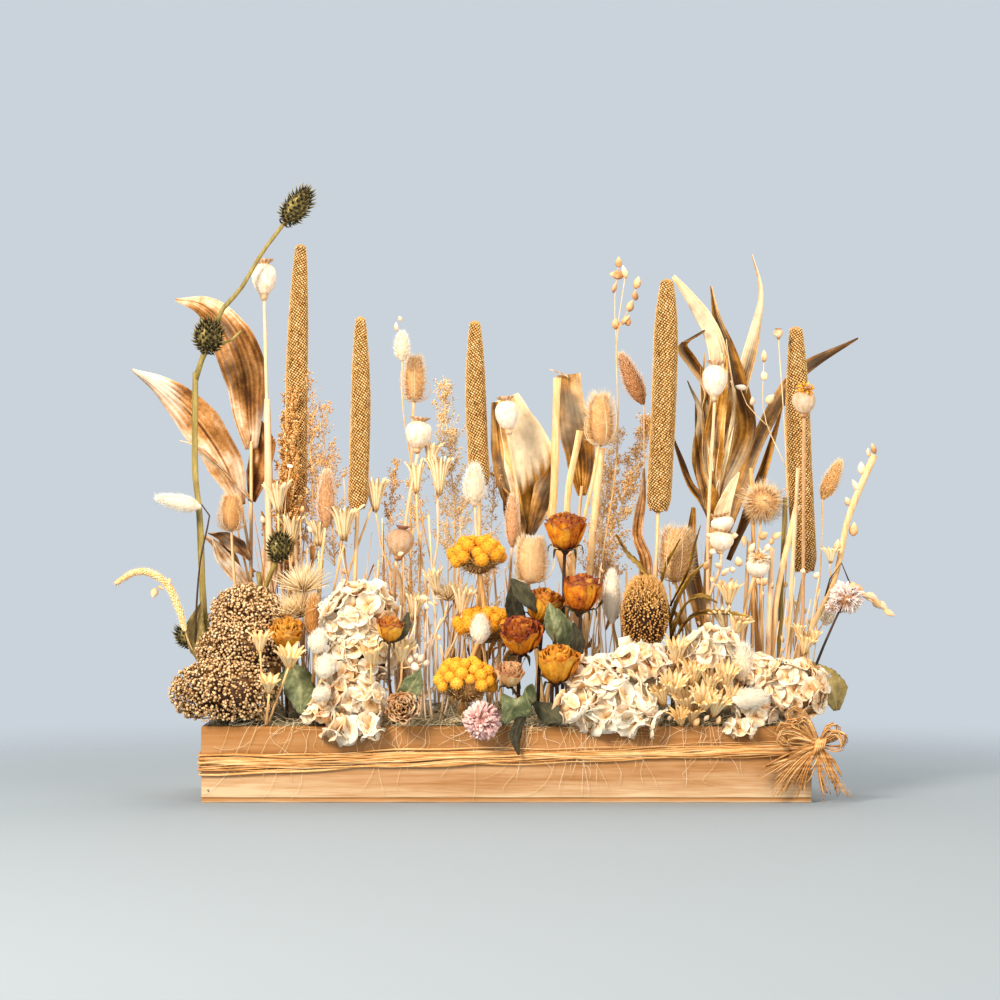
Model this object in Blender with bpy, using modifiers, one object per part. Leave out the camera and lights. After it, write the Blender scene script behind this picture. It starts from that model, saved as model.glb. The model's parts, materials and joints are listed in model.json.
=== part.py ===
"""Floral table centrepiece: dried flowers standing in a long wooden trough.

The trough is five boards with a foam block and a moss bed inside. Every plant has
one foot that stands in a plain hole through the moss and into the foam. Lengths in
the tables are millimetres. X runs along the trough, -Y is the front, and the origin
is the middle of the trough's underside.
"""

import math
import random

import bmesh
import bpy
from mathutils import Matrix, Vector

# ---- driving dimensions, in millimetres ----
MM = 0.001
GAP = 0.3
BOX_LENGTH = 600.0
BOX_DEPTH = 140.0
BOX_HEIGHT = 75.0
BOARD = 6.0
BASE_BOARD = 4.5
FOAM_TOP = 35.7
MOSS_BOTTOM = 36.0
MOSS_EDGE = 76.0
MOSS_CROWN = 84.0
FOOT_BOTTOM = 44.0
FOOT_TOP = 96.0
LEAF_THICK = 1.0
KEEP = 0.62

COLLECTION = bpy.data.collections.new("floral_table_centerpiece")
LOOSE = bpy.data.collections.new("loose_pieces")
FEET = []

# ---- colours ----
WOOD = (0.62, 0.45, 0.27)
FOAM = (0.16, 0.24, 0.14)
MOSS = (0.24, 0.25, 0.18)
RAFFIA = (0.66, 0.46, 0.24)
GRAIN = (0.56, 0.36, 0.15)
OLIVE = (0.20, 0.22, 0.10)
CREAM = (0.72, 0.60, 0.42)
LEAF_TAN = (0.48, 0.28, 0.13)
HUSK = (0.50, 0.30, 0.15)
TEASEL = (0.58, 0.36, 0.17)
BUNNY = (0.78, 0.64, 0.52)
ROSE = (0.72, 0.28, 0.08)
ROSE_PALE = (0.80, 0.46, 0.24)
TWIG = (0.09, 0.07, 0.05)
MUSTARD = (0.72, 0.42, 0.04)
BANKSIA = (0.60, 0.36, 0.12)
LEAF_OLIVE = (0.30, 0.27, 0.09)
PETAL = (0.84, 0.76, 0.60)
YARROW = (0.56, 0.42, 0.26)
PINK = (0.76, 0.48, 0.40)
FUNNEL = (0.64, 0.48, 0.28)
STAR = (0.70, 0.58, 0.30)
STRAW = (0.64, 0.44, 0.20)


# ---- building blocks ----
def clear_scene():
    """Remove whatever the scene holds."""
    for old in list(bpy.data.objects):
        bpy.data.objects.remove(old, do_unlink=True)


def loose(mesh):
    """Put a mesh in the scene as a loose piece, to be fused later."""
    piece = bpy.data.objects.new("piece", mesh)
    LOOSE.objects.link(piece)
    return piece


def mesh_of(bm):
    """Turn a bmesh into a mesh with its faces pointing out."""
    bmesh.ops.recalc_face_normals(bm, faces=bm.faces)
    mesh = bpy.data.meshes.new("piece")
    bm.to_mesh(mesh)
    bm.free()
    return mesh


def evaluated(piece):
    """The mesh of an object with its modifiers applied."""
    graph = bpy.context.evaluated_depsgraph_get()
    graph.update()
    return bpy.data.meshes.new_from_object(piece.evaluated_get(graph))


def facing(direction):
    """The turn that takes +Z to a direction."""
    return Vector(direction).normalized().to_track_quat("Z", "Y").to_matrix().to_4x4()


def tube(path, radius, sides=4):
    """A round stick along a path; radius is one number or one for each point."""
    radii = radius if isinstance(radius, (list, tuple)) else [radius] * len(path)
    widest = max(radii)
    curve = bpy.data.curves.new("stick", "CURVE")
    curve.dimensions = "3D"
    curve.render_resolution_u = 0
    curve.bevel_depth = widest * MM
    curve.bevel_resolution = sides // 2 - 2
    curve.use_fill_caps = True
    line = curve.splines.new("POLY")
    line.points.add(len(path) - 1)
    for point, place, wide in zip(line.points, path, radii):
        point.co = (*(Vector(place) * MM), 1.0)
        point.radius = wide / widest
    stick = bpy.data.objects.new("stick", curve)
    LOOSE.objects.link(stick)
    mesh = evaluated(stick)
    bpy.data.objects.remove(stick)
    bm = bmesh.new()
    bm.from_mesh(mesh)
    bmesh.ops.remove_doubles(bm, verts=bm.verts, dist=1e-6)
    bmesh.ops.triangulate(bm, faces=bm.faces)
    return loose(mesh_of(bm))


def twig(path, widths, sides=3):
    """A thin tapered stick: one ring at each inner point, drawn in to both ends."""
    points = [Vector(p) for p in path]
    rings = []
    for low, here, high, wide in zip(points, points[1:], points[2:], widths):
        place = facing(high - low)
        angles = [2 * math.pi * j / sides for j in range(sides)]
        rings.append([here + place @ Vector((wide * math.cos(a), wide * math.sin(a), 0)) for a in angles])
    return loft(rings, points[0], points[-1])


def eased(path, steps=3):
    """A path with rounded bends through the same points."""
    points = [Vector(p) for p in path]
    ends = [points[0]] + points + [points[-1]]
    out = []
    for i in range(len(points) - 1):
        a, b, c, d = ends[i : i + 4]
        for k in range(steps):
            t = k / steps
            bend = (b * 2 + (c - a) * t + (a * 2 - b * 5 + c * 4 - d) * t * t)
            bend = bend + (b * 3 - a - c * 3 + d) * t * t * t
            out.append(bend * 0.5)
    out.append(points[-1])
    return out


def loft(rings, start, end):
    """A closed body through rings of points, its ends drawn in to two points."""
    bm = bmesh.new()
    first = bm.verts.new(Vector(start) * MM)
    rows = [[bm.verts.new(Vector(p) * MM) for p in ring] for ring in rings]
    last = bm.verts.new(Vector(end) * MM)
    count = len(rows[0])
    for j in range(count):
        k = (j + 1) % count
        bm.faces.new((first, rows[0][k], rows[0][j]))
        bm.faces.new((last, rows[-1][j], rows[-1][k]))
        for i, (low, high) in enumerate(zip(rows, rows[1:])):
            if (i + j) % 2:
                bm.faces.new((low[j], low[k], high[j]))
                bm.faces.new((low[k], high[k], high[j]))
            else:
                bm.faces.new((low[j], low[k], high[k]))
                bm.faces.new((low[j], high[k], high[j]))
    return loose(mesh_of(bm))


def turned(profile, centre, axis=(0, 0, 1), sides=8, scallop=0.0, turn=0.0):
    """A turned body: profile rows are (radius, height along the axis, lobed or not)."""
    place = facing(axis)
    rings = []
    for row in profile[1:-1]:
        lobed = scallop if len(row) > 2 else 0.0
        ring = []
        for j in range(sides):
            angle = 2 * math.pi * (j + turn) / sides
            wide = row[0] * (1 + (lobed if j % 2 else -lobed))
            spot = Vector((wide * math.cos(angle), wide * math.sin(angle), row[1]))
            ring.append(Vector(centre) + place @ spot)
        rings.append(ring)
    start = Vector(centre) + place @ Vector((0, 0, profile[0][1]))
    end = Vector(centre) + place @ Vector((0, 0, profile[-1][1]))
    return loft(rings, start, end)


def cob(path, radii, sides=8, relief=0.14):
    """A dense head along a path, its grains a chequered relief of small points."""
    points = [Vector(p) for p in path]
    steps = len(radii)
    rings = []
    for i, wide in enumerate(radii):
        t = (i + 0.5) / steps * (len(points) - 1)
        k = min(int(t), len(points) - 2)
        spot = points[k].lerp(points[k + 1], t - k)
        place = facing(points[k + 1] - points[k])
        ring = []
        for j in range(sides):
            angle = 2 * math.pi * j / sides
            out = wide * (1 + (relief if (i + j) % 2 else -relief))
            ring.append(spot + place @ Vector((out * math.cos(angle), out * math.sin(angle), 0)))
        rings.append(ring)
    return loft(rings, points[0], points[-1])


def ball(centre, radii, axis=(0, 0, 1), fine=1, spike=0.0):
    """A round body of three radii; spike pushes a point out of every face."""
    bm = bmesh.new()
    bmesh.ops.create_icosphere(bm, subdivisions=fine, radius=1.0)
    if spike:
        tips = bmesh.ops.poke(bm, faces=bm.faces)["verts"]
        for tip in tips:
            tip.co = tip.co.normalized() * (1 + spike)
    size = Matrix.Diagonal((*radii, 1.0))
    move = Matrix.Translation(Vector(centre) * MM) @ Matrix.Scale(MM, 4)
    bmesh.ops.transform(bm, matrix=move @ facing(axis) @ size, verts=bm.verts)
    return loose(mesh_of(bm))


def star(centre, axis, radius, lobes=4, notch=0.45, depth=8.0, cup=0.0, turn=0.0):
    """A floret or pod: a lobed rim drawn down to one point, its face hollowed."""
    place = facing(axis)
    ring = []
    for j in range(lobes * 2):
        tip = j % 2 == 0
        angle = math.pi * (j + turn) / lobes
        out = radius if tip else radius * notch
        lift = cup if tip else cup * 0.35
        spot = Vector((out * math.cos(angle), out * math.sin(angle), lift))
        ring.append(Vector(centre) + place @ spot)
    low = Vector(centre) - place @ Vector((0, 0, depth))
    return loft([ring], low, Vector(centre))


def blade(spine, widths, side, cup=0.0, wave=0.0, saw=0.0, thick=LEAF_THICK):
    """A leaf: a sheet along a spine, its edges cupped, waved or cut like a saw."""
    side = Vector(side).normalized()
    bm = bmesh.new()
    rows = []
    count = len(spine)
    for i, (place, wide) in enumerate(zip(spine, widths)):
        here = Vector(place)
        ahead = Vector(spine[min(i + 1, count - 1)]) - Vector(spine[max(i - 1, 0)])
        up = ahead.cross(side).normalized()
        cut = 1 + (saw if i % 2 else -saw)
        lift = up * (cup * wide + (wave if i % 2 else -wave))
        other = up * (cup * wide - (wave if i % 2 else -wave))
        row = [here - side * wide * cut + lift, here, here + side * wide * cut + other]
        rows.append([bm.verts.new(p * MM) for p in row])
    for low, high in zip(rows, rows[1:]):
        for j in range(2):
            bm.faces.new((low[j], low[j + 1], high[j + 1], high[j]))
    bmesh.ops.triangulate(bm, faces=bm.faces)
    sheet = loose(mesh_of(bm))
    solid = sheet.modifiers.new("thickness", "SOLIDIFY")
    solid.thickness = thick * MM
    solid.offset = 0.0
    mesh = evaluated(sheet)
    bpy.data.objects.remove(sheet)
    bm = bmesh.new()
    bm.from_mesh(mesh)
    bmesh.ops.triangulate(bm, faces=bm.faces)
    return loose(mesh_of(bm))


def whole(bm):
    """Drop loose scraps and fill sealed hollows: only the largest skin is kept."""
    left = set(bm.verts)
    skins = []
    while left:
        skin = set()
        queue = [left.pop()]
        while queue:
            vert = queue.pop()
            skin.add(vert)
            for edge in vert.link_edges:
                other = edge.other_vert(vert)
                if other in left:
                    left.discard(other)
                    queue.append(other)
        skins.append(skin)
    skins.sort(key=len)
    drop = [vert for skin in skins[:-1] for vert in skin]
    if drop:
        for skin in skins[:-1]:
            spot = sum((vert.co for vert in skin), Vector()) / len(skin) / MM
            print("  dropped", len(skin), "points at", [round(c) for c in spot])
        bmesh.ops.delete(bm, geom=drop, context="VERTS")


def finish(name, mesh, colour, rough=0.8):
    """Give a mesh its name and material and put it in the part."""
    node = bpy.data.objects.new(name, mesh)
    COLLECTION.objects.link(node)
    paint = bpy.data.materials.new(name)
    paint.use_nodes = True
    shader = paint.node_tree.nodes["Principled BSDF"]
    shader.inputs["Base Color"].default_value = (*colour, 1.0)
    shader.inputs["Roughness"].default_value = rough
    mesh.materials.clear()
    mesh.materials.append(paint)
    return node


def combine(first, others, operation):
    """One Boolean of a body with every body of a list, applied."""
    group = bpy.data.collections.new("operands")
    bpy.context.scene.collection.children.link(group)
    for piece in others:
        group.objects.link(piece)
    change = first.modifiers.new("combine", "BOOLEAN")
    change.operation = operation
    change.solver = "MANIFOLD"
    change.operand_type = "COLLECTION"
    change.collection = group
    mesh = evaluated(first)
    for piece in [first, *others]:
        bpy.data.objects.remove(piece)
    bpy.data.collections.remove(group)
    return mesh


def fuse(name, pieces, colour, rough=0.8, keep=KEEP):
    """All pieces of a plant made one body, as a named node; small slivers are thinned."""
    mesh = combine(pieces[0], pieces[1:], "UNION")
    bm = bmesh.new()
    bm.from_mesh(mesh)
    bmesh.ops.triangulate(bm, faces=bm.faces)
    whole(bm)
    bmesh.ops.dissolve_degenerate(bm, dist=2e-6, edges=bm.edges)
    bmesh.ops.triangulate(bm, faces=bm.faces)
    body = loose(mesh_of(bm))
    upper = body.vertex_groups.new(name="upper")
    high = (FOOT_TOP + 1) * MM
    upper.add([v.index for v in body.data.vertices if v.co.z > high], 1.0, "REPLACE")
    thin = body.modifiers.new("thin", "DECIMATE")
    thin.vertex_group = upper.name
    thin.ratio = keep
    mesh = evaluated(body)
    bpy.data.objects.remove(body)
    print(name, "triangles", len(mesh.polygons))
    return finish(name, mesh, colour, rough)


def foot(x, y, radius, *path, sides=4, end=None):
    """A stem: straight up out of the moss bed, then along a path."""
    FEET.append((x, y, radius, sides))
    points = [(x, y, FOOT_BOTTOM), (x, y, FOOT_TOP), *path]
    radii = [radius] * 2 + [end or radius] * len(path)
    return tube(points, radii, sides)


# ---- plant parts ----
def poppy(centre, radius, half, axis=(0, 0, 1), sides=8):
    """A poppy capsule: collar, belly, neck and a scalloped crown."""
    profile = [
        (0, -half - 3),
        (radius * 0.30, -half - 1),
        (radius * 0.62, -half * 0.74),
        (radius, -half * 0.12),
        (radius * 0.88, half * 0.45),
        (radius * 0.42, half * 0.84),
        (radius * 0.76, half * 1.02, True),
        (radius * 0.60, half * 1.16, True),
        (0, half * 1.08),
    ]
    return turned(profile, centre, axis, sides, scallop=0.12)


def rose(centre, radius, axis, closed=0.0, turn=0.0, sides=10):
    """A rose: three rounds of lapping petals about a bud."""
    r = radius
    profile = [
        (0, -r * 0.95),
        (r * 0.34, -r * 0.88),
        (r * (0.96 - 0.2 * closed), -r * 0.25),
        (r * (1.02 - 0.3 * closed), r * 0.42, True),
        (r * 0.78, r * 0.30),
        (r * (0.72 - 0.1 * closed), r * 0.70, True),
        (r * 0.50, r * 0.48),
        (r * 0.40, r * 0.92, True),
        (r * 0.20, r * 0.62),
        (0, r * 0.80),
    ]
    return turned(profile, centre, axis, sides, scallop=0.11, turn=turn)


def bunny(base, tip, radius, rings=5, sides=6):
    """A bunny tail: a soft oval head, its hairs a chequered relief."""
    widths = [math.sin(math.pi * (i + 0.8) / (rings + 0.6)) ** 0.6 * radius for i in range(rings)]
    return cob([base, tip], widths, sides, 0.10)


def teasel(base, tip, radius, rings=6, bracts=3, reach=1.25):
    """A teasel: a bristly cone with curved bracts about its base."""
    widths = [math.sin(math.pi * (i + 0.9) / (rings + 0.5)) ** 0.7 * radius for i in range(rings)]
    pieces = [cob([base, tip], widths, 7, 0.2)]
    low = Vector(base)
    line = Vector(tip) - low
    place = facing(line)
    for k in range(bracts):
        angle = 2 * math.pi * (k + 0.5) / bracts
        out = place @ Vector((math.cos(angle), math.sin(angle), 0))
        path = [
            low + line * 0.08,
            low + out * radius * 0.9 + line * 0.08,
            low + out * radius * reach + line * 0.30,
            low + out * radius * (reach + 0.1) + line * 0.72,
        ]
        pieces.append(twig(path, [1.8, 1.5]))
    return pieces


def head_of_florets(cores, florets, radius, seed):
    """Rounded cores covered with four-petalled florets; all touch the cores."""
    random.seed(seed)
    pieces = [ball(place, size, fine=1) for place, size in cores]
    for place, size, count in florets:
        for k in range(count):
            height = 1 - 1.55 * (k + 0.5) / count
            around = k * 2.39996
            ring = math.sqrt(max(0.0, 1 - height * height))
            out = Vector((ring * math.cos(around), ring * math.sin(around), height))
            spot = Vector(place) + Vector([o * s for o, s in zip(out, size)])
            wide = radius * random.uniform(0.9, 1.12)
            pieces.append(star(spot + out * 3, out, wide, 4, 0.5, 13.0, 1.5, random.random() * 2))
    return pieces


def balls_over(place, size, count, radius, lift=0.25):
    """Small balls over the upper side of a dome."""
    pieces = []
    for k in range(count):
        height = 1 - (1 - lift) * (k + 0.3) / count * 1.25
        around = k * 2.39996
        ring = math.sqrt(max(0.0, 1 - height * height))
        spot = Vector(place) + Vector(
            (ring * math.cos(around) * size[0], ring * math.sin(around) * size[1], height * size[2])
        )
        pieces.append(ball(spot, (radius, radius, radius)))
    return pieces


def relief_dome(centre, size, rings, sides, low=-0.45):
    """A dense rounded head, flat below, its buds a chequered relief of small points."""
    rows = []
    for i in range(rings):
        lift = math.asin(low) + (math.pi / 2 - math.asin(low)) * i / rings
        row = []
        for j in range(sides):
            angle = 2 * math.pi * j / sides
            out = 1.06 if (i + j) % 2 else 0.94
            flat = math.cos(lift) * out
            spot = (flat * math.cos(angle) * size[0], flat * math.sin(angle) * size[1], 0)
            row.append(Vector(centre) + Vector(spot) + Vector((0, 0, math.sin(lift) * size[2] * out)))
        rows.append(row)
    under = Vector(centre) + Vector((0, 0, size[2] * low - 4))
    return loft(rows, under, Vector(centre) + Vector((0, 0, size[2])))


def spray(line, seed, count, spread):
    """An airy spray: a main stalk with thin branchlets, each with a seed at its tip."""
    random.seed(seed)
    pieces = [tube(line, [1.3] * (len(line) - 1) + [0.8])]
    points = [Vector(p) for p in line]
    for k in range(count):
        t = (k + 0.5) / count * (len(points) - 1)
        i = min(int(t), len(points) - 2)
        here = points[i].lerp(points[i + 1], t - i)
        hand = 1 if k % 2 else -1
        reach = spread * random.uniform(0.55, 1.0) * (1 - 0.35 * t / (len(points) - 1))
        tip = here + Vector((hand * reach, random.uniform(-6, 6), reach * random.uniform(0.5, 1.1)))
        stops = [here.lerp(tip, part) for part in (0.04, 0.80, 0.92, 1.06)]
        pieces.append(twig([here - (tip - here) * 0.02, *stops], [0.9, 0.6, 2.0]))
    return pieces


def drops(places, size=(3.6, 3.0, 5.0)):
    """Small hanging husks."""
    return [ball(place, size) for place in places]


# ---- the trough ----
def board(name, low, high, colour):
    """A board between two corners, its edges slightly rounded."""
    bm = bmesh.new()
    bmesh.ops.create_cube(bm, size=1.0)
    low = Vector(low)
    high = Vector(high)
    size = Matrix.Diagonal((*((high - low) * MM), 1.0))
    bmesh.ops.transform(bm, matrix=Matrix.Translation((low + high) * 0.5 * MM) @ size, verts=bm.verts)
    bmesh.ops.bevel(bm, geom=bm.edges, offset=0.6 * MM, segments=1, affect="EDGES")
    bmesh.ops.triangulate(bm, faces=bm.faces)
    return finish(name, mesh_of(bm), colour, 0.6)


def trough():
    """Base board, two long walls and two end walls."""
    x = BOX_LENGTH / 2
    y = BOX_DEPTH / 2
    low = BASE_BOARD + GAP
    inner = y - BOARD - GAP
    board("box_base", (-x, -y, 0), (x, y, BASE_BOARD), WOOD)
    board("box_front", (-x, -y, low), (x, -y + BOARD, BOX_HEIGHT), WOOD)
    board("box_back", (-x, y - BOARD, low), (x, y, BOX_HEIGHT), WOOD)
    board("box_end_left", (-x, -inner, low), (-x + BOARD, inner, BOX_HEIGHT), WOOD)
    board("box_end_right", (x - BOARD, -inner, low), (x, inner, BOX_HEIGHT), WOOD)


def hole_cutters(bottom, top):
    """One plain hole for each foot."""
    cutters = []
    for x, y, radius, sides in FEET:
        wide = (radius + GAP) / math.cos(math.pi / sides)
        cutters.append(tube([(x, y, bottom), (x, y, top)], wide, sides))
    return cutters


def filling():
    """The foam block, and the thick moss bed on it with a plain hole for every foot."""
    x = BOX_LENGTH / 2 - BOARD - GAP
    y = BOX_DEPTH / 2 - BOARD - GAP
    board("floral_foam", (-x, -y, BASE_BOARD + GAP), (x, y, FOAM_TOP), FOAM)

    random.seed(5)
    bm = bmesh.new()
    bmesh.ops.create_grid(bm, x_segments=20, y_segments=5, size=1.0)
    for vert in bm.verts:
        u = vert.co.x
        v = vert.co.y
        edge = max(abs(u) ** 12, abs(v) ** 3)
        height = MOSS_EDGE + (MOSS_CROWN - MOSS_EDGE) * (1 - edge) + random.uniform(-2.2, 2.2)
        vert.co = Vector((u * x, v * y, height)) * MM
    rim = [edge for edge in bm.edges if edge.is_boundary]
    walls = bmesh.ops.extrude_edge_only(bm, edges=rim)["geom"]
    for vert in walls:
        if isinstance(vert, bmesh.types.BMVert):
            vert.co.z = MOSS_BOTTOM * MM
    bmesh.ops.holes_fill(bm, edges=[edge for edge in bm.edges if edge.is_boundary])
    bmesh.ops.triangulate(bm, faces=bm.faces)
    bed = loose(mesh_of(bm))
    mesh = combine(bed, hole_cutters(FOOT_BOTTOM - GAP, FOOT_TOP + 5), "DIFFERENCE")
    finish("moss_bed", mesh, MOSS, 0.95)


def raffia():
    """Raffia strands round the trough, with a bow and loose tails at the front right."""
    x = BOX_LENGTH / 2 + GAP + 1.8
    y = BOX_DEPTH / 2 + GAP + 1.8
    pieces = []
    for left, right, swing in ((30.0, 49.0, 1.5), (38.0, 53.0, -2.0), (45.0, 57.0, 1.5)):
        path = [(-x, -y), (-190, -y), (-60, -y), (70, -y), (190, -y), (x, -y), (x, y), (0, y), (-x, y)]
        points = []
        for k, (px, py) in enumerate(path):
            level = left + (right - left) * (px + x) / (2 * x)
            points.append((px, py, level + swing * (1 if k % 2 else -1)))
        points.append(points[0])
        pieces.append(tube(points, 1.7))
    pieces.append(ball((304, -77, 52), (6, 6.5, 10)))
    left = [(304, -80, 56), (292, -86, 70), (276, -88, 76), (268, -86, 68), (282, -84, 58), (304, -80, 54)]
    right = [(304, -80, 56), (312, -87, 70), (325, -89, 74), (328, -87, 62), (318, -84, 55), (304, -80, 54)]
    pieces.append(tube(left, 1.6))
    pieces.append(tube(right, 1.6))
    tails = (
        [(303, -80, 50), (280, -82, 38), (256, -82, 30), (252, -82, 20)],
        [(303, -80, 50), (284, -81, 34), (270, -82, 12), (262, -82, 6)],
        [(304, -80, 50), (292, -82, 28), (277, -82, 8)],
        [(304, -80, 50), (300, -82, 36), (296, -82, 26)],
        [(305, -80, 50), (318, -83, 34), (328, -84, 8)],
        [(305, -80, 50), (330, -83, 42), (340, -84, 30), (338, -84, 10)],
    )
    for tail in tails:
        pieces.append(tube(tail, [1.4] * (len(tail) - 1) + [0.8]))
    fuse("raffia_tie", pieces, RAFFIA, 0.7)


# ---- tall plants ----
def millets():
    """Five dense grain heads on straight stems."""
    rows = (
        ((-214, 30), (-215, 30, 296), (-210, 30, 556), 11.0, 0.34, 13),
        ((-160, 16), (-151, 14, 289), (-148, 14, 481), 10.0, 0.36, 10),
        ((-28, 36), (-27, 30, 312), (-32, 30, 478), 10.5, 0.34, 10),
        ((146, 12), (154, 10, 287), (163, 10, 519), 13.5, 0.20, 12),
        ((276, 36), (305, 30, 225), (296, 30, 472), 13.5, 0.38, 13),
    )
    for number, (where, base, tip, wide, taper, rings) in enumerate(rows):
        radii = []
        for i in range(rings):
            t = (i + 0.5) / rings
            radii.append(wide * (1 - taper * t) * min(1.0, 0.8 + 4 * t) * min(1.0, 0.55 + 6 * (1 - t)))
        middle = Vector(base).lerp(Vector(tip), 0.5) + Vector((2.0, 0, 0))
        into = Vector(base).lerp(Vector(tip), 0.08)
        low = Vector(base) + Vector((0, 0, -30))
        stem = foot(*where, 2.2, low, into, sides=6)
        fuse(f"millet_{number + 1}", [stem, cob([base, middle, tip], radii, 8, 0.09)], GRAIN, keep=1.0)


def datura():
    """A forked stem with spiny pods, and a lower stem with its own pod."""
    up = [(-294, -12, 150), (-303, -16, 182), (-308, -15, 283), (-313, -10, 328), (-313, -8, 426)]
    stem = foot(-282, -8, 3.2, *up, sides=6, end=2.8)
    top = [(-313, -8, 420), (-286, -8, 489), (-268, -8, 509), (-246, -8, 546), (-226, -8, 574)]
    pieces = [stem, tube(top, [2.8, 2.7, 2.7, 2.5, 2.4], 6)]
    pieces.append(tube([(-313, -8, 424), (-304, -10, 442), (-299, -12, 450)], 2.2))
    pieces.append(tube([(-299, -8, 458), (-283, -6, 455), (-267, -5, 468)], [2.0, 1.8, 1.2]))
    pieces.append(ball((-211, -8, 593), (13.5, 13.5, 26), (33, 0, 44), 2, 0.30))
    pieces.append(ball((-299, -12, 459), (15, 15, 18), (0, 0, 1), 2, 0.28))
    low = [(-282, -8, 98), (-262, -2, 135), (-250, 4, 180), (-245, 2, 205), (-236, -8, 226), (-229, -12, 242)]
    pieces.append(tube(low, [2.6, 2.2, 2.0, 2.0, 1.9, 1.9]))
    pieces.append(tube([(-247, 4, 195), (-250, 4, 222)], [1.8, 1.4]))
    pieces.append(ball((-229, -12, 247), (11.5, 11.5, 15), (0, 0, 1), 1, 0.36))
    pieces.append(tube([(-293, -12, 146), (-308, -10, 148), (-322, -8, 156)], [2.0, 1.8, 1.6]))
    pieces.append(ball((-323, -8, 160), (9, 9, 11), (0, 0, 1), 1, 0.30))
    fuse("datura_branch", pieces, OLIVE, 0.6)


def poppies():
    """Eight capsules on thin stems."""
    stem = foot(-241, 14, 1.8, (-241, 14, 280), (-246, 14, 508))
    sheath = turned(
        [(0, 240), (3.0, 244), (4.2, 300), (3.8, 380), (0, 400)], (-242, 14, 0), (0, 0, 1), 6
    )
    fuse("poppy_left", [stem, sheath, poppy((-246, 14, 522), 13, 16)], CREAM)

    pieces = [foot(-108, 2, 2.2, (-106, 8, 200), (-102, 10, 275), (-89, 10, 350), end=1.6)]
    pieces.append(poppy((-89, 10, 361), 12.5, 13))
    pieces.append(tube([(-108, 2, 94), (-113, -6, 206), (-110, -6, 240)], [2.0, 1.8, 1.8]))
    pieces.append(poppy((-107, -6, 254), 13, 14, (0.15, 0, 1)))
    fuse("poppy_pair_left", pieces, CREAM)

    pieces = [foot(10, 14, 2.0, (13, 14, 271), (1, 14, 368), end=1.7)]
    pieces.append(poppy((1, 14, 382), 11.5, 15))
    fuse("poppy_centre", pieces, CREAM)

    pieces = [foot(206, -8, 2.2, (203, -6, 250), (210, -6, 400), end=1.7)]
    pieces.append(poppy((210, -6, 415), 12, 16))
    pieces.append(tube([(205, -7, 200), (214, -18, 225), (215, -22, 246)], [1.7, 1.6, 1.6]))
    pieces.append(poppy((215, -22, 254), 11.5, 10))
    pieces.append(poppy((217, -18, 274), 10, 7))
    pieces.append(tube([(215, -22, 256), (217, -18, 268)], 1.6))
    fuse("poppy_pair_right", pieces, CREAM)

    pieces = [foot(284, -16, 2.0, (295, -15, 150), (298, -14, 200), (299, -14, 385), end=1.6)]
    pieces.append(poppy((299, -14, 393), 11.5, 11))
    fuse("poppy_far_right", pieces, CREAM)


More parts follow.
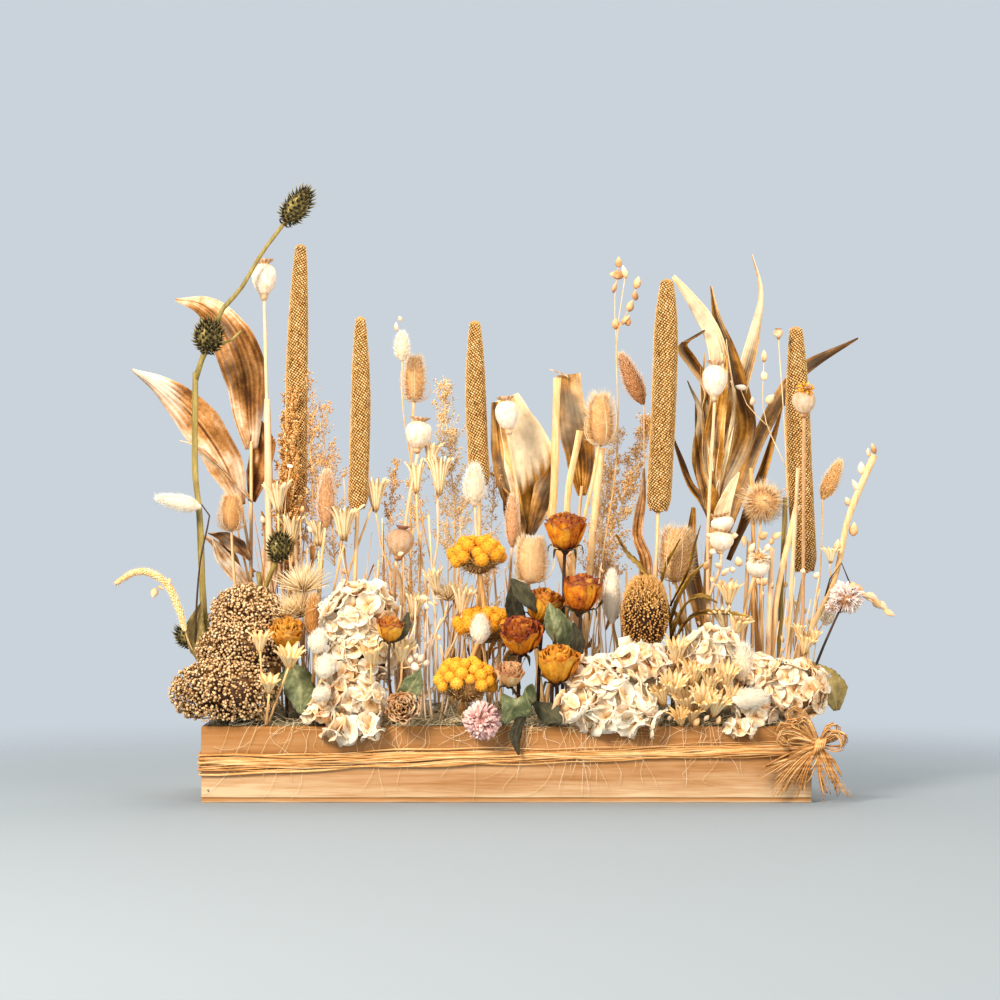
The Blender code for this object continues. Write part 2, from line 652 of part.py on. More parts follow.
def big_leaves():
    """Large curled leaves at the left and the centre, and the tall corn husk."""
    long_leaf = [(-274, 40, 296), (-300, 38, 333), (-329, 36, 379), (-359, 36, 414), (-384, 36, 431)]
    wide_leaf = [(-262, 46, 352), (-266, 48, 384), (-270, 46, 430), (-288, 44, 474), (-312, 46, 498), (-341, 52, 504)]
    pieces = [foot(-264, 42, 2.5, (-262, 44, 250), (-262, 46, 358), end=2.2)]
    pieces.append(tube([(-263, 43, 240), (-274, 40, 300)], 2.0))
    pieces.append(blade(eased(long_leaf, 2), [4, 9, 13, 15, 15, 14, 11, 7, 1.5], (0.7, 0.2, 0.7), 0.35, 0.8))
    pieces.append(blade(eased(wide_leaf, 2), [6, 14, 19, 22, 22, 22, 20, 18, 14, 8, 1.5], (1, 0, 0.35), 0.3, 1.2))
    strap = [(-262, 44, 300), (-292, 36, 330), (-318, 32, 352), (-334, 32, 358)]
    pieces.append(blade(strap, [2, 4, 5, 1], (0.4, 0, 1), 0.2, 0.6))
    low = [(-264, 42, 200), (-282, 36, 236), (-300, 34, 254), (-312, 34, 262)]
    pieces.append(blade(low, [2, 6, 6, 1], (0.5, 0, 1), 0.2, 0.6))
    fuse("leaf_pair_left", pieces, LEAF_TAN, 0.6)

    fold = [(16, 46, 272), (14, 46, 310), (10, 48, 350), (4, 48, 400)]
    flap = [(18, 46, 276), (26, 40, 300), (34, 38, 340), (32, 42, 384)]
    cut = [(78, 52, 305), (74, 52, 345), (66, 53, 390), (62, 54, 427)]
    pieces = [foot(40, 50, 2.5, (24, 46, 200), (16, 46, 285), end=2.0)]
    pieces.append(blade(eased(fold, 2), [5, 12, 17, 20, 21, 18, 12], (1, 0.1, 0), 0.4, 0.8))
    pieces.append(blade(eased(flap, 2), [4, 8, 11, 13, 13, 10, 4], (1, 0.5, 0), -0.3, 0.8))
    pieces.append(tube([(40, 50, 96), (66, 52, 200), (78, 52, 312)], [2.2, 2.0, 2.0]))
    pieces.append(blade(eased(cut, 2), [5, 12, 16, 17, 16, 14, 11], (1, -0.1, 0), 0.35, 0.8))
    fuse("leaf_pair_centre", pieces, LEAF_TAN, 0.6)

    husks = (
        ([(202, 46, 290), (200, 44, 380), (196, 44, 440), (184, 46, 500), (168, 50, 524)], 11, (1, 0.2, 0)),
        ([(206, 46, 290), (208, 50, 400), (206, 52, 470), (212, 54, 518)], 8, (1, -0.3, 0)),
        ([(222, 46, 300), (244, 44, 360), (244, 42, 410), (228, 42, 448), (216, 46, 474)], 11, (1, 0.2, 0)),
        ([(224, 48, 300), (240, 52, 380), (256, 54, 440), (262, 54, 500), (252, 58, 548)], 9, (1, -0.2, 0)),
        ([(222, 50, 290), (236, 56, 360), (270, 60, 410), (320, 60, 440), (366, 62, 462)], 7.5, (0.5, 0, 1)),
        ([(198, 46, 290), (206, 42, 320), (210, 40, 356), (196, 38, 396)], 8, (1, 0.3, 0)),
    )
    pieces = [foot(206, 46, 3.2, (206, 46, 200), (212, 46, 290), sides=6, end=5.0)]
    pieces.append(tube([(212, 46, 280), (212, 46, 312)], [5.0, 9.0], 6))
    for line, wide, side in husks:
        path = eased(line, 1)
        top = len(path) - 1
        widths = [wide * (0.45 + 0.55 * math.sin(math.pi * min(1.0, 1.6 * i / top) / 2)) for i in range(top)]
        pieces.append(blade([(212, 47, 300), *path[1:]], widths + [1.2], side, 0.3, 0.7))
    fuse("corn_husk", pieces, HUSK, 0.6)


def teasels():
    """Bristly cones with curved bracts."""
    pieces = [foot(-262, 20, 1.6, (-276, 12, 220), (-279, 10, 272), end=1.4)]
    pieces += teasel((-279, 10, 268), (-279, 10, 298), 9, 5, 4, 1.2)
    fuse("teasel_left", pieces, TEASEL)

    pieces = [foot(-98, 44, 1.8, (-98, 45, 300), (-95, 45, 405), end=1.5)]
    pieces += teasel((-94, 45, 398), (-94, 45, 446), 11, 7, 4)
    fuse("teasel_centre_left", pieces, TEASEL)

    pieces = [foot(38, 0, 2.0, (54, 4, 180), (84, 8, 300), (95, 8, 362), end=1.6)]
    pieces += teasel((95, 8, 354), (95, 8, 404), 12, 7, 4)
    pieces.append(tube([(38, 0, 94), (24, -2, 190), (22, -10, 214), (25, -18, 226)], [1.8, 1.6, 1.6, 1.6]))
    pieces += teasel((25, -18, 216), (25, -18, 262), 16, 7, 4, 1.15)
    fuse("teasel_pair_centre", pieces, TEASEL)

    pieces = [foot(222, 16, 2.2, (246, 12, 180), (259, 5, 284), end=1.8)]
    pieces.append(ball((259, 5, 296), (14, 14, 14), fine=2, spike=0.45))
    pieces.append(tube([(222, 16, 94), (188, 22, 150), (171, 22, 222)], [2.0, 1.8, 1.6]))
    pieces.append(tube([(174, 22, 208), (163, 22, 228)], 1.6))
    pieces += teasel((176, 22, 218), (180, 22, 266), 8.5, 6, 3)
    pieces += teasel((164, 22, 218), (160, 22, 264), 8.5, 6, 3)
    fuse("teasel_pair_right", pieces, TEASEL)


def bunny_tails():
    """Soft oval heads on thin stems, singly and in small bunches."""
    path = [(-292, -24, 108), (-306, -24, 130), (-311, -27, 152), (-306, -34, 230), (-296, -32, 284), (-305, -32, 293)]
    pieces = [foot(-288, -24, 1.5, *path, end=1.2)]
    pieces.append(bunny((-302, -32, 290), (-342, -32, 297), 10))
    arch = [(-305, -24, 129), (-317, -33, 156), (-322, -38, 178)]
    tail = [(-320, -38, 172), (-326, -40, 190), (-337, -40, 213), (-354, -40, 225), (-371, -40, 225), (-389, -40, 214)]
    pieces.append(tube(arch, [1.3, 1.2, 1.2]))
    pieces.append(cob(eased(tail, 2), [2.4, 3.2, 3.4, 3.4, 3.3, 3.2, 3.0, 2.6, 1.9], 6, 0.16))
    fuse("grass_far_left", pieces, BUNNY)

    pieces = [foot(-194, -28, 1.8, (-191, -10, 180), (-186, -5, 240), (-182, -5, 275), end=1.3)]
    pieces.append(bunny((-182, -5, 270), (-182, -5, 328), 10.5, 6, 7))
    pieces.append(tube([(-192, -17, 150), (-197, -10, 168)], 1.2))
    pieces.append(bunny((-197, -10, 162), (-197, -10, 206), 8))
    for centre in ((-186, -68, 157), (-178, -76, 134), (-184, -86, 108)):
        low = Vector(centre) + Vector((-4, 4, -9))
        pieces.append(tube([(-194, -28, 94), (-194, -56, 100), low, Vector(centre)], 1.1))
        pieces.append(bunny(Vector(centre) + Vector((0, 0, -10)), Vector(centre) + Vector((0, 0, 10)), 8.5, 4))
    fuse("bunny_mid_left", pieces, BUNNY)

    pieces = [foot(-18, -14, 1.8, (-20, 3, 120), (-27, 9, 200), (-32, 4, 296), end=1.3)]
    pieces.append(bunny((-32, 4, 291), (-32, 4, 333), 11.5, 5, 7))
    pieces.append(tube([(-18, -14, 94), (-8, 0, 140), (2, 3, 200), (6, 1, 256)], 1.2))
    pieces.append(bunny((6, 1, 250), (6, 1, 304), 7.8))
    pieces.append(tube([(-18, -14, 94), (-20, -28, 110), (-22, -36, 140), (-26, -47, 160)], 1.2))
    pieces.append(bunny((-26, -48, 156), (-26, -48, 181), 9.5, 4))
    fuse("bunny_centre", pieces, BUNNY)

    pieces = [foot(128, 30, 1.8, (140, 34, 300), (141, 35, 400), end=1.3)]
    pieces.append(bunny((140, 35, 396), (116, 35, 448), 8.3, 6))
    pieces.append(tube([(129, 30, 110), (112, 2, 150), (106, -14, 182)], 1.2))
    pieces.append(bunny((106, -16, 174), (106, -16, 226), 8.8, 5))
    strap = [(129, 30, 150), (143, 27, 226), (134, 30, 262), (139, 31, 300), (141, 33, 330)]
    pieces.append(blade(strap, [2, 5, 6, 6, 2], (1, 0.3, 0), 0.2, 0.5))
    fuse("bunny_mid_right", pieces, BUNNY)

    pieces = [foot(236, -30, 1.6, (233, -40, 122), end=1.3)]
    pieces.append(bunny((233, -40, 118), (233, -40, 152), 13, 4, 7))
    pieces.append(tube([(236, -30, 94), (226, -54, 102), (222, -66, 102), (232, -66, 102)], 1.2))
    pieces.append(bunny((221, -66, 102), (254, -66, 102), 8.8, 4))
    fuse("bunny_low_right", pieces, BUNNY)

    pieces = [foot(288, 18, 1.6, (310, 16, 160), (319, 18, 220), (322, 18, 305), end=1.3)]
    pieces.append(bunny((322, 19, 298), (342, 21, 337), 6.8))
    pieces.append(tube([(306, 16, 148), (316, 19, 162), (328, 22, 180)], 1.2))
    pieces.append(bunny((325, 22, 170), (330, 22, 192), 8.5, 4))
    fuse("bunny_far_right", pieces, BUNNY)


def sprays():
    """Airy grass sprays, thick canes and hanging husks."""
    line = [(-220, 54, 260), (-219, 54, 330), (-216, 55, 400), (-214, 55, 430)]
    pieces = [foot(-224, 54, 1.5, (-220, 54, 268), end=1.4)]
    pieces += spray(line, 3, 12, 30)
    fuse("panicum_left", pieces, STRAW)

    line = [(-53, 50, 272), (-58, 48, 340), (-62, 47, 380), (-64, 46, 420)]
    pieces = [foot(-56, 50, 1.5, (-53, 50, 280), end=1.4)]
    pieces += spray(line, 4, 9, 22)
    pieces.append(tube([(-56, 50, 150), (-80, 24, 250), (-104, 20, 380), (-106, 20, 448)], 1.2))
    pieces.append(bunny((-106, 20, 440), (-106, 20, 468), 8.6, 4))
    fuse("panicum_centre", pieces, STRAW)

    line = [(98, 42, 236), (118, 42, 290), (134, 42, 340), (146, 42, 384)]
    pieces = [foot(96, 50, 1.5, (96, 46, 180), (99, 42, 240), end=1.4)]
    pieces += spray(line, 8, 10, 22)
    fuse("panicum_right", pieces, STRAW)

    pieces = [foot(76, 22, 3.6, (80, 24, 150), sides=6)]
    pieces.append(tube([(80, 24, 140), (47, 26, 270), (49, 26, 310), (52, 26, 422)], [2.6, 3.6, 4.6, 4.2], 6))
    pieces.append(tube([(80, 24, 140), (62, 20, 280), (75, 20, 368)], [2.6, 3.8, 3.8], 6))
    pieces.append(tube([(80, 24, 140), (85, 30, 220), (97, 30, 351)], [2.8, 4.6, 4.6], 6))
    pieces.append(tube([(80, 24, 140), (112, 34, 330), (113, 34, 461), (121, 34, 480)], [1.6, 1.2, 1.1, 0.9]))
    husks = [(115, 34, 540), (122, 34, 530), (111, 34, 514), (134, 34, 520), (132, 34, 506), (124, 34, 480)]
    pieces.append(tube([(113, 34, 455), (111, 34, 512), (115, 34, 538)], 0.8))
    pieces.append(tube([(113, 34, 470), (122, 34, 528)], 0.8))
    pieces.append(tube([(113, 34, 470), (131, 34, 504), (134, 34, 518)], 0.8))
    pieces += drops(husks)
    fuse("grass_centre", pieces, STRAW)

    pieces = [foot(268, 4, 2.6, (290, 8, 130), (331, 8, 213), (347, 8, 280), (373, 8, 343), sides=6, end=3.8)]
    pieces.append(tube([(268, 4, 94), (272, -4, 195), (293, -5, 292)], [2.2, 3.4, 3.2], 6))
    pieces.append(tube([(268, 4, 94), (282, 6, 200), (284, 10, 330), (276, 12, 465)], [1.4, 1.2, 1.0, 0.9]))
    pieces.append(ball((276, 12, 466), (5, 5, 4)))
    pieces.append(tube([(284, 10, 330), (262, 14, 384), (262, 16, 442)], 0.9))
    pieces.append(tube([(268, 13, 370), (246, 14, 392), (238, 14, 410)], 0.8))
    pieces += drops([(262, 16, 444), (238, 14, 412)], (6, 3.5, 7))
    for place in ((367, 8, 346), (354, 8, 312), (335, 8, 252)):
        pieces.append(ball(place, (6.5, 3.6, 8.0)))
    pieces.append(tube([(331, 8, 213), (327, 4, 228), (328, 2, 236)], 1.0))
    pieces.append(star((328, 2, 240), (0, 0, 1), 7, 5, 0.5, 10, 3))
    pieces.append(tube([(331, 8, 210), (344, 7, 212), (356, 6, 206)], 1.4))
    pieces.append(cob([(352, 6, 208), (388, 6, 182)], [4.0, 5.0, 4.4, 5.0, 3.6], 6, 0.2))
    fuse("grass_right", pieces, STRAW)


# ---- flowers ----
def roses():
    """Large and small roses, and the dark twigs with leaves."""
    rows = (
        ((56, -8), [(58, -8, 230), (59, -18, 250)], (59, -28, 266), 20.5, (0, -0.25, 1), 0.2),
        ((70, -38), [(72, -42, 150), (74, -46, 190)], (74, -48, 205), 20.5, (0.1, -0.15, 1), 0.5),
        ((30, -30), [(34, -30, 150), (36, -30, 178)], (37, -30, 192), 19.0, (0.35, -0.3, 1), 0.3),
        ((12, -46), [(12, -50, 120), (14, -58, 150)], (14, -62, 163), 20.5, (-0.05, -0.6, 1), 0.0),
        ((50, -48), [(50, -54, 105), (50, -64, 120)], (50, -68, 136), 20.5, (0.05, -0.3, 1), 0.1),
    )
    for number, (where, path, centre, size, axis, shut) in enumerate(rows):
        low = Vector(centre) - Vector(axis).normalized() * size * 0.7
        pieces = [foot(*where, 2.0, *path, low), rose(centre, size, axis, shut, number * 0.3)]
        if number == 2:
            leaf = [(30, -44, 188), (22, -50, 198), (14, -52, 208), (6, -54, 218)]
            pieces.append(blade(leaf, [2, 7, 8, 1], (0.6, 0, 1), 0.2, 0.5))
        fuse(f"rose_bloom_{number + 1}", pieces, ROSE, keep=0.85)

    pieces = [foot(-218, -42, 1.8, (-218, -46, 140), (-218, -50, 160))]
    pieces.append(rose((-218, -50, 164), 16, (0.2, -0.6, 1), 0.2, 0.2, 8))
    leaf = [(-217, -46, 134), (-206, -60, 126), (-202, -68, 112), (-201, -71, 92)]
    pieces.append(tube([(-218, -45, 128), (-214, -56, 130)], 1.2))
    pieces.append(blade(eased(leaf, 2), [2, 8, 12, 15, 14, 9, 1.5], (1, 0.1, 0.1), 0.25, 0.8, 0.12))
    fuse("rose_small_left", pieces, ROSE_PALE)

    pieces = [foot(-110, -54, 1.8, (-115, -82, 124), (-115, -85, 152), (-114, -85, 168), end=1.5)]
    pieces.append(rose((-114, -85, 170), 11.5, (-0.1, -0.1, 1), 0.7, 0.0, 8))
    pieces.append(blade([(-112, -84, 160), (-102, -84, 172), (-98, -84, 184)], [3, 7, 2], (1, 0, -0.4), 0.2))
    pieces.append(tube([(-110, -54, 94), (-106, -74, 96), (-101, -84, 94)], 1.6))
    pieces.append(rose((-101, -86, 94), 15, (0, -1, 0.1), 0.3, 0.4, 8))
    leaf = [(-106, -76, 98), (-96, -84, 110), (-90, -88, 120), (-84, -88, 130)]
    pieces.append(blade(leaf, [2, 6, 8, 1], (0.6, 0.2, -0.7), 0.2, 0.4, 0.1))
    fuse("rose_small_pair", pieces, ROSE_PALE)

    pieces = [foot(44, -30, 1.8, (46, -38, 125), (48, -54, 168), end=1.4)]
    pieces.append(blade([(48, -50, 158), (47, -56, 168), (45, -60, 180), (43, -58, 193)], [2, 9, 9, 1.5], (1, 0.1, 0), 0.2, 0.4, 0.12))
    pieces.append(tube([(44, -30, 94), (30, -60, 100), (26, -74, 98)], 1.6))
    leaf = [(27, -72, 96), (18, -84, 104), (8, -88, 96), (0, -88, 82)]
    pieces.append(blade(eased(leaf, 2), [2, 9, 15, 17, 14, 9, 1.5], (0.4, 0, 1), 0.25, 0.6, 0.12))
    leaf = [(27, -73, 98), (36, -78, 92), (44, -80, 88), (52, -82, 84)]
    pieces.append(blade(leaf, [2, 9, 9, 1.5], (-0.2, 0.3, 1), 0.2, 0.5, 0.12))
    leaf = [(25, -73, 98), (14, -79, 82), (8, -81, 66), (4, -81, 50)]
    pieces.append(blade(leaf, [2, 7, 7, 1.5], (1, 0.1, 0.3), 0.2, 0.5, 0.12))
    pieces.append(tube([(30, -60, 99), (12, -66, 104), (4, -74, 116)], 1.4))
    pieces.append(rose((3, -76, 126), 13, (0, -0.4, 1), 0.4, 0.0, 8))
    fuse("rose_stems", pieces, TWIG)


def clusters():
    """Mustard ball heads, the banksia cone with its leaves, and yarrow."""
    pieces = [foot(-46, -46, 2.2, (-38, -34, 128), (-22, -20, 176), (-28, -30, 244), end=2.0)]
    pieces.append(tube([(-46, -46, 94), (-42, -60, 116)], 2.0))
    heads = (((-28, -30, 243), (28, 20, 21)), ((-20, -18, 172), (31, 15, 15)), ((-41, -64, 120), (29, 18, 24)))
    for place, size in heads:
        pieces.append(ball(place, [s * 0.98 for s in size]))
        pieces += balls_over(place, size, 8, 8.8, 0.35)
    fuse("lonas_bunch", pieces, MUSTARD)

    pieces = [foot(136, -22, 3.0, (137, -32, 165), sides=6)]
    radii = [14, 21, 24, 24.5, 24, 22, 18, 10]
    pieces.append(cob([(138, -35, 154), (138, -35, 218)], radii, 12, 0.09))
    fuse("banksia_head", pieces, BANKSIA, keep=1.0)

    pieces = [foot(168, -6, 2.2, (166, -2, 170), (156, 0, 215), end=1.8)]
    leaves = (
        ([(156, 0, 212), (163, 0, 232), (170, 0, 246), (176, 2, 256)], 5.0, (0.8, 0, -0.4)),
        ([(166, -2, 176), (176, -4, 200), (190, -4, 222), (206, -4, 238)], 6.0, (0.8, 0, -0.6)),
        ([(166, -3, 158), (180, -10, 190), (196, -12, 200), (210, -14, 194)], 5.0, (0.3, 0, -1)),
        ([(167, -4, 150), (184, -22, 178), (210, -30, 184), (238, -44, 182)], 5.0, (0.1, 0, -1)),
        ([(156, 0, 208), (136, 0, 232), (122, -2, 246), (112, -2, 262)], 4.5, (0.8, 0, 0.5)),
    )
    for line, wide, side in leaves:
        path = eased(line, 2)
        widths = [wide * min(1.0, 0.4 + 0.3 * i) for i in range(len(path) - 1)] + [0.9]
        pieces.append(blade(path, widths, side, 0.2, 0.0, 0.24))
    fuse("banksia_leaves", pieces, LEAF_OLIVE, 0.7)

    pieces = [foot(-274, -36, 2.4, (-268, -32, 140), (-260, -28, 180), sides=4, end=2.0)]
    pieces.append(tube([(-274, -36, 94), (-284, -56, 104)], 2.0))
    heads = (((-259, -28, 184), (34, 21, 26)), ((-272, -45, 142), (33, 23, 19)), ((-288, -62, 104), (40, 26, 28)))
    for place, size in heads:
        pieces.append(relief_dome(place, size, 6, 14))
    fuse("yarrow_bunch", pieces, YARROW, keep=0.9)


def hydrangeas():
    """Clusters of four-petalled florets, some hanging over the rim."""
    pieces = [foot(-150, -44, 2.4, (-150, -40, 172), end=2.0)]
    pieces.append(tube([(-150, -43, 96), (-155, -62, 103)], 2.0))
    cores = [((-148, -38, 178), (31, 18, 31))]
    florets = [((-148, -38, 178), (34, 20, 34), 14)]
    pieces += head_of_florets(cores, florets, 14, 11)
    cores = [((-156, -62, 102), (18, 10, 12))]
    florets = [((-156, -64, 104), (17, 11, 12), 6)]
    pieces += head_of_florets(cores, florets, 11, 11)
    for x, z in ((-172, 70), (-150, 66), (-132, 72)):
        pieces.append(tube([(-152, -62, 102), (x, -76, 88), (x, -79, z)], [1.6, 1.3, 1.2]))
        pieces.append(star((x, -80, z), (0, -1, 0.25), 12, 4, 0.5, 4.0, 1.5, x * 0.1))
    fuse("hydrangea_left", pieces, PETAL)

    cores = [((102, -58, 114), (28, 14, 17)), ((130, -60, 132), (18, 12, 17))]
    florets = [((102, -60, 114), (31, 18, 20), 12), ((132, -60, 134), (20, 14, 16), 4)]
    pieces = [foot(100, -46, 2.4, (100, -54, 112), end=2.0)]
    pieces.append(tube([(106, -54, 112), (130, -60, 134)], 2.0))
    pieces += head_of_florets(cores, florets, 13.5, 12)
    pieces.append(tube([(104, -50, 102), (150, -40, 104), (196, -44, 136), (199, -45, 148)], 1.6))
    pieces.append(ball((200, -45, 151), (11, 8, 12)))
    pieces += head_of_florets([], [((200, -45, 151), (12, 9, 13), 5)], 11, 13)
    fuse("hydrangea_centre", pieces, PETAL)

    cores = [((283, -48, 112), (27, 18, 24))]
    florets = [((283, -48, 112), (30, 20, 27), 13)]
    pieces = [foot(264, -46, 2.4, (270, -48, 104), end=2.0)]
    pieces += head_of_florets(cores, florets, 13.5, 14)
    for x, z in ((222, 76), (234, 72)):
        pieces.append(tube([(272, -52, 104), (250, -72, 90), (x, -79, z)], [1.6, 1.3, 1.2]))
        pieces.append(star((x, -80, z), (0, -1, 0.25), 9, 4, 0.5, 4.0, 1.5, x * 0.1))
    fuse("hydrangea_right", pieces, PETAL)


def papery_flowers():
    """Two straw flowers with layered bracts, one with an olive leaf."""

    def straw_flower(centre, wide, axis):
        profile = [
            (0, -wide * 0.5),
            (wide * 0.5, -wide * 0.42),
            (wide, -wide * 0.05, True),
            (wide * 0.74, 0.0),
            (wide * 0.80, wide * 0.22, True),
            (wide * 0.50, wide * 0.10),
            (wide * 0.52, wide * 0.36, True),
            (wide * 0.26, wide * 0.20),
            (0, wide * 0.30),
        ]
        return turned(profile, centre, axis, 12, 0.10)

    pieces = [foot(-24, -56, 1.6, (-24, -62, 98), (-24, -76, 86))]
    pieces.append(straw_flower((-24, -84, 82), 18.5, (0, -1, 0.1)))
    fuse("strawflower_front", pieces, PINK, keep=1.0)

    pieces = [foot(290, -2, 1.6, (316, -2, 140), (334, -4, 182), (340, -5, 194), end=1.4)]
    pieces.append(straw_flower((342, -5, 199), 16.5, (0.1, -0.25, 1)))
    leaf = [(308, -2, 130), (318, -10, 118), (326, -14, 104), (330, -14, 92)]
    pieces.append(blade(eased(leaf, 2), [2, 10, 14, 16, 14, 9, 1.5], (1, 0.3, 0.4), 0.25, 0.8))
    fuse("strawflower_right", pieces, PINK)


def funnel(centre, wide, high, lean=(0, 0, 1)):
    """A flared ribbed funnel pod, its apex at the bottom."""
    return star(centre, lean, wide, 5, 0.66, high, wide * 0.35)


def pods():
    """Funnel pods, star pods with horns, plumes and buds."""

    def stalk(start, middle, end):
        return tube([start, middle, end], [1.7, 1.4, 1.3])

    pieces = [foot(-186, 18, 2.0, (-190, 16, 150), end=1.8)]
    tops = (
        ((-217, 15, 262), (-216, 15, 215), 11, 18),
        ((-190, 8, 258), (-190, 14, 205), 9.5, 15),
        ((-164, -2, 272), (-170, 6, 210), 13, 24),
    )
    for place, middle, wide, high in tops:
        pieces.append(stalk((-190, 16, 145), middle, Vector(place) + Vector((0, 0, -high * 0.55))))
        pieces.append(funnel(place, wide, high))
    pieces.append(tube([(-190, 16, 146), (-204, 5, 200), (-203, -14, 215)], [1.5, 1.3, 1.3]))
    pieces.append(ball((-203, -20, 221), (8.5, 8.5, 8.5), spike=0.45))
    fuse("nigella_left", pieces, FUNNEL)

    pieces = [foot(-82, -10, 2.0, (-82, -8, 150), end=1.8)]
    tops = (((-133, 22, 304), (-122, 22, 235), 11, 22), ((-70, 14, 322), (-70, 14, 250), 10.5, 28))
    for place, middle, wide, high in tops:
        neck = Vector(place) + Vector((0, 0, -high * 0.55))
        pieces.append(tube([(-82, -8, 145), (-86, 24, 185), middle, neck], [1.7, 1.5, 1.4, 1.3]))
        pieces.append(funnel(place, wide, high))
    pieces.append(tube([(-82, -8, 148), (-62, -10, 180), (-58, -12, 198)], [1.5, 1.3, 1.3]))
    pieces.append(ball((-58, -12, 206), (9.5, 9, 9.5), spike=0.45))
    for place in ((-74, 13, 352), (-86, 14, 338)):
        pieces.append(tube([(-70, 14, 292), place], 0.9))
        pieces.append(ball(place, (3.4, 3.4, 4.4)))
    fuse("nigella_centre", pieces, FUNNEL)

    pieces = [foot(240, -12, 2.0, (234, -18, 130), (230, -22, 150), end=1.6)]
    tops = (((222, -30, 202), (226, -24, 176), 9, 12), ((230, -34, 170), (231, -26, 152), 7, 10))
    for place, middle, wide, high in tops:
        pieces.append(tube([(232, -20, 140), middle, Vector(place) + Vector((0, 0, -high * 0.5))], 1.2))
        pieces.append(star(place, (0, -0.2, 1), wide, 6, 0.5, high, wide * 0.5))
    pieces.append(tube([(233, -19, 135), (240, -16, 190), (251, -18, 226)], [1.6, 1.8, 1.8]))
    pieces.append(star((252, -18, 234), (0.1, -0.5, 1), 14, 8, 0.72, 12, 4))
    fuse("nigella_right", pieces, FUNNEL)

    groups = (
        ("star_pods_left", (-238, -56), (((-241, -82, 156), 8, 14), ((-212, -84, 142), 13, 12), ((-232, -86, 116), 9, 11))),
        ("star_pods_middle", (-126, -50), (((-133, -74, 144), 11.5, 13), ((-103, -66, 146), 10.5, 13))),
        ("star_pods_right", (178, -54), (((168, -58, 148), 10, 15), ((164, -72, 112), 12.5, 17), ((194, -78, 100), 13, 13), ((216, -66, 122), 11, 16))),
    )
    for name, where, heads in groups:
        pieces = [foot(*where, 1.8, (where[0], where[1] - 2, 102))]
        for place, wide, high in heads:
            low = Vector(place) + Vector((0, 0, -high * 0.5))
            middle = Vector((where[0], where[1] - 1, 98)).lerp(low, 0.5) + Vector((0, 4, -3))
            pieces.append(tube([(where[0], where[1] - 1, 98), middle, low], 1.3))
            pieces.append(star(place, (0, -0.35, 1), wide, 5, 0.38, high, wide * 0.75, place[0] * 0.1))
        if name == "star_pods_middle":
            buds = ((-93, -66, 140), (-86, -68, 143), (-80, -64, 137))
            for place in buds:
                pieces.append(tube([(-103, -66, 138), place], 0.9))
                pieces.append(ball(place, (4, 4, 4)))
        fuse(name, pieces, STAR)


def build():
    """Build every node; the filling comes last, since it needs every foot."""
    clear_scene()
    bpy.context.scene.collection.children.link(COLLECTION)
    bpy.context.scene.collection.children.link(LOOSE)
    trough()
    raffia()
    millets()
    datura()
    poppies()
    big_leaves()
    teasels()
    bunny_tails()
    sprays()
    roses()
    clusters()
    hydrangeas()
    papery_flowers()
    pods()
    filling()
    for node in list(LOOSE.objects):
        bpy.data.objects.remove(node)
    bpy.data.collections.remove(LOOSE)


build()
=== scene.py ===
"""Dried flower centrepiece in a long wooden box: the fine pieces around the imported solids.

Every length in this file is in millimetres. Shape turns millimetres into metres when it makes a mesh.
"""

import json
import logging
import math
from dataclasses import dataclass
from enum import Enum
from typing import ClassVar, NamedTuple, Protocol, Sequence

import bpy
import numpy as np
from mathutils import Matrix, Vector

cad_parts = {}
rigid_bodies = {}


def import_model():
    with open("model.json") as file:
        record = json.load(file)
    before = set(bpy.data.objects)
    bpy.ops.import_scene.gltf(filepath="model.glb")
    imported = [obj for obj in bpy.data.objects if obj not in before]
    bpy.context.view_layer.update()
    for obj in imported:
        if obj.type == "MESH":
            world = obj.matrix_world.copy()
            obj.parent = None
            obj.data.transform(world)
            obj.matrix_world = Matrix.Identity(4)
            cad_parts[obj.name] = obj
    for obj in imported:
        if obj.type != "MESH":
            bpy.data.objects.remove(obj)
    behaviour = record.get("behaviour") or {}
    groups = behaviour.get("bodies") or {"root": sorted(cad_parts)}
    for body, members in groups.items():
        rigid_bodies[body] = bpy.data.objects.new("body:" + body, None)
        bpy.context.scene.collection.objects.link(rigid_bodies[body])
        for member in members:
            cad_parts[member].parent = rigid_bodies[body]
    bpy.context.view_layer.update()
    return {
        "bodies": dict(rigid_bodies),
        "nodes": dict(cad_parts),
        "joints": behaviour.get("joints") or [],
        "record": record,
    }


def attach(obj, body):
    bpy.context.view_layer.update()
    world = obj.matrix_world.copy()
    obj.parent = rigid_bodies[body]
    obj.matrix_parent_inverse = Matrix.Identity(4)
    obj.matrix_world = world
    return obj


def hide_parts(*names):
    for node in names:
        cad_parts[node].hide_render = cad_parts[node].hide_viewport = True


LOG = logging.getLogger("centrepiece")
MM = 0.001
TAU = 2 * math.pi
GOLDEN_TURN = 2.39996
SIDEWAYS = np.array((0.531, 0.772, -0.35))
UP = (0.0, 0.0, 1.0)
SOIL = 70
FIRST_SEED = 101

Array = np.ndarray
Values = Array | float
Point = tuple[float, float, float]
Line = Sequence[Point]


# ---------------------------------------------------------------- finishes


def linear(code: str) -> tuple[float, float, float, float]:
    """Turns a six-figure colour code into the linear colour that a shader takes.

    Args:
        code: six hexadecimal figures.

    Returns:
        Red, green, blue and alpha.
    """
    parts = [int(code[i : i + 2], 16) / 255 for i in (0, 2, 4)]
    red, green, blue = [c / 12.92 if c <= 0.04045 else ((c + 0.055) / 1.055) ** 2.4 for c in parts]
    return red, green, blue, 1.0


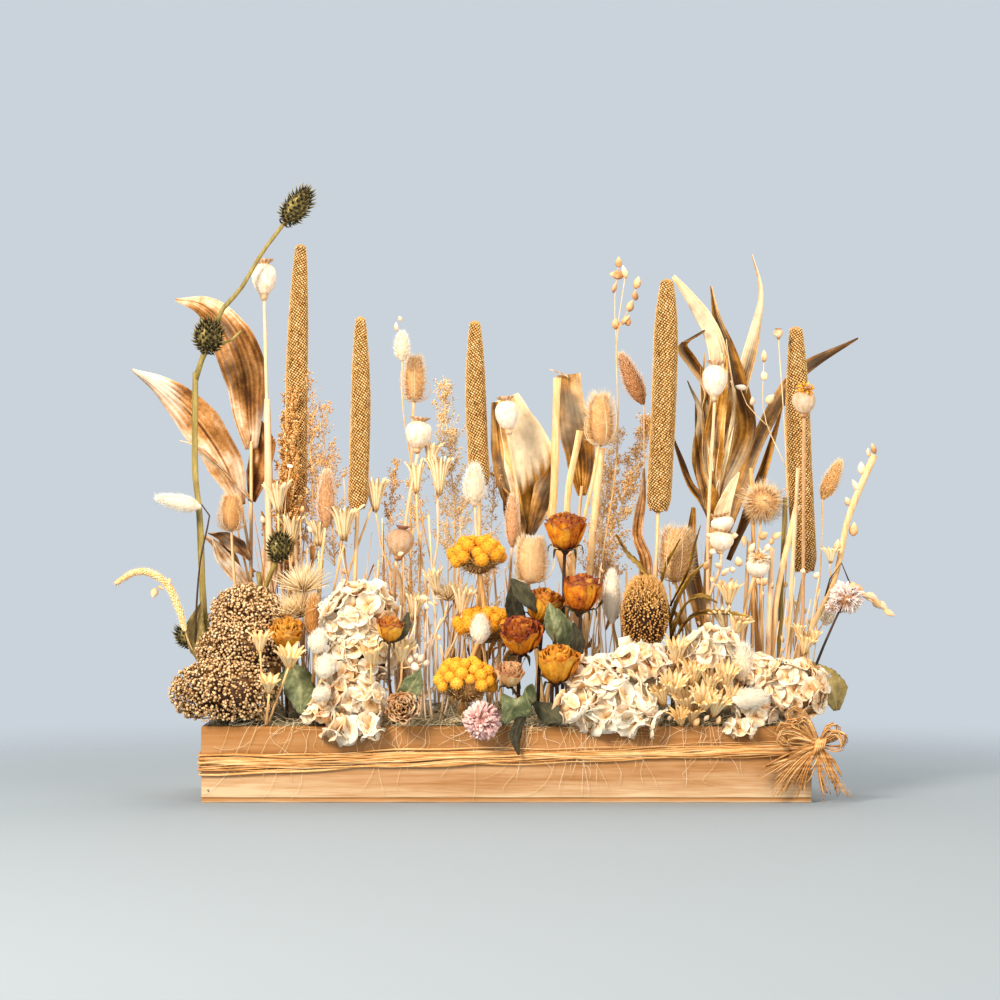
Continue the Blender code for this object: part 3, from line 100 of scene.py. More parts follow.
class Graph:
    """A new material and the few ways in which this file adds nodes to it."""

    def __init__(self, name: str, rough: float, gloss: float) -> None:
        """Makes the material and sets its shader's roughness and specular level.

        Args:
            name: name of the new material.
            rough: roughness of its shader.
            gloss: specular level of its shader.
        """
        self.made = bpy.data.materials.new(name)
        self.made.use_nodes = True
        self.nodes = self.made.node_tree.nodes
        self.shader = self.nodes["Principled BSDF"]
        self.feed(self.shader, {"Roughness": rough, "Specular IOR Level": gloss})

    def feed(self, node: bpy.types.Node, inputs: dict) -> None:
        """Gives each named input of a node its socket, number or colour.

        Args:
            node: the node to feed.
            inputs: socket, number or colour under each input's name or number.
        """
        for slot, value in inputs.items():
            if isinstance(value, bpy.types.NodeSocket):
                self.made.node_tree.links.new(value, node.inputs[slot])
            else:
                node.inputs[slot].default_value = value

    def add(self, kind: str, inputs: dict | None = None, **values: object) -> bpy.types.Node:
        """Adds a shader node, sets its plain properties and feeds its inputs.

        Args:
            kind: end of the node type's name.
            inputs: as in feed.
            **values: plain properties of the node.

        Returns:
            The new node.
        """
        node = self.nodes.new("ShaderNode" + kind)
        for key, value in values.items():
            setattr(node, key, value)
        self.feed(node, inputs or {})
        return node

    def sums(self, kind: str, first: object, second: object) -> bpy.types.NodeSocket:
        """The result of a Math node on two sockets or numbers."""
        return self.add("Math", {0: first, 1: second}, operation=kind).outputs[0]

    def attribute(self, title: str) -> bpy.types.NodeSocket:
        """One of the numbers that each point of a mesh carries."""
        return self.add("Attribute", attribute_name=title).outputs["Fac"]

    def mix_out(self, share: object, first: object, second: object) -> None:
        """Mixes two shaders by a share and sends them to the surface."""
        blend = self.add("MixShader", {0: share, 1: first, 2: second})
        self.feed(self.nodes["Material Output"], {"Surface": blend.outputs[0]})


@dataclass(frozen=True)
class Finish:
    """One finish: a run of colours read by tone, speckled by noise, with a second colour by tint."""

    stops: str
    edge: str = "ffffff"
    rough: float = 0.75
    speckle: float = 0.35
    scale: float = 500.0
    stretch: tuple[float, float, float] = (1.0, 1.0, 1.0)
    bump: float = 0.35
    fine: float = 1500.0
    sheen: float = 0.0
    soft: float = 0.0
    gloss: float = 0.3

    def material(self, name: str) -> bpy.types.Material:
        """Builds the node tree of this finish.

        Tone attribute plus stretched noise picks a colour from the stops, the tint attribute mixes
        in the edge colour, the vein attribute and a finer noise raise the surface.

        Args:
            name: name of the new material.

        Returns:
            The finished material.
        """
        graph = Graph(name, self.rough, self.gloss)
        sums, shader = graph.sums, graph.shader
        stops = [linear(code) for code in self.stops.split()]
        if self.sheen:
            graph.feed(shader, {"Sheen Weight": self.sheen, "Sheen Roughness": 0.5, "Sheen Tint": stops[-1]})
        spot = graph.add("TexCoord").outputs["Object"]
        place = graph.add("Mapping", {"Vector": spot, "Scale": self.stretch}).outputs[0]
        coarse, fine = (
            graph.add("TexNoise", {"Vector": place, "Scale": scale, "Detail": detail, "Roughness": 0.62}).outputs[0]
            for scale, detail in ((self.scale, 4.0), (self.fine, 3.0)))
        vein = graph.attribute("vein")
        swing = sums("MULTIPLY", sums("SUBTRACT", coarse, 0.5), self.speckle * 2)
        swing = sums("ADD", swing, sums("MULTIPLY", sums("SUBTRACT", fine, 0.5), self.speckle))
        tone = sums("ADD", sums("ADD", graph.attribute("tone"), swing), sums("MULTIPLY", vein, -0.35))
        ramp = graph.add("ValToRGB", {0: tone})
        colours = ramp.color_ramp.elements
        colours[0].color, colours[1].color = stops[0], stops[-1]
        for i, colour in enumerate(stops[1:-1], 1):
            colours.new(i / (len(stops) - 1)).color = colour
        tint = graph.add("Math", {0: graph.attribute("tint"), 1: sums("ADD", coarse, 0.5)}, operation="MULTIPLY",
                         use_clamp=True)
        colour = graph.add("Mix", {0: tint.outputs[0], 6: ramp.outputs[0], 7: linear(self.edge)},
                           data_type="RGBA").outputs[2]
        height = sums("ADD", fine, sums("MULTIPLY", vein, -1.2))
        normal = graph.add("Bump", {"Strength": self.bump, "Distance": 0.0006, "Height": height}).outputs[0]
        graph.feed(shader, {"Base Color": colour, "Normal": normal})
        if self.soft:
            through = graph.add("BsdfTranslucent", {"Color": colour, "Normal": normal})
            graph.mix_out(self.soft, shader.outputs[0], through.outputs[0])
        return graph.made


# The boards mix in SAWN's brown edge colour towards their tops as painted shade.
SAWN = dict(rough=0.55, speckle=0.85, scale=60, fine=420, bump=0.3, edge="9c6626")
STALK = dict(rough=0.5, speckle=0.5, scale=380, stretch=(1, 1, 0.12))
FLUFF = dict(rough=0.9, scale=300, gloss=0.05)
ROSY = dict(rough=0.55, scale=120, fine=700, soft=0.1)
LEAFY = dict(speckle=0.6, scale=110, fine=700, bump=0.7)
PAPER = dict(rough=0.45, speckle=0.3, scale=240)
HORN = dict(rough=0.5, scale=280, stretch=(1, 1, 0.3))


class Coat(Enum):
    """The finishes that the pieces of this arrangement wear."""

    BOARD = Finish("6e421a a87848 c49a70 dabf98", stretch=(0.05, 1, 1), **SAWN)
    BOARD_END = Finish("6e421a a87848 c49a70 dabf98", stretch=(1, 0.05, 1), **SAWN)
    NAIL = Finish("2a2320 5c5048", rough=0.4, gloss=0.6)
    FOAM = Finish("2f3d24 46552f 5d6a3e", speckle=0.5, scale=900, fine=2600, bump=0.8)
    MOSS = Finish("3a3424 6c6448 9c9270 c4ba94", speckle=0.8, scale=220, fine=1400, bump=1.0)
    FIBRE = Finish("8f8a6e c9bd9a efe3c6", speckle=0.5, scale=120, sheen=0.2)
    SISAL = Finish("cc9c64 ecca94 fff2d6", speckle=0.5, scale=160, rough=0.55)
    RAFFIA = Finish("8a5220 c48a48 e2b274 f8d8a6", speckle=0.7, scale=260, stretch=(0.15, 0.6, 1.6), fine=1300,
                    rough=0.5, bump=0.6)
    MILLET = Finish("2e1606 8a5826 d4a258 f8dca4", speckle=0.18, scale=160, fine=900)
    STRAW = Finish("9c6024 d6a05c eec890 fbe4c0", fine=1600, edge="8a5a2c", **STALK)
    CREAM_STEM = Finish("ab7440 e0b888 f6debe", edge="7c4f30", **STALK)
    OLIVE_STEM = Finish("463a1c 827036 b7a25a", speckle=0.65, scale=200, stretch=(1, 1, 0.15), rough=0.5,
                        edge="6b4b26")
    DARK_STEM = Finish("1c1512 3d2a20 5e4632", speckle=0.5, scale=400, rough=0.6)
    THORN = Finish("1d180c 453c1e 86763e d4c07c", speckle=0.45, scale=420, edge="ead9a0")
    POPPY = Finish("a0683a d6ae80 ecd4b2 fbf0e0", speckle=0.7, scale=200, fine=1200, edge="8a5f4c", rough=0.65,
                   bump=0.7)
    # Where Blade uses TAN_LEAF, HUSK, DARK_LEAF and SAW_LEAF, their edge colour is its painted highlight streaks; in
    # Thicket and Leaf it marks paler blades and veins.
    TAN_LEAF = Finish("56300e 946028 c68c50 eecaa0 fff0d8", speckle=0.45, scale=90, fine=700, soft=0.12,
                      edge="fff2da", bump=0.6, rough=0.6, gloss=0.2)
    HUSK = Finish("4e2e06 8c5a14 c48a34 ecc070 fff0cc", scale=110, fine=800, soft=0.1, edge="ffedc8", bump=0.5,
                  rough=0.6, gloss=0.2)
    TEASEL = Finish("a4682a e4aa60 ffdca0 fff4d6", speckle=0.3, scale=300, soft=0.2, edge="f4b866")
    WHITE_TAIL = Finish("ffd6aa ffe9ca fff9ea", speckle=0.1, **FLUFF)
    PINK_TAIL = Finish("9c5e32 dca874 ffe8ca", speckle=0.25, **FLUFF)
    TAN_TAIL = Finish("9c6024 dfa256 ffe6b4", speckle=0.25, **FLUFF)
    ROSE = Finish("6e2604 cc680a ee9818 f9bc42 fbd074", speckle=0.65, edge="742420", bump=1.0, **ROSY)
    GOLD_ROSE = Finish("92480c de8c16 f6b434 fad068", speckle=0.65, edge="842820", bump=1.0, **ROSY)
    PALE_ROSE = Finish("9c5c2a e2a868 f6cf96 fde8c4", speckle=0.4, edge="8e3a26", bump=0.6,
                       **{**ROSY, "scale": 150, "fine": 800})
    ROSE_LEAF = Finish("2a2d1c 4c5633 717a52 9aa078", edge="c8bb88", rough=0.6, soft=0.1, **LEAFY)
    DARK_LEAF = Finish("171612 2e2c20 4c4a34", edge="6a5a34", **LEAFY)
    KHAKI_LEAF = Finish("5a4a26 8d7a44 b9a468", edge="e0c896", soft=0.15, **LEAFY)
    MUSTARD = Finish("a5600c dd9014 f4ae2e fecb54", speckle=0.3, scale=420, edge="fff0c0", bump=0.8)
    CALYX = Finish("6e4a22 b98e50 ecd09a", speckle=0.5, scale=420)
    BANKSIA = Finish("2e1806 7a4a1c c18a44 f0c27a", speckle=0.25, scale=300)
    SAW_LEAF = Finish("2e1c08 6a4814 a07828 d0ac54", speckle=0.5, scale=160, rough=0.8, gloss=0.1, edge="dcbc6a")
    HYDRANGEA = Finish("a8662c ecbc80 fde2b8 fff8e6", scale=120, fine=700, edge="dc9c54", soft=0.15, bump=0.3,
                       rough=0.6)
    YARROW = Finish("2a1608 7c5228 c29864 f2d6a8", speckle=0.3, scale=420, edge="7a5a34")
    STRAWFLOWER = Finish("a8585a d99a98 f0c6c0 fbe4dc", edge="f2c27a", soft=0.1, **PAPER)
    PALE_PAPER = Finish("c08a80 eec8ba fdeae0 fff8f2", edge="e89a30", soft=0.15, **PAPER)
    CREAM_PAPER = Finish("b9844e ecc99a fbead0 fff8ea", edge="ee9f3a", soft=0.15, **PAPER)
    FUNNEL = Finish("a8702c dfb070 f6dba4 fff0d2", edge="c98f4c", soft=0.15, **HORN)
    CREAM_LEAF = Finish("b07a3c e2b87c f7ddb0 fff2d8", speckle=0.4, scale=160, fine=900, soft=0.2, rough=0.5)
    STAR = Finish("bc7a2c eebc6c fddc9c fff4d2", edge="e0a04c", soft=0.2, **HORN)
    SEED = Finish("b0681e e09e4c f6ca82 ffe8ba", speckle=0.3, scale=300)
    HUSKLET = Finish("b27c48 e8be88 fadfba fff4e2", speckle=0.4, scale=260, edge="c98a54", rough=0.5)

    def material(self) -> bpy.types.Material:
        """The material of this finish, made once."""
        name = "coat_" + self.name.lower()
        return bpy.data.materials.get(name) or self.value.material(name)


# ---------------------------------------------------------------- numbers into surfaces


class Bead(NamedTuple):
    """A small closed form about the z axis, ready to be copied many times."""

    points: Array
    faces: list[Array]
    shade: Array


Frame = tuple[Array, Array, Array]


def unit(vectors: Array) -> Array:
    """Scales vectors along the last axis to length one."""
    vectors = np.asarray(vectors, float)
    return vectors / np.maximum(np.linalg.norm(vectors, axis=-1, keepdims=True), 1e-9)


def steps(count: int) -> Array:
    """Even shares from 0 to 1, shaped to run along the paths of many copies."""
    return np.linspace(0, 1, count)[None, :, None]


def run(*values: float) -> Array:
    """Given values, shaped to run along the paths of many copies."""
    return np.array(values, float)[None, :, None]


def through(values: Sequence[float], shares: Array) -> Array:
    """Reads a run of evenly set values at shares from 0 to 1."""
    return np.interp(shares, np.linspace(0, 1, len(values)), values)


def lengths(points: Array) -> Array:
    """Lengths of the pieces of a line."""
    return np.linalg.norm(np.diff(points, axis=0), axis=1)


def smooth_line(points: Line, count: int) -> Array:
    """Reads a Catmull-Rom curve at even steps of chord length.

    Args:
        points: the points that the curve passes through.
        count: how many points to return.

    Returns:
        An array of count points.
    """
    p = np.asarray(points, float)
    ends = np.vstack((2 * p[0] - p[1], p, 2 * p[-1] - p[-2]))
    marks = np.concatenate(([0.0], np.cumsum(lengths(p))))
    at = np.linspace(0, marks[-1], count)
    i = np.clip(np.searchsorted(marks, at, side="right") - 1, 0, len(p) - 2)
    t = ((at - marks[i]) / (marks[i + 1] - marks[i]))[:, None]
    a, b, c, d = ends[i], ends[i + 1], ends[i + 2], ends[i + 3]
    return 0.5 * (2 * b + (c - a) * t + (2 * a - 5 * b + 4 * c - d) * t**2 + (3 * b - a - 3 * c + d) * t**3)


def spread(count: int, low: float = -1.0, high: float = 1.0) -> Array:
    """Even directions by the golden angle, their z from low to high.

    Args:
        count: how many directions.
        low: lowest z.
        high: highest z.

    Returns:
        (count, 3) directions.
    """
    k = np.arange(count)
    z = high - (high - low) * (k + 0.5) / count
    r = np.sqrt(np.maximum(1 - z * z, 0))
    return np.stack((r * np.cos(GOLDEN_TURN * k), r * np.sin(GOLDEN_TURN * k), z), -1)


def bases(axes: Array, spin: Values = 0.0) -> Frame:
    """Two directions across each axis, turned by spin, and the axis itself.

    Args:
        axes: directions, with x, y and z last.
        spin: turn about the axis, one number or one for each axis.

    Returns:
        The two directions across and the unit axis.
    """
    z = unit(axes)
    x = unit(np.cross(z, SIDEWAYS))
    y = np.cross(z, x)
    c, s = (np.asarray(v)[..., None] if np.ndim(v) else v for v in (np.cos(spin), np.sin(spin)))
    return c * x + s * y, c * y - s * x, z


def within(frame: Frame, local: Array) -> Array:
    """Lays local coordinates along the three directions of a frame."""
    x, y, z = frame
    return local[..., :1] * x + local[..., 1:2] * y + local[..., 2:] * z


def around(frame: Frame, turn: Array) -> Array:
    """Directions across a frame's axis at the given turns."""
    return np.cos(turn)[:, None] * frame[0] + np.sin(turn)[:, None] * frame[1]


def placed(points: Array, spots: Array, axes: Array, spin: Values, size: Values) -> Array:
    """Copies of points, each with its z along an axis.

    Args:
        points: (P, 3) points of the form.
        spots: (K, 3) places.
        axes: (K, 3) directions for the form's z.
        spin: turn about the axis, one number or K.
        size: scale, one number, K numbers or (K, 3).

    Returns:
        (K, P, 3) points.
    """
    spots = np.atleast_2d(np.asarray(spots, float))
    frame = bases(np.broadcast_to(np.asarray(axes, float), spots.shape), spin)
    size = np.asarray(size, float)
    size = size[:, None, None] if size.ndim == 1 else size[:, None, :] if size.ndim == 2 else size
    return spots[:, None] + within([v[:, None] for v in frame], points[None] * size)


def spread_over(value: Values, count: int, rows: int, sides: int) -> Array:
    """Stretches a number, one per row, one per copy and row, or one per point to all points.

    Args:
        value: the number or numbers.
        count: copies.
        rows: rows of a copy.
        sides: points in a row.

    Returns:
        (count, rows, sides) numbers.
    """
    value = np.asarray(value, float)
    if value.ndim == 1:
        value = value[None, :, None]
    elif value.ndim == 2:
        value = value[:, :, None]
    return np.broadcast_to(value, (count, rows, sides))


def grid_faces(rows: int, sides: int, closed: bool) -> Array:
    """Four-sided faces between the points of a grid, closed round if asked.

    Args:
        rows: rows of the grid.
        sides: points in a row.
        closed: whether a row's last point joins its first.

    Returns:
        (F, 4) point numbers.
    """
    r = np.arange(rows - 1)[:, None] * sides
    c = np.arange(sides if closed else sides - 1)[None]
    n = (c + 1) % sides
    return np.stack((r + c, r + n, r + sides + n, r + sides + c), -1).reshape(-1, 4)


def fan(sides: int, first: int, pole: int, below: bool) -> Array:
    """Triangles from a ring that starts at the first point to a pole.

    Args:
        sides: points in the ring.
        first: number of the ring's first point.
        pole: number of the pole's point.
        below: whether the pole lies below the ring.

    Returns:
        (sides, 3) point numbers.
    """
    c = np.arange(sides)
    n = (c + 1) % sides
    return np.stack((0 * c + pole, first + (n if below else c), first + (c if below else n)), -1)


def tube_faces(rows: int, sides: int) -> list[Array]:
    """Faces of a closed tube: its rings, then a fan to a pole at each end.

    Args:
        rows: rings of the tube.
        sides: points in a ring.

    Returns:
        A table of four-sided faces and one of triangles.
    """
    end = rows * sides
    return [grid_faces(rows, sides, True),
            np.vstack((fan(sides, 0, end, True), fan(sides, end - sides, end + 1, False)))]


def sheet_faces(rows: int, sides: int) -> list[Array]:
    """Faces of a thin closed sheet: its top, its back and the rim between them.

    Args:
        rows: rows of the sheet.
        sides: points in a row.

    Returns:
        One table over the points of both sides.
    """
    top = grid_faces(rows, sides, False)
    half = rows * sides
    grid = np.arange(half).reshape(rows, sides)
    loop = np.concatenate((grid[0, :-1], grid[:-1, -1], grid[-1, :0:-1], grid[:0:-1, 0]))
    ahead = np.roll(loop, -1)
    rim = np.stack((loop, loop + half, ahead + half, ahead), -1)
    return [np.vstack((top, top[:, ::-1] + half, rim))]


def sheet_points(grids: Array, thick: float) -> Array:
    """Both sides of thin sheets: each grid moved half its thickness both ways along its normals."""
    normal = unit(np.cross(np.gradient(grids, axis=2), np.gradient(grids, axis=1))) * thick / 2
    return np.concatenate([(grids + side).reshape(len(grids), -1, 3) for side in (normal, -normal)], 1)


def sheet_bead(grid: Array, thick: float, shade: Array) -> Bead:
    """One small thin sheet as a bead."""
    return Bead(sheet_points(grid[None], thick)[0], sheet_faces(*grid.shape[:2]), np.tile(shade.ravel(), 2))


def turned(heights: Sequence[float], radii: Sequence[float], sides: int,
           shade: Sequence[float] | float = 0.0) -> Bead:
    """A closed turned form: rings of the given radii, and poles at its first and last height.

    Args:
        heights: z of each ring.
        radii: radius of each ring.
        sides: points in a ring.
        shade: step in tone, one number or one for each ring.

    Returns:
        The form as a bead.
    """
    z, r = np.asarray(heights, float), np.asarray(radii, float)[:, None]
    a = np.arange(sides) * TAU / sides
    rings = np.stack((r * np.cos(a), r * np.sin(a), z[:, None] + 0 * a), -1)
    tones = np.broadcast_to(np.asarray(shade, float), (len(z),))
    return Bead(np.vstack((rings.reshape(-1, 3), ((0, 0, z[0]), (0, 0, z[-1])))), tube_faces(len(z), sides),
                np.concatenate((np.repeat(tones, sides), tones[[0, -1]])))


def oval(rows: int, sides: int) -> Bead:
    """A ball of radius one in rings whose radius is the sine of the row's angle; its tone steps from painted shade at
    the bottom to painted light at the top.
    """
    t = (np.arange(rows) + 0.6) / (rows + 0.2)
    return turned(-np.cos(math.pi * t), np.sin(math.pi * t), sides, 0.5 * t - 0.25)


def bud(sides: int, low: float = -0.8, high: float = 0.8, dark: float = -0.4, light: float = 0.28) -> Bead:
    """A ring of radius one at height zero, closed by a pole below that is darker with painted shade and one above
    that is lighter with a painted highlight.

    Args:
        sides: points in the ring.
        low: height of the lower pole.
        high: height of the upper pole.
        dark: step in tone at the lower pole, painted shade where the bead sinks among its neighbours.
        light: step in tone at the upper pole, a painted highlight.

    Returns:
        The form as a bead.
    """
    a = np.arange(sides) * TAU / sides
    points = np.vstack((np.stack((np.cos(a), np.sin(a), 0 * a), -1), ((0, 0, low), (0, 0, high))))
    caps = np.vstack((fan(sides, 0, sides, True), fan(sides, 0, sides + 1, False)))
    # Painted shade: the ring a little darker, the lower pole darker still; painted highlight at the upper pole.
    return Bead(points, [caps], np.append(np.full(sides, -0.1), (dark, light)))


HAIR = Bead(
    np.array(((0.5, 0, 0), (-0.25, 0.433, 0), (-0.25, -0.433, 0), (0, 0, 1))),
    [np.array(((0, 1, 3), (1, 2, 3), (2, 0, 3), (0, 2, 1)))],
    np.array((-0.25, -0.25, -0.25, 0.25)),
)


class Shape:
    """Gathers surfaces in millimetres, with tone, tint and vein at each point, for one mesh."""

    def __init__(self, seed: int) -> None:
        """Starts an empty shape with its own seeded random numbers.

        Args:
            seed: seed of the random draws.
        """
        self.draw = np.random.default_rng(seed)
        self.points: list[Array] = []
        self.marks: list[Array] = []
        self.faces: list[tuple[Array, Coat]] = []
        self.count = 0

    def noise(self, by: float, size: int | tuple) -> Array:
        """Bell-shaped random numbers with the given deviation."""
        return by * self.draw.standard_normal(size)

    def between(self, low: float, high: float, size: int | tuple) -> Array:
        """Even random numbers from low to high."""
        return self.draw.uniform(low, high, size)

    def add(self, points: Array, faces: list[Array], coat: Coat, marks: Sequence[Array]) -> None:
        """Adds K copies of one set of faces.

        Args:
            points: (K, P, 3) points.
            faces: face tables of one copy.
            coat: finish of these faces.
            marks: tone, tint and vein, each (K, P) or one number.
        """
        k, p = points.shape[:2]
        starts = (np.arange(k) * p + self.count)[:, None, None]
        for table in faces:
            self.faces.append(((table[None] + starts).reshape(-1, table.shape[1]), coat))
        self.points.append(points.reshape(-1, 3))
        self.marks.append(np.stack([np.broadcast_to(np.asarray(m, float), (k, p)).ravel() for m in marks]))
        self.count += k * p

    def tubes(self, paths: Array, radii: Values, coat: Coat, sides: int = 6, tone: Values = 0.6,
              tint: Values = 0.0, flat: float = 1.0, twist: Values = 0.0) -> None:
        """Adds closed tubes: a ring of points about each point of a path, squared to its direction.

        Args:
            paths: (M, 3) or (K, M, 3) centre lines.
            radii: one number, (M), (K, M) or (K, M, sides).
            coat: finish.
            sides: points in a ring.
            tone: one number or an array like radii.
            tint: like tone.
            flat: thickness of the ring against its width.
            twist: turn of the rings, one number, (M) or (K, M).
        """
        paths = np.asarray(paths, float)
        paths = paths[None] if paths.ndim == 2 else paths
        k, m = paths.shape[:2]
        x, y, _ = bases(np.gradient(paths, axis=1), np.broadcast_to(np.asarray(twist, float), (k, m)))
        a = np.arange(sides) * TAU / sides
        ring = np.cos(a)[:, None] * x[:, :, None] + flat * np.sin(a)[:, None] * y[:, :, None]
        rings = paths[:, :, None] + spread_over(radii, k, m, sides)[..., None] * ring
        points = np.concatenate((rings.reshape(k, -1, 3), paths[:, [0, -1]]), 1)
        full = [spread_over(value, k, m, sides) for value in (tone, tint)]
        marks = [np.concatenate((v.reshape(k, -1), v[:, [0, -1], 0]), 1) for v in full]
        self.add(points, tube_faces(m, sides), coat, (*marks, 0.0))

    def sheets(self, grids: Array, coat: Coat, thick: float, tone: Values, tint: Values, vein: Values) -> None:
        """Adds thin closed sheets.

        Args:
            grids: (M, N, 3) or (K, M, N, 3) points.
            coat: finish.
            thick: thickness.
            tone: one number or (K, M, N), (M, N).
            tint: like tone.
            vein: like tone.
        """
        grids = grids[None] if grids.ndim == 3 else grids
        k, m, n = grids.shape[:3]
        full = [np.broadcast_to(np.asarray(v, float), (k, m, n)).reshape(k, -1) for v in (tone, tint, vein)]
        self.add(sheet_points(grids, thick), sheet_faces(m, n), coat, [np.concatenate((v, v), 1) for v in full])

    def copies(self, bead: Bead, spots: Array, axes: Array, coat: Coat, size: Values = 1.0,
               spin: Values | None = None, tone: Values = 0.6, tint: Values = 0.0) -> None:
        """Adds a copy of a bead at each spot, its z along the spot's axis.

        Args:
            bead: the form to copy.
            spots: (K, 3) places.
            axes: directions for the form's z, one or K.
            coat: finish.
            size: as in placed.
            spin: as in placed, drawn at random if it is left out.
            tone: one number or K.
            tint: like tone.
        """
        spots = np.atleast_2d(np.asarray(spots, float))
        if spin is None:
            spin = self.between(0, TAU, len(spots))
        points = placed(bead.points, spots, axes, spin, size)
        tones, tints = (np.broadcast_to(np.asarray(v, float), (len(spots),))[:, None] for v in (tone, tint))
        self.add(points, bead.faces, coat, (tones + bead.shade[None], tints, 0.0))

    def hairs(self, spots: Array, axes: Array, coat: Coat, wide: float, long: Array, tone: Values,
              tint: Values = 0.0) -> None:
        """Adds a thin pointed hair of its own length at each spot."""
        wides = np.full(len(long), wide)
        self.copies(HAIR, spots, axes, coat, np.stack((wides, wides, long), -1), None, tone, tint)

    def mesh(self, name: str) -> bpy.types.Object:
        """Makes one smooth mesh object of all that was gathered, with a material for each finish.

        Args:
            name: name of the mesh and its object.

        Returns:
            The new object.
        """
        mesh = bpy.data.meshes.new(name)
        points = np.concatenate(self.points) * MM
        loops = np.concatenate([f.ravel() for f, _ in self.faces]).astype(np.int32)
        sizes = np.concatenate([np.full(len(f), f.shape[1]) for f, _ in self.faces])
        coats = list(dict.fromkeys(c for _, c in self.faces))
        slots = np.concatenate([np.full(len(f), coats.index(c)) for f, c in self.faces]).astype(np.int32)
        mesh.vertices.add(len(points))
        mesh.vertices.foreach_set("co", points.astype(np.float32).ravel())
        mesh.loops.add(len(loops))
        mesh.loops.foreach_set("vertex_index", loops)
        mesh.polygons.add(len(sizes))
        mesh.polygons.foreach_set("loop_start", np.concatenate(([0], np.cumsum(sizes)[:-1])).astype(np.int32))
        for coat in coats:
            mesh.materials.append(coat.material())
        mesh.polygons.foreach_set("material_index", slots)
        mesh.polygons.foreach_set("use_smooth", np.ones(len(sizes), bool))
        for title, values in zip(("tone", "tint", "vein"), np.concatenate(self.marks, 1)):
            mesh.attributes.new(title, "FLOAT", "POINT").data.foreach_set("value", values.astype(np.float32))
        mesh.update(calc_edges=True)
        return linked(name, mesh)

    def triangles(self) -> int:
        """How many triangles the gathered faces make."""
        return sum((table.shape[1] - 2) * len(table) for table, _ in self.faces)


def linked(name: str, data: object) -> bpy.types.Object:
    """A new object of the scene that shows the given data.

    Args:
        name: name of the object.
        data: what it shows.

    Returns:
        The new object.
    """
    made = bpy.data.objects.new(name, data)
    bpy.context.scene.collection.objects.link(made)
    return made


# ---------------------------------------------------------------- forms that plants are made of


@dataclass
class Stem:
    """A stalk along a smooth line; its radius runs through the given values, with slight random swelling."""

    line: Line
    radii: Sequence[float]
    coat: Coat = Coat.STRAW
    tone: float = 0.62
    tint: float = 0.0
    SIDES: ClassVar[int] = 6

    def grow(self, shape: Shape) -> None:
        """Adds the stalk: radius by the row's place, times 1 plus 4% noise.

        Args:
            shape: gathers the surfaces.
        """
        rows = int(np.clip(lengths(self.line).sum() / 14, 4, 26))
        t = np.linspace(0, 1, rows)
        radii = through(self.radii, t) * (1 + shape.noise(0.04, rows))
        ridge = 1 + shape.noise(0.06, self.SIDES)
        tones = self.tone + shape.noise(0.10, self.SIDES) + 0.05 * np.sin(9 * t)[:, None]
        path = smooth_line(self.line, rows)
        shape.tubes(path, (radii[:, None] * ridge)[None], self.coat, self.SIDES, tones[None], self.tint)


@dataclass
class Millet:
    """A millet candle: a cob closely set with round grains in slanting rows, the cob dark as painted shade in the
    gaps between the grains.
    """

    line: Line
    radius: float
    taper: float
    PITCH: ClassVar[float] = 2.75
    DENSE: ClassVar[int] = 300
    RINGS: ClassVar[int] = 400

    def profile(self, t: Array) -> Array:
        """Radius along the cob: full, drawn in to the tip over the taper's share and a little at the foot.

        Args:
            t: shares along the cob, 0 at its foot and 1 at its tip.

        Returns:
            Radii in millimetres.
        """
        tip = np.clip((1 - t) / self.taper, 0, 1)
        foot = np.clip(t / 0.05, 0, 1)
        return self.radius * (0.5 + 0.5 * np.sin(tip * math.pi / 2) ** 0.8) * (0.75 + 0.25 * foot)

    def grow(self, shape: Shape) -> None:
        """Adds the cob and its grains: one every golden angle, spaced by the area that they cover.

        Args:
            shape: gathers the surfaces.
        """
        core = smooth_line(self.line, 40)
        # The cob's dark tone is painted shade, seen in the gaps between the grains.
        shape.tubes(core, self.profile(np.linspace(0, 1, len(core))) - 0.9, Coat.MILLET, 14, 0.12)
        ends = np.linspace(0, 1, self.RINGS)
        area = np.cumsum(TAU * self.profile(ends)) * lengths(core).sum() / self.RINGS
        count = int(area[-1] / (0.86 * self.PITCH**2))
        place = np.interp((np.arange(count) + 0.5) / count * area[-1], area, ends)
        turn = GOLDEN_TURN * np.arange(count) + shape.noise(0.02, count)
        dense = smooth_line(self.line, self.DENSE)
        at = np.clip((place * (self.DENSE - 1)).astype(int), 0, self.DENSE - 2)
        frame = bases(dense[at + 1] - dense[at])
        z, out = frame[2], around(frame, turn)
        share = (place * (self.DENSE - 1) - at)[:, None]
        middle = dense[at] * (1 - share) + dense[at + 1] * share
        # Each grain has painted shade at its foot and a painted highlight at its top.
        grain = bud(5, -0.4, 0.75, -0.5, 0.22)
        size = self.PITCH * 0.53 * shape.between(0.9, 1.08, count)
        tone = 0.68 + shape.noise(0.08, count)
        tone -= 0.2 * (shape.draw.random(count) < 0.03)
        spots = middle + out * (self.profile(place) - 0.7)[:, None]
        shape.copies(grain, spots, out + 0.25 * z, Coat.MILLET, size, None, tone)
        for end, way in ((0, -z[0]), (-1, z[-1])):
            out = within(bases(way[None]), spread(40, 0.05, 1.0))
            spots = core[end] - way * 1.2 + out * (self.radius * 0.38, self.radius * 0.38, 3.0)
            shape.copies(grain, spots, out, Coat.MILLET, self.PITCH * 0.55, None, 0.5)


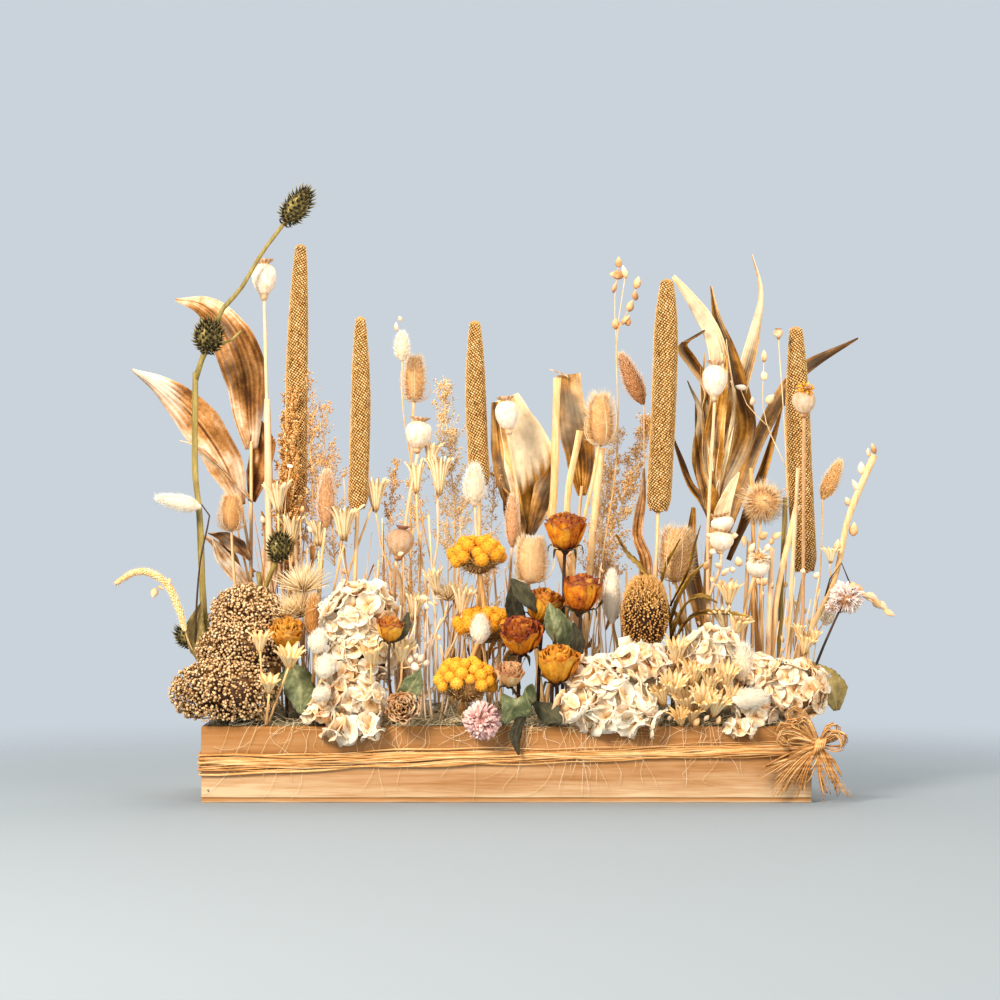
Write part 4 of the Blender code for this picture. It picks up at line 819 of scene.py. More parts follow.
@dataclass
class ThornApple:
    """A thorn apple pod: an oval set with long curved spines."""

    centre: Point
    wide: float
    high: float
    axis: Point
    spines: int

    def grow(self, shape: Shape) -> None:
        """Adds the pod: four swollen valves, and spines on the golden angle that lean to the tip.

        Args:
            shape: gathers the surfaces.
        """
        frame = bases(np.array([self.axis], float))
        centre, z = np.asarray(self.centre), frame[2]
        t = np.linspace(0.02, 0.98, 16)
        a = np.arange(20) * TAU / 20
        ripple = np.sin(9 * a + 14 * t[:, None])
        radii = self.wide * 0.8 * np.sin(math.pi * t)[:, None] ** 0.7 * (1 + 0.08 * np.cos(4 * a) + 0.05 * ripple)
        path = centre + np.outer((t - 0.5) * 1.7 * self.high, z[0])
        seam = np.exp(-((np.mod(a + 2.0 - 0.3 * t[:, None], math.pi / 2) - 0.6) ** 2) / 0.006)
        shape.tubes(path, radii[None], Coat.THORN, 20, (0.36 + 0.2 * ripple + 0.5 * seam)[None])
        way = spread(self.spines, -0.93, 0.97)
        spots = centre + within(frame, way * (self.wide * 0.78, self.wide * 0.78, self.high * 0.84))
        out = unit(within(frame, way * (1, 1, 0.8) + (0, 0, 0.35)))
        out = out + shape.noise(0.12, out.shape)
        reach = self.wide * shape.between(0.3, 0.5, (self.spines, 1, 1))
        s = run(-0.12, 0.5, 1.0)
        paths = spots[:, None] + (out[:, None] * s + z[0] * 0.3 * s**2) * reach
        shape.tubes(paths, self.wide * np.array((0.105, 0.055, 0.008)), Coat.THORN, 4, np.array((0.1, 0.35, 0.8)))
        ring = around(frame, TAU * np.arange(5) / 5)[:, None]
        bow = ring * run(0.1, 0.3, 0.45, 0.5) + z * run(0.0, -0.08, 0.0, 0.16)
        hooks = centre - z * self.high * 0.86 + self.wide * bow
        shape.tubes(hooks, self.wide * np.array((0.06, 0.06, 0.05, 0.02)), Coat.DARK_STEM, 4, 0.5)


@dataclass
class Poppy:
    """A poppy seed capsule with a ribbed belly, a collar and a scalloped crown."""

    centre: Point
    radius: float
    half: float
    axis: Point = UP
    tone: float = 0.7
    blush: float = 0.0
    crown: float = 0.45
    ribs: int = 11
    cap: float = 1.0
    BELLY: ClassVar[Line] = ((-1.22, 0.2), (-1.1, 0.27), (-1.02, 0.34), (-0.95, 0.28), (-0.86, 0.38), (-0.7, 0.56),
                             (-0.45, 0.78), (-0.15, 0.93), (0.15, 1.0), (0.42, 0.98), (0.64, 0.88), (0.8, 0.7),
                             (0.9, 0.5), (0.96, 0.38))
    CROWN: ClassVar[Line] = ((0.92, 0.36), (1.0, 0.42), (1.1, 0.56), (1.24, 0.66), (1.22, 0.54), (1.08, 0.4),
                             (1.02, 0.1))

    def grow(self, shape: Shape) -> None:
        """Adds belly, collar and crown: turned profiles whose radius swings with the ribs.

        Args:
            shape: gathers the surfaces.
        """
        z, centre = unit(self.axis), np.asarray(self.centre, float)
        sides = self.ribs * 3
        a = np.arange(sides) * TAU / sides
        rib = np.cos(self.ribs * a)
        heights, widths = np.array(self.BELLY).T
        widths = widths[:, None]
        swell = 0.018 * rib + shape.noise(0.012, sides)
        radii = self.radius * widths * (1 + swell * np.clip(widths * 1.6 - 0.6, 0, 1))
        radii = radii * (1 + shape.noise(0.012, radii.shape))
        tone = self.tone + 0.1 * rib - (0.35 * (heights < -0.8) + 0.1 * np.abs(heights))[:, None]
        tint = np.clip(self.blush * (0.7 + 0.5 * heights), 0, 1)
        path = centre + np.outer(heights * self.half, z)
        shape.tubes(path, radii[None], Coat.POPPY, sides, tone[None], tint)
        heights, widths = np.array(self.CROWN).T
        widths = widths[:, None] * self.cap
        scallop = 1 + 0.26 * np.abs(np.cos(self.ribs * a / 2)) * np.clip(widths * 3 - 1, 0, 1)
        rays = self.crown - 0.1 + 0.25 * rib
        path = centre + np.outer(heights * self.half, z)
        radii = self.radius * widths * scallop
        shape.tubes(path, radii[None], Coat.POPPY, sides, rays[None, None], 0.25 + self.blush)


class Ribbon:
    """A sheet along a line: shares t and w along and across it, half widths and two directions."""

    def __init__(self, line: Line, widths: Sequence[float], side: Point, rows: int, columns: int,
                 twist: float = 0.0) -> None:
        """Squares the side direction to the line at each row and turns it by the twist's share.

        Args:
            line: points that the middle passes through.
            widths: half widths at even steps along the line.
            side: rough direction across the sheet.
            rows: rows along the line.
            columns: points in a row.
            twist: turn from the first row to the last, in radians.
        """
        self.path = smooth_line(line, rows)
        self.t = np.linspace(0, 1, rows)[:, None]
        self.w = np.linspace(-1, 1, columns)[None]
        self.half = through(widths, self.t)
        ahead, aside = unit(np.gradient(self.path, axis=0)), np.array(side, float)
        across = unit(aside - ahead * (ahead @ aside)[:, None])
        normal = np.cross(across, ahead)
        c, s = np.cos(twist * self.t), np.sin(twist * self.t)
        self.across, self.normal = across * c + normal * s, normal * c - across * s

    def grid(self, reach: Array, lift: Array) -> Array:
        """Points that lie a reach across the line and a lift above it."""
        aside, above = self.across[:, None] * reach[..., None], self.normal[:, None] * lift[..., None]
        return self.path[:, None] + aside + above


@dataclass
class Blade:
    """A long leaf or husk: a thin sheet along a line with cup, waves, curl and fine veins."""

    line: Line
    widths: Sequence[float]
    side: Point
    coat: Coat = Coat.TAN_LEAF
    cup: float = 0.2
    wave: float = 0.06
    twist: float = 0.0
    tone: float = 0.55
    # strength of the painted highlight streaks
    painted_highlight: float = 0.25
    saw: float = 0.0
    midrib: float = 0.5
    lines: int = 9

    def grow(self, shape: Shape) -> None:
        """Adds the sheet.

        A point lies at the line plus its share w of the half width along the side direction, plus
        cup w squared of the width along the normal, plus crumples: sines along and across.

        Args:
            shape: gathers the surfaces.
        """
        girth = max(self.widths)
        rows = 41 if self.saw else 5 * len(self.line) + (8 if girth > 6 else 0)
        columns = 21 if girth > 14 else 13 if girth > 5 else 7
        band = Ribbon(self.line, self.widths, self.side, rows, columns, self.twist)
        t, w, half = band.t, band.w, band.half
        far = np.abs(w)
        p, q, s = shape.between(0, TAU, 3)
        reach = half * w * (1 + self.saw * np.mod(10 * t + 0.01, 1) * far**6) * (1 + 0.06 * np.sin(11 * t + q) * far)
        waves = (np.sin(13 * t + 2.5 * w + p) * (0.3 + far) + 0.4 * np.sin(31 * t - 4 * w + q)
                 + 0.3 * np.sin(9 * w + 7 * t + s))
        lift = half * (self.cup * w**2 + self.wave * waves)
        vein = 0.6 * (0.5 + 0.5 * np.cos(self.lines * math.pi * w)) ** 2 + self.midrib * np.exp(-((w / 0.07) ** 2))
        blotch = 0.2 * np.sin(5 * t + q + w) + 0.16 * np.sin(17 * t + 3 * w + s) + 0.10 * np.sin(23 * w + 4 * t + s)
        tone = self.tone + blotch + 0.14 * far**3 - 0.15 * (t < 0.08)
        # Painted highlight: pale streaks of the finish's edge colour, mixed in by tint where light would catch the
        # blade.
        painted_highlight_streaks = 0.3 + np.sin(4 * t + p) + 0.7 * np.sin(9 * t - 2 * w + q) + 0.4 * np.sin(19 * w + q)
        shape.sheets(band.grid(reach, lift), self.coat, 0.5, tone, np.clip(self.painted_highlight * painted_highlight_streaks, 0, 0.85), vein)


@dataclass
class Leaf:
    """A rose leaf: an oval toothed sheet folded along its midrib, with side veins."""

    line: Line
    widths: Sequence[float]
    side: Point
    coat: Coat = Coat.ROSE_LEAF
    fold: float = 0.25
    tone: float = 0.55

    def grow(self, shape: Shape) -> None:
        """Adds the sheet: half width with 12% teeth, folded by the width's share of the fold, veins slant.

        Args:
            shape: gathers the surfaces.
        """
        band = Ribbon(self.line, self.widths, self.side, 23, 11)
        t, w, half = band.t, band.w, band.half
        far = np.abs(w)
        p = shape.draw.uniform(0, TAU)
        reach = half * w * (1 + 0.12 * np.mod(t * 11, 1) * far**5)
        lift = half * (self.fold * far + 0.09 * np.sin(11 * t + 3 * w + p) + 0.05 * np.sin(23 * t - 5 * w))
        slant = np.mod(6 * t - 2.2 * far + 8, 1)
        vein = 0.8 * np.exp(-((w / 0.08) ** 2)) + 0.6 * np.exp(-(((slant - 0.5) / 0.1) ** 2))
        tone = self.tone + 0.1 * np.sin(6 * t + 4 * w + p)
        shape.sheets(band.grid(reach, lift), self.coat, 0.4, tone, 0.35 * vein, -0.5 * vein)


@dataclass
class Tail:
    """A bunny tail: an oval head hidden in soft hairs that lean to its tip."""

    base: Point
    tip: Point
    radius: float
    coat: Coat
    tone: float
    hairs: int

    def grow(self, shape: Shape) -> None:
        """Adds the core and the hairs: each hair is a thin pyramid, part outward and part along.

        Args:
            shape: gathers the surfaces.
        """
        low, core = np.asarray(self.base, float), self.radius * 0.7
        line = np.asarray(self.tip, float) - low
        frame = bases(line[None])
        t = np.linspace(0.03, 0.97, 12)
        radii = core * np.sin(math.pi * t) ** 0.6 * (1.25 - 0.5 * t)
        shape.tubes(low + t[:, None] * line, radii, self.coat, 12, self.tone - 0.1)
        way = spread(int(self.hairs * 0.66), -0.98, 0.96)
        count = len(way)
        local = way * (core, core, np.linalg.norm(line) * 0.45)
        local[:, :2] *= 1 - 0.28 * way[:, 2:]
        push = shape.between(0.4, 1.2, (count, 1))
        out = within(frame, np.hstack((push * way[:, :2], 1.0 + 0.3 * way[:, 2:])))
        out = out + shape.noise(0.2, out.shape)
        long = self.radius * 0.75 * shape.between(0.5, 1.1, count)
        tone = self.tone + 0.26 + 0.12 * way[:, 2] + shape.noise(0.16, count)
        shape.hairs(low + line / 2 + within(frame, local), out, self.coat, 0.48, long, tone)


@dataclass
class Teasel:
    """A teasel or safflower head: a bristly oval with long bracts that curve up around it."""

    base: Point
    tip: Point
    radius: float
    spikes: int
    bracts: int
    tone: float
    blunt: float
    spike: float
    lift: float

    def grow(self, shape: Shape) -> None:
        """Adds the core, its spikes on the golden angle and the bracts from its foot.

        Args:
            shape: gathers the surfaces.
        """
        low, r = np.asarray(self.base, float), self.radius
        line = np.asarray(self.tip, float) - low
        high = np.linalg.norm(line)
        frame = bases(line[None])
        t = np.linspace(0.02, 0.98, 14)
        core = r * 0.68 * np.sin(math.pi * t) ** self.blunt
        shape.tubes(low + t[:, None] * line, core, Coat.TEASEL, 14, self.tone - 0.16)
        way = spread(int(self.spikes * 1.1), -0.92, 0.99)
        n = len(way)
        local = way * (r * 0.7, r * 0.7, high * 0.475)
        local[:, :2] *= np.sqrt(np.maximum(1 - way[:, 2:] ** 2, 1e-6)) ** (self.blunt - 1)
        out = within(frame, np.hstack((way[:, :2], self.lift + 0.5 * way[:, 2:])))
        out = out + shape.noise(0.12, out.shape)
        long = r * self.spike * shape.between(0.6, 1.4, n)
        tone = self.tone + shape.noise(0.16, n) + 0.1 * way[:, 2]
        spots = low + line / 2 + within(frame, local)
        shape.hairs(spots, out, Coat.TEASEL, 0.75, long, tone, 0.3 * shape.draw.random(n))
        n = self.bracts
        out = around(frame, TAU * np.arange(n) / n + shape.between(-0.5, 0.5, n))[:, None]
        reach = r * shape.between(1.15, 1.6, (n, 1, 1))
        tall = high * shape.between(0.5, 1.0, (n, 1, 1))
        s = steps(8)
        paths = low + out * reach * np.sin(s * 2.3) ** 0.8 + frame[2] * tall * s**1.6
        shape.tubes(paths, np.linspace(0.75, 0.2, 8), Coat.TEASEL, 3, self.tone + 0.1)


@dataclass
class Rose:
    """A dried rose: crumpled petals lapping about a bud, over a calyx."""

    centre: Point
    radius: float
    axis: Point
    shut: float
    coat: Coat
    petals: int
    edge: float
    tone: float

    def grow(self, shape: Shape) -> None:
        """Adds the petals and the calyx.

        Petal k is turned by the golden angle. Its radius grows from bud to outside, follows a cup with the
        row, rolls outward at the rim and creases with sines across and along.

        Args:
            shape: gathers the surfaces.
        """
        n, r, opening = self.petals, self.radius, 1 - 0.55 * self.shut
        k = (np.arange(n) / (n - 1))[:, None, None]
        s = steps(8)
        w = np.linspace(-1, 1, 13)[None, None]
        p = shape.between(0, TAU, (n, 1, 1))
        cup = (0.10 + 0.84 * k**0.8) * np.sin(math.pi * (0.10 + 0.54 * s)) ** 0.7
        roll = opening * (0.05 + 0.15 * k) * s**5
        crease = (0.036 * np.sin(9 * w + 5 * s + p) + 0.034 * np.sin(17 * w - 7 * s + 2 * p)) * (0.3 + s)
        ruffle = (0.09 * np.sin(5 * w + p) + 0.04 * np.sin(13 * w - p)) * s**3
        out = r * (cup + roll + crease + ruffle) * (1 - 0.12 * self.shut * s)
        span = (2.1 - 1.15 * k) * (0.62 + 0.38 * np.sin(math.pi * (0.2 + 0.6 * s)))
        turn = GOLDEN_TURN * np.arange(n)[:, None, None] + span * w * 0.92
        rim = 0.10 * np.sin(3.4 * w + 2 * p) + 0.022 * np.sin(11 * w + p)
        top = (0.92 - 0.34 * k * opening) * (1 - 0.16 * w**2 * (0.4 + k)) + rim
        tall = r * (s * (top + 0.82) - 0.82 - 0.10 * opening * k * s**6)
        local = np.stack((out * np.cos(turn), out * np.sin(turn), tall), -1)
        grids = placed(local.reshape(-1, 3), self.centre, self.axis, 0.0, 1.0).reshape(local.shape)
        tone = self.tone + shape.noise(0.12, (n, 1, 1)) - 0.26 * (1 - s) ** 2 + 0.08 * s - 0.1 * (1 - k)
        streak = 0.7 * np.abs(w) ** 8 + 0.5 * np.cos(19 * w + 3 * p) ** 8
        tint = self.edge * ((0.5 + 0.6 * k) * s**12 + 0.2 * (1 - s) ** 3 * k + streak * s)
        vein = 0.6 * (0.5 + 0.5 * np.cos(17 * w + 2 * p)) * (1 - 0.4 * s)
        shape.sheets(grids, self.coat, 0.4, tone, np.clip(tint, 0, 1), vein)
        frame = bases(np.array([self.axis], float))
        z = frame[2][0]
        base = np.asarray(self.centre) - z * r * 0.86
        hip = turned((-0.3, -0.16, 0, 0.14, 0.22), (0.10, 0.2, 0.3, 0.34, 0.2), 10)
        shape.copies(hip, base, z, Coat.DARK_STEM, r, 0.0, 0.55)
        for way in around(frame, TAU * np.arange(5) / 5 + 0.3):
            sepal = [base + r * (way * far + z * rise) for far, rise in ((0, 0), (0.42, 0), (0.8, 0.1), (0.92, -0.3))]
            Blade(sepal, (1.2, r * 0.13, r * 0.08, 0.4), np.cross(way, z), Coat.DARK_LEAF, 0.3, 0.1).grow(shape)


@dataclass
class MustardHead:
    """A bunch of mustard balls on a domed head, with a hairy calyx below."""

    centre: Point
    size: Point
    ball: float
    count: int
    tone: float = 0.55
    BUMPS: ClassVar[int] = 48
    HAIRS: ClassVar[int] = 420

    def grow(self, shape: Shape) -> None:
        """Adds balls studded with tiny florets, on the golden angle over the upper dome, and the calyx hairs.

        Args:
            shape: gathers the surfaces.
        """
        centre, size, n = np.asarray(self.centre), np.array(self.size), self.count
        way = spread(n, -0.25, 0.97)
        way[:, :2] += shape.noise(0.05, (n, 2))
        spots = centre + way * (size - self.ball * 0.75)
        sizes = self.ball * shape.between(0.82, 1.12, n)
        tones = self.tone + shape.noise(0.1, n)
        shape.copies(oval(4, 9), spots, way, Coat.MUSTARD, sizes * 0.97, None, tones - 0.1)
        out = within([v[:, None] for v in bases(way)], spread(self.BUMPS, -0.7, 1.0)[None])
        places = spots[:, None] + out * (sizes * 0.93)[:, None, None]
        shape.copies(bud(4, -0.3, 0.9, -0.3, 0.22), places.reshape(-1, 3), out.reshape(-1, 3), Coat.MUSTARD,
                     np.repeat(sizes * 0.135, self.BUMPS), None,
                     np.repeat(tones, self.BUMPS) + shape.noise(0.08, self.BUMPS * n))
        way = spread(self.HAIRS, -0.98, 0.15)
        long = shape.between(6, 14, self.HAIRS)
        shape.hairs(centre + way * size * 0.66, way + (0, 0, 0.75) + shape.noise(0.35, way.shape), Coat.CALYX, 0.95,
                    long, 0.6 + shape.noise(0.15, self.HAIRS))
        shape.copies(oval(8, 14), centre - (0, 0, size[2] * 0.15), UP, Coat.CALYX, size[None] * 0.62, 0.0, 0.1)


def petal_bead(draw: np.random.Generator, cup: float) -> Bead:
    """A broad rounded petal from the origin along x, cupped, with two slow waves; z is up, length is one.

    Args:
        draw: random numbers for the waves.
        cup: rise of the tip.

    Returns:
        The petal as a bead.
    """
    s = np.linspace(0.0, 1.0, 4)[:, None]
    w = np.linspace(-1, 1, 4)[None]
    half = 0.66 * np.sin(math.pi * (0.07 + 0.72 * s)) ** 0.6
    a, b = draw.uniform(0, TAU, 2)
    z = cup * s**2 + 0.14 * w**2 * s + 0.05 * s * (np.sin(5 * s + a) + np.sin(3.2 * w + b))
    grid = np.stack((s * (1 - 0.17 * w**2), half * w, z), -1)
    # The tone darkens towards the petal's foot: painted shade in the heart of each floret.
    return sheet_bead(grid, 0.03, 0.62 * np.minimum(s * 1.5, 1) - 0.5 + 0.05 * w**2)


@dataclass
class Florets:
    """Four-petalled florets over a dome: hydrangea."""

    centre: Point
    size: Point
    radius: float
    count: int
    low: float
    high: float
    tone: float = 0.8
    front: float = 0.0
    PATTERNS: ClassVar[int] = 8

    def grow(self, shape: Shape) -> None:
        """Adds four petals a quarter turn apart per floret, from eight patterns, and the small eyes.

        Args:
            shape: gathers the surfaces.
        """
        n, draw, centre = int(self.count * 0.8), shape.draw, np.asarray(self.centre)
        way = spread(n, self.low, self.high)
        way = unit(way + shape.noise(0.12, way.shape) - (0, self.front, 0))
        spots = centre + way * self.size * shape.between(0.86, 1.06, (n, 1))
        axes = unit(way + shape.noise(0.26, way.shape))
        spin = shape.between(0, TAU, n)
        tones = self.tone + shape.noise(0.10, n) - 0.3 * (draw.random(n) < 0.1)
        sizes = self.radius * shape.between(0.84, 1.2, n)
        kind = draw.integers(0, self.PATTERNS, (4, n))
        for pattern in range(self.PATTERNS):
            bead = petal_bead(draw, draw.uniform(-0.05, 0.38))
            for quarter in range(4):
                use = kind[quarter] == pattern
                many = use.sum()
                if many:
                    shape.copies(bead, spots[use], axes[use], Coat.HYDRANGEA, sizes[use],
                                 spin[use] + quarter * TAU / 4, tones[use] + shape.noise(0.05, many),
                                 0.45 * (draw.random(many) < 0.1))
        shape.copies(bud(4), spots + axes * 0.8, axes, Coat.HYDRANGEA, 1.5, None, 0.15)
        stalks = np.stack((spots, spots * 0.4 + centre * 0.6 - (0, 0, 3)), 1)
        shape.tubes(stalks, 0.55, Coat.STRAW, 3, 0.35)


@dataclass
class SeedDome:
    """A yarrow head: hundreds of tiny seed balls on stalks over a dome."""

    centre: Point
    size: Point
    count: int
    ball: float
    low: float = -0.5

    def grow(self, shape: Shape) -> None:
        """Adds the balls at slightly varied depths, and a stalk from every sixth to the dome's foot.

        Args:
            shape: gathers the surfaces.
        """
        centre, size, n = np.asarray(self.centre, float), np.array(self.size), self.count
        way = unit(spread(4 * n, self.low, 0.99) + shape.noise(0.02, (4 * n, 3)))
        area = np.linalg.norm(way / size, axis=1)
        way = way[np.argsort(shape.draw.random(4 * n) ** (1 / area))[-n:]]
        spots = centre + way * size * shape.between(0.86, 1.05, (n, 1))
        sizes = self.ball * shape.between(0.7, 1.2, n)
        shape.copies(bud(4, -0.9, 0.95), spots, way + shape.noise(0.3, way.shape), Coat.YARROW, sizes * 1.08, None,
                     0.7 + shape.noise(0.16, n))
        foot = centre - (0, 0, size[2] * 0.75)
        shape.tubes(np.stack((spots, foot * 0.4 + spots * 0.6), 1)[::6], 0.55, Coat.YARROW, 3, 0.35)
        # The dark dome under the balls is painted shade in the gaps between them.
        shape.copies(oval(8, 14), centre, UP, Coat.YARROW, size[None] * 0.74, 0.0, 0.05)


@dataclass
class PaperFlower:
    """A strawflower: rings of stiff pointed bracts over a half ball, with a tufted eye."""

    centre: Point
    radius: float
    axis: Point
    bracts: int
    tone: float = 0.6
    coat: Coat = Coat.STRAWFLOWER
    dome: float = 0.93

    def grow(self, shape: Shape) -> None:
        """Adds the bracts on the golden angle, long at the rim and short at the eye.

        Args:
            shape: gathers the surfaces.
        """
        n, r, centre = self.bracts, self.radius, np.asarray(self.centre)
        a, b = np.meshgrid(np.linspace(-1, 1, 3), np.linspace(0, 1, 4))
        half = 0.19 * np.sin(math.pi * (0.12 + 0.80 * b)) ** 0.6
        grid = np.stack((half * a, 0.06 * a**2 + 0.10 * np.sin(math.pi * b), b), -1)
        way = spread(n, -0.25, self.dome)
        frame = bases(np.array([self.axis], float))
        z, out = frame[2], within(frame, way)
        flat = np.sqrt(1 - way[:, 2] ** 2)
        size = r * (0.42 + 0.36 * flat) * shape.between(0.9, 1.1, n)
        shape.copies(sheet_bead(grid, 0.028, 0.35 * b - 0.2), centre + out * r * 0.25,
                     out + shape.noise(0.1, out.shape), self.coat, size, None, self.tone + shape.noise(0.1, n),
                     np.clip((0.5 - flat) * 1.6, 0, 0.7))
        eye = 0.8 * (self.dome < 0.9)
        shape.copies(oval(7, 12), centre, z, self.coat, r * 0.45, 0.0, 0.1 + 0.5 * eye, eye)
        spots = centre + z * r * 0.42 + within(frame, way[::3] * (1, 1, 0)) * r * 0.28
        shape.hairs(spots, z + 0.3 * out[::3], self.coat, 0.8, np.full(len(spots), r * 0.22), 0.5, 0.9)


@dataclass
class Pod:
    """A ribbed seed pod that flares into pointed horns: funnels when slim, stars when wide."""

    centre: Point
    wide: float
    high: float
    axis: Point = UP
    horns: int = 16
    coat: Coat = Coat.FUNNEL
    tone: float = 0.6
    flare: float = 1.6

    def grow(self, shape: Shape) -> None:
        """Adds the ribs: plates side by side whose girth grows with a power of height, drawn to points.

        A plate spans its share of the turn up to seven tenths of the height, then narrows to its tip.
        Its middle stands out as a keel.

        Args:
            shape: gathers the surfaces.
        """
        n, centre = self.horns, np.asarray(self.centre)
        frame = bases(np.array([self.axis], float))
        s = run(0, 0.2, 0.45, 0.7, 0.85, 1.0)
        w = np.linspace(-1, 1, 3)[None, None]
        slack = shape.between(0.85, 1.12, (n, 1, 1))
        lean = 1 + shape.noise(0.14, (n, 1, 1)) * s**3
        girth = self.wide * (0.17 + 0.62 * s + 0.26 * s ** (1 + 3 * self.flare)) * lean * (1 + 0.16 * (1 - w**2))
        span = math.pi / n * 1.3 * np.clip((1 - s) / 0.3, 0.04, 1.0) ** 0.75
        turn = TAU * np.arange(n)[:, None, None] / n + shape.noise(0.05, (n, 1, 1)) + span * w
        tall = 2 * self.high * (s - 0.5) * slack + 0 * w
        local = np.stack((girth * np.cos(turn), girth * np.sin(turn), tall), -1)
        tone = self.tone + 0.3 - 0.38 * np.abs(w) - 0.25 * (s < 0.12) + 0.2 * (s - 0.5) + 0.06 * slack
        shape.sheets(centre + within(frame, local), self.coat, 0.7, tone, 0.3 * (s < 0.15), 0.6 * w**2)
        heart = np.array([(self.wide * 0.3, self.wide * 0.3, self.high * 0.45)])
        shape.copies(oval(4, 6), centre - frame[2] * self.high * 0.55, frame[2], self.coat, heart, 0.0,
                     self.tone - 0.2)


@dataclass
class Tuft:
    """A feathery plume: fine bristles that leave one point and open."""

    centre: Point
    radius: float
    count: int
    tone: float = 0.75
    opening: float = 0.5
    AXIS: ClassVar[Point] = (0, -0.1, 1)

    def grow(self, shape: Shape) -> None:
        """Adds bristles: directions on the golden angle about the axis, each bent outward.

        Args:
            shape: gathers the surfaces.
        """
        n = int(self.count * 0.75)
        frame = bases(np.array([self.AXIS], float))
        z, out = frame[2], unit(within(frame, spread(n, 0.1, 1.0) * (self.opening, self.opening, 1)))
        reach = 2 * self.radius * shape.between(0.6, 1.05, (n, 1, 1))
        s = steps(3)
        bow = (out - z * (out @ z[0])[:, None])[:, None] * 0.22 * s**2
        paths = np.asarray(self.centre) - z * self.radius + (out[:, None] * s + bow) * reach
        tone = self.tone + shape.noise(0.1, (n, 1)) + np.array((-0.45, -0.05, 0.2))
        shape.tubes(paths, np.array((0.9, 0.65, 0.2)), Coat.FUNNEL, 3, tone)


@dataclass
class Spray:
    """A panicle: fine branchlets that leave a line, each set with small seeds."""

    line: Line
    width: float
    branches: int
    seeds: int
    tone: float = 0.6
    seed_size: float = 1.05
    rise: float = 1.2

    def grow(self, shape: Shape) -> None:
        """Adds the branchlets and seeds: a branchlet starts on the line, leans out, and droops a little.

        Args:
            shape: gathers the surfaces.
        """
        n, m = int(self.branches * 0.58), int(self.seeds * 0.85)
        t = np.sort(shape.between(0.0, 0.97, n))
        line = smooth_line(self.line, 200)
        at = (t * (len(line) - 2)).astype(int)
        ahead = unit(line[at + 1] - line[at])
        x, _, z = bases(ahead, shape.between(0, TAU, n))
        reach = self.width * (1 - 0.7 * t) * shape.between(0.55, 1.25, n)
        s = steps(4)
        bend = shape.noise(0.16, (n, 1, 3))
        way = x[:, None] * s**0.8 + z[:, None] * self.rise * s + bend * s**2
        paths = line[at][:, None] + way * reach[:, None, None]
        shape.tubes(paths, np.linspace(0.4, 0.16, 4), Coat.SEED, 3, self.tone + 0.1)
        u = 3 * np.clip(shape.draw.beta(2.2, 1.2, (n, m)), 0.12, 1.0)
        slot = np.minimum(u.astype(int), 2)
        share = (u - slot)[..., None]
        rows = np.arange(n)[:, None]
        spots = paths[rows, slot] * (1 - share) + paths[rows, slot + 1] * share
        spots = spots + shape.noise(self.width * 0.075, spots.shape)
        size = self.seed_size * shape.between(0.85, 1.5, (n * m, 1)) * (1.45, 1.45, 2.1)
        axes = shape.noise(0.6, (n * m, 3)) + np.repeat(ahead, m, 0)
        shape.copies(HAIR, spots.reshape(-1, 3), axes, Coat.SEED, size, None, self.tone + shape.noise(0.2, n * m))
        shape.tubes(smooth_line(self.line, 24), np.linspace(0.9, 0.4, 24), Coat.SEED, 5, self.tone)


@dataclass
class Huskets:
    """Plump oat or quaking-grass husks: flattened drops with lengthwise ridges."""

    places: Line
    long: float
    wide: float
    axis: Point = UP
    tone: float = 0.6
    scatter: float = 0.5

    def grow(self, shape: Shape) -> None:
        """Adds a ridged drop at each place.

        Args:
            shape: gathers the surfaces.
        """
        z = (-1, -0.7, -0.2, 0.35, 0.75, 1.0)
        body = turned(z, (0.2, 0.78, 1.0, 0.78, 0.36, 0.03), 8, np.linspace(-0.35, 0.25, len(z)))
        body.points[:-2, :2] *= np.tile((1.1, 0.9), 24)[:, None]
        body.points[:, 1] *= 0.62
        n = len(self.places)
        axes = self.axis + shape.noise(self.scatter, (n, 3))
        size = (self.wide, self.wide, self.long) * shape.between(0.72, 1.1, (n, 1))
        tone = self.tone + shape.noise(0.2, n)
        shape.copies(body, self.places, axes, Coat.HUSKLET, size, None, tone, 0.25 * shape.draw.random(n))


@dataclass
class Ear:
    """A bristly ear or foxtail: seeds that lean along a bent line."""

    line: Line
    width: float
    seeds: int
    tone: float

    def grow(self, shape: Shape) -> None:
        """Adds the spindle and the seeds around it, each with a hair.

        Args:
            shape: gathers the surfaces.
        """
        n = self.seeds
        t = (np.arange(n) + 0.5) / n
        line = smooth_line(self.line, 120)
        at = (t * (len(line) - 2)).astype(int)
        x, _, z = bases(line[at + 1] - line[at], GOLDEN_TURN * np.arange(n))
        girth = self.width * np.sin(math.pi * (0.08 + 0.86 * t)) ** 0.5
        spots = line[at] + x * (girth * 0.55)[:, None]
        size = self.width * 0.36 * shape.between(0.8, 1.2, n)
        tone = self.tone + shape.noise(0.12, n)
        shape.copies(bud(4, -1.3, 1.6), spots, z + 0.5 * x, Coat.SEED, size, None, tone)
        shape.hairs(spots, z + 0.7 * x, Coat.SEED, 0.35, size * 4, tone + 0.1)
        shape.tubes(smooth_line(self.line, 30), self.width * 0.42, Coat.SEED, 6, self.tone - 0.2)


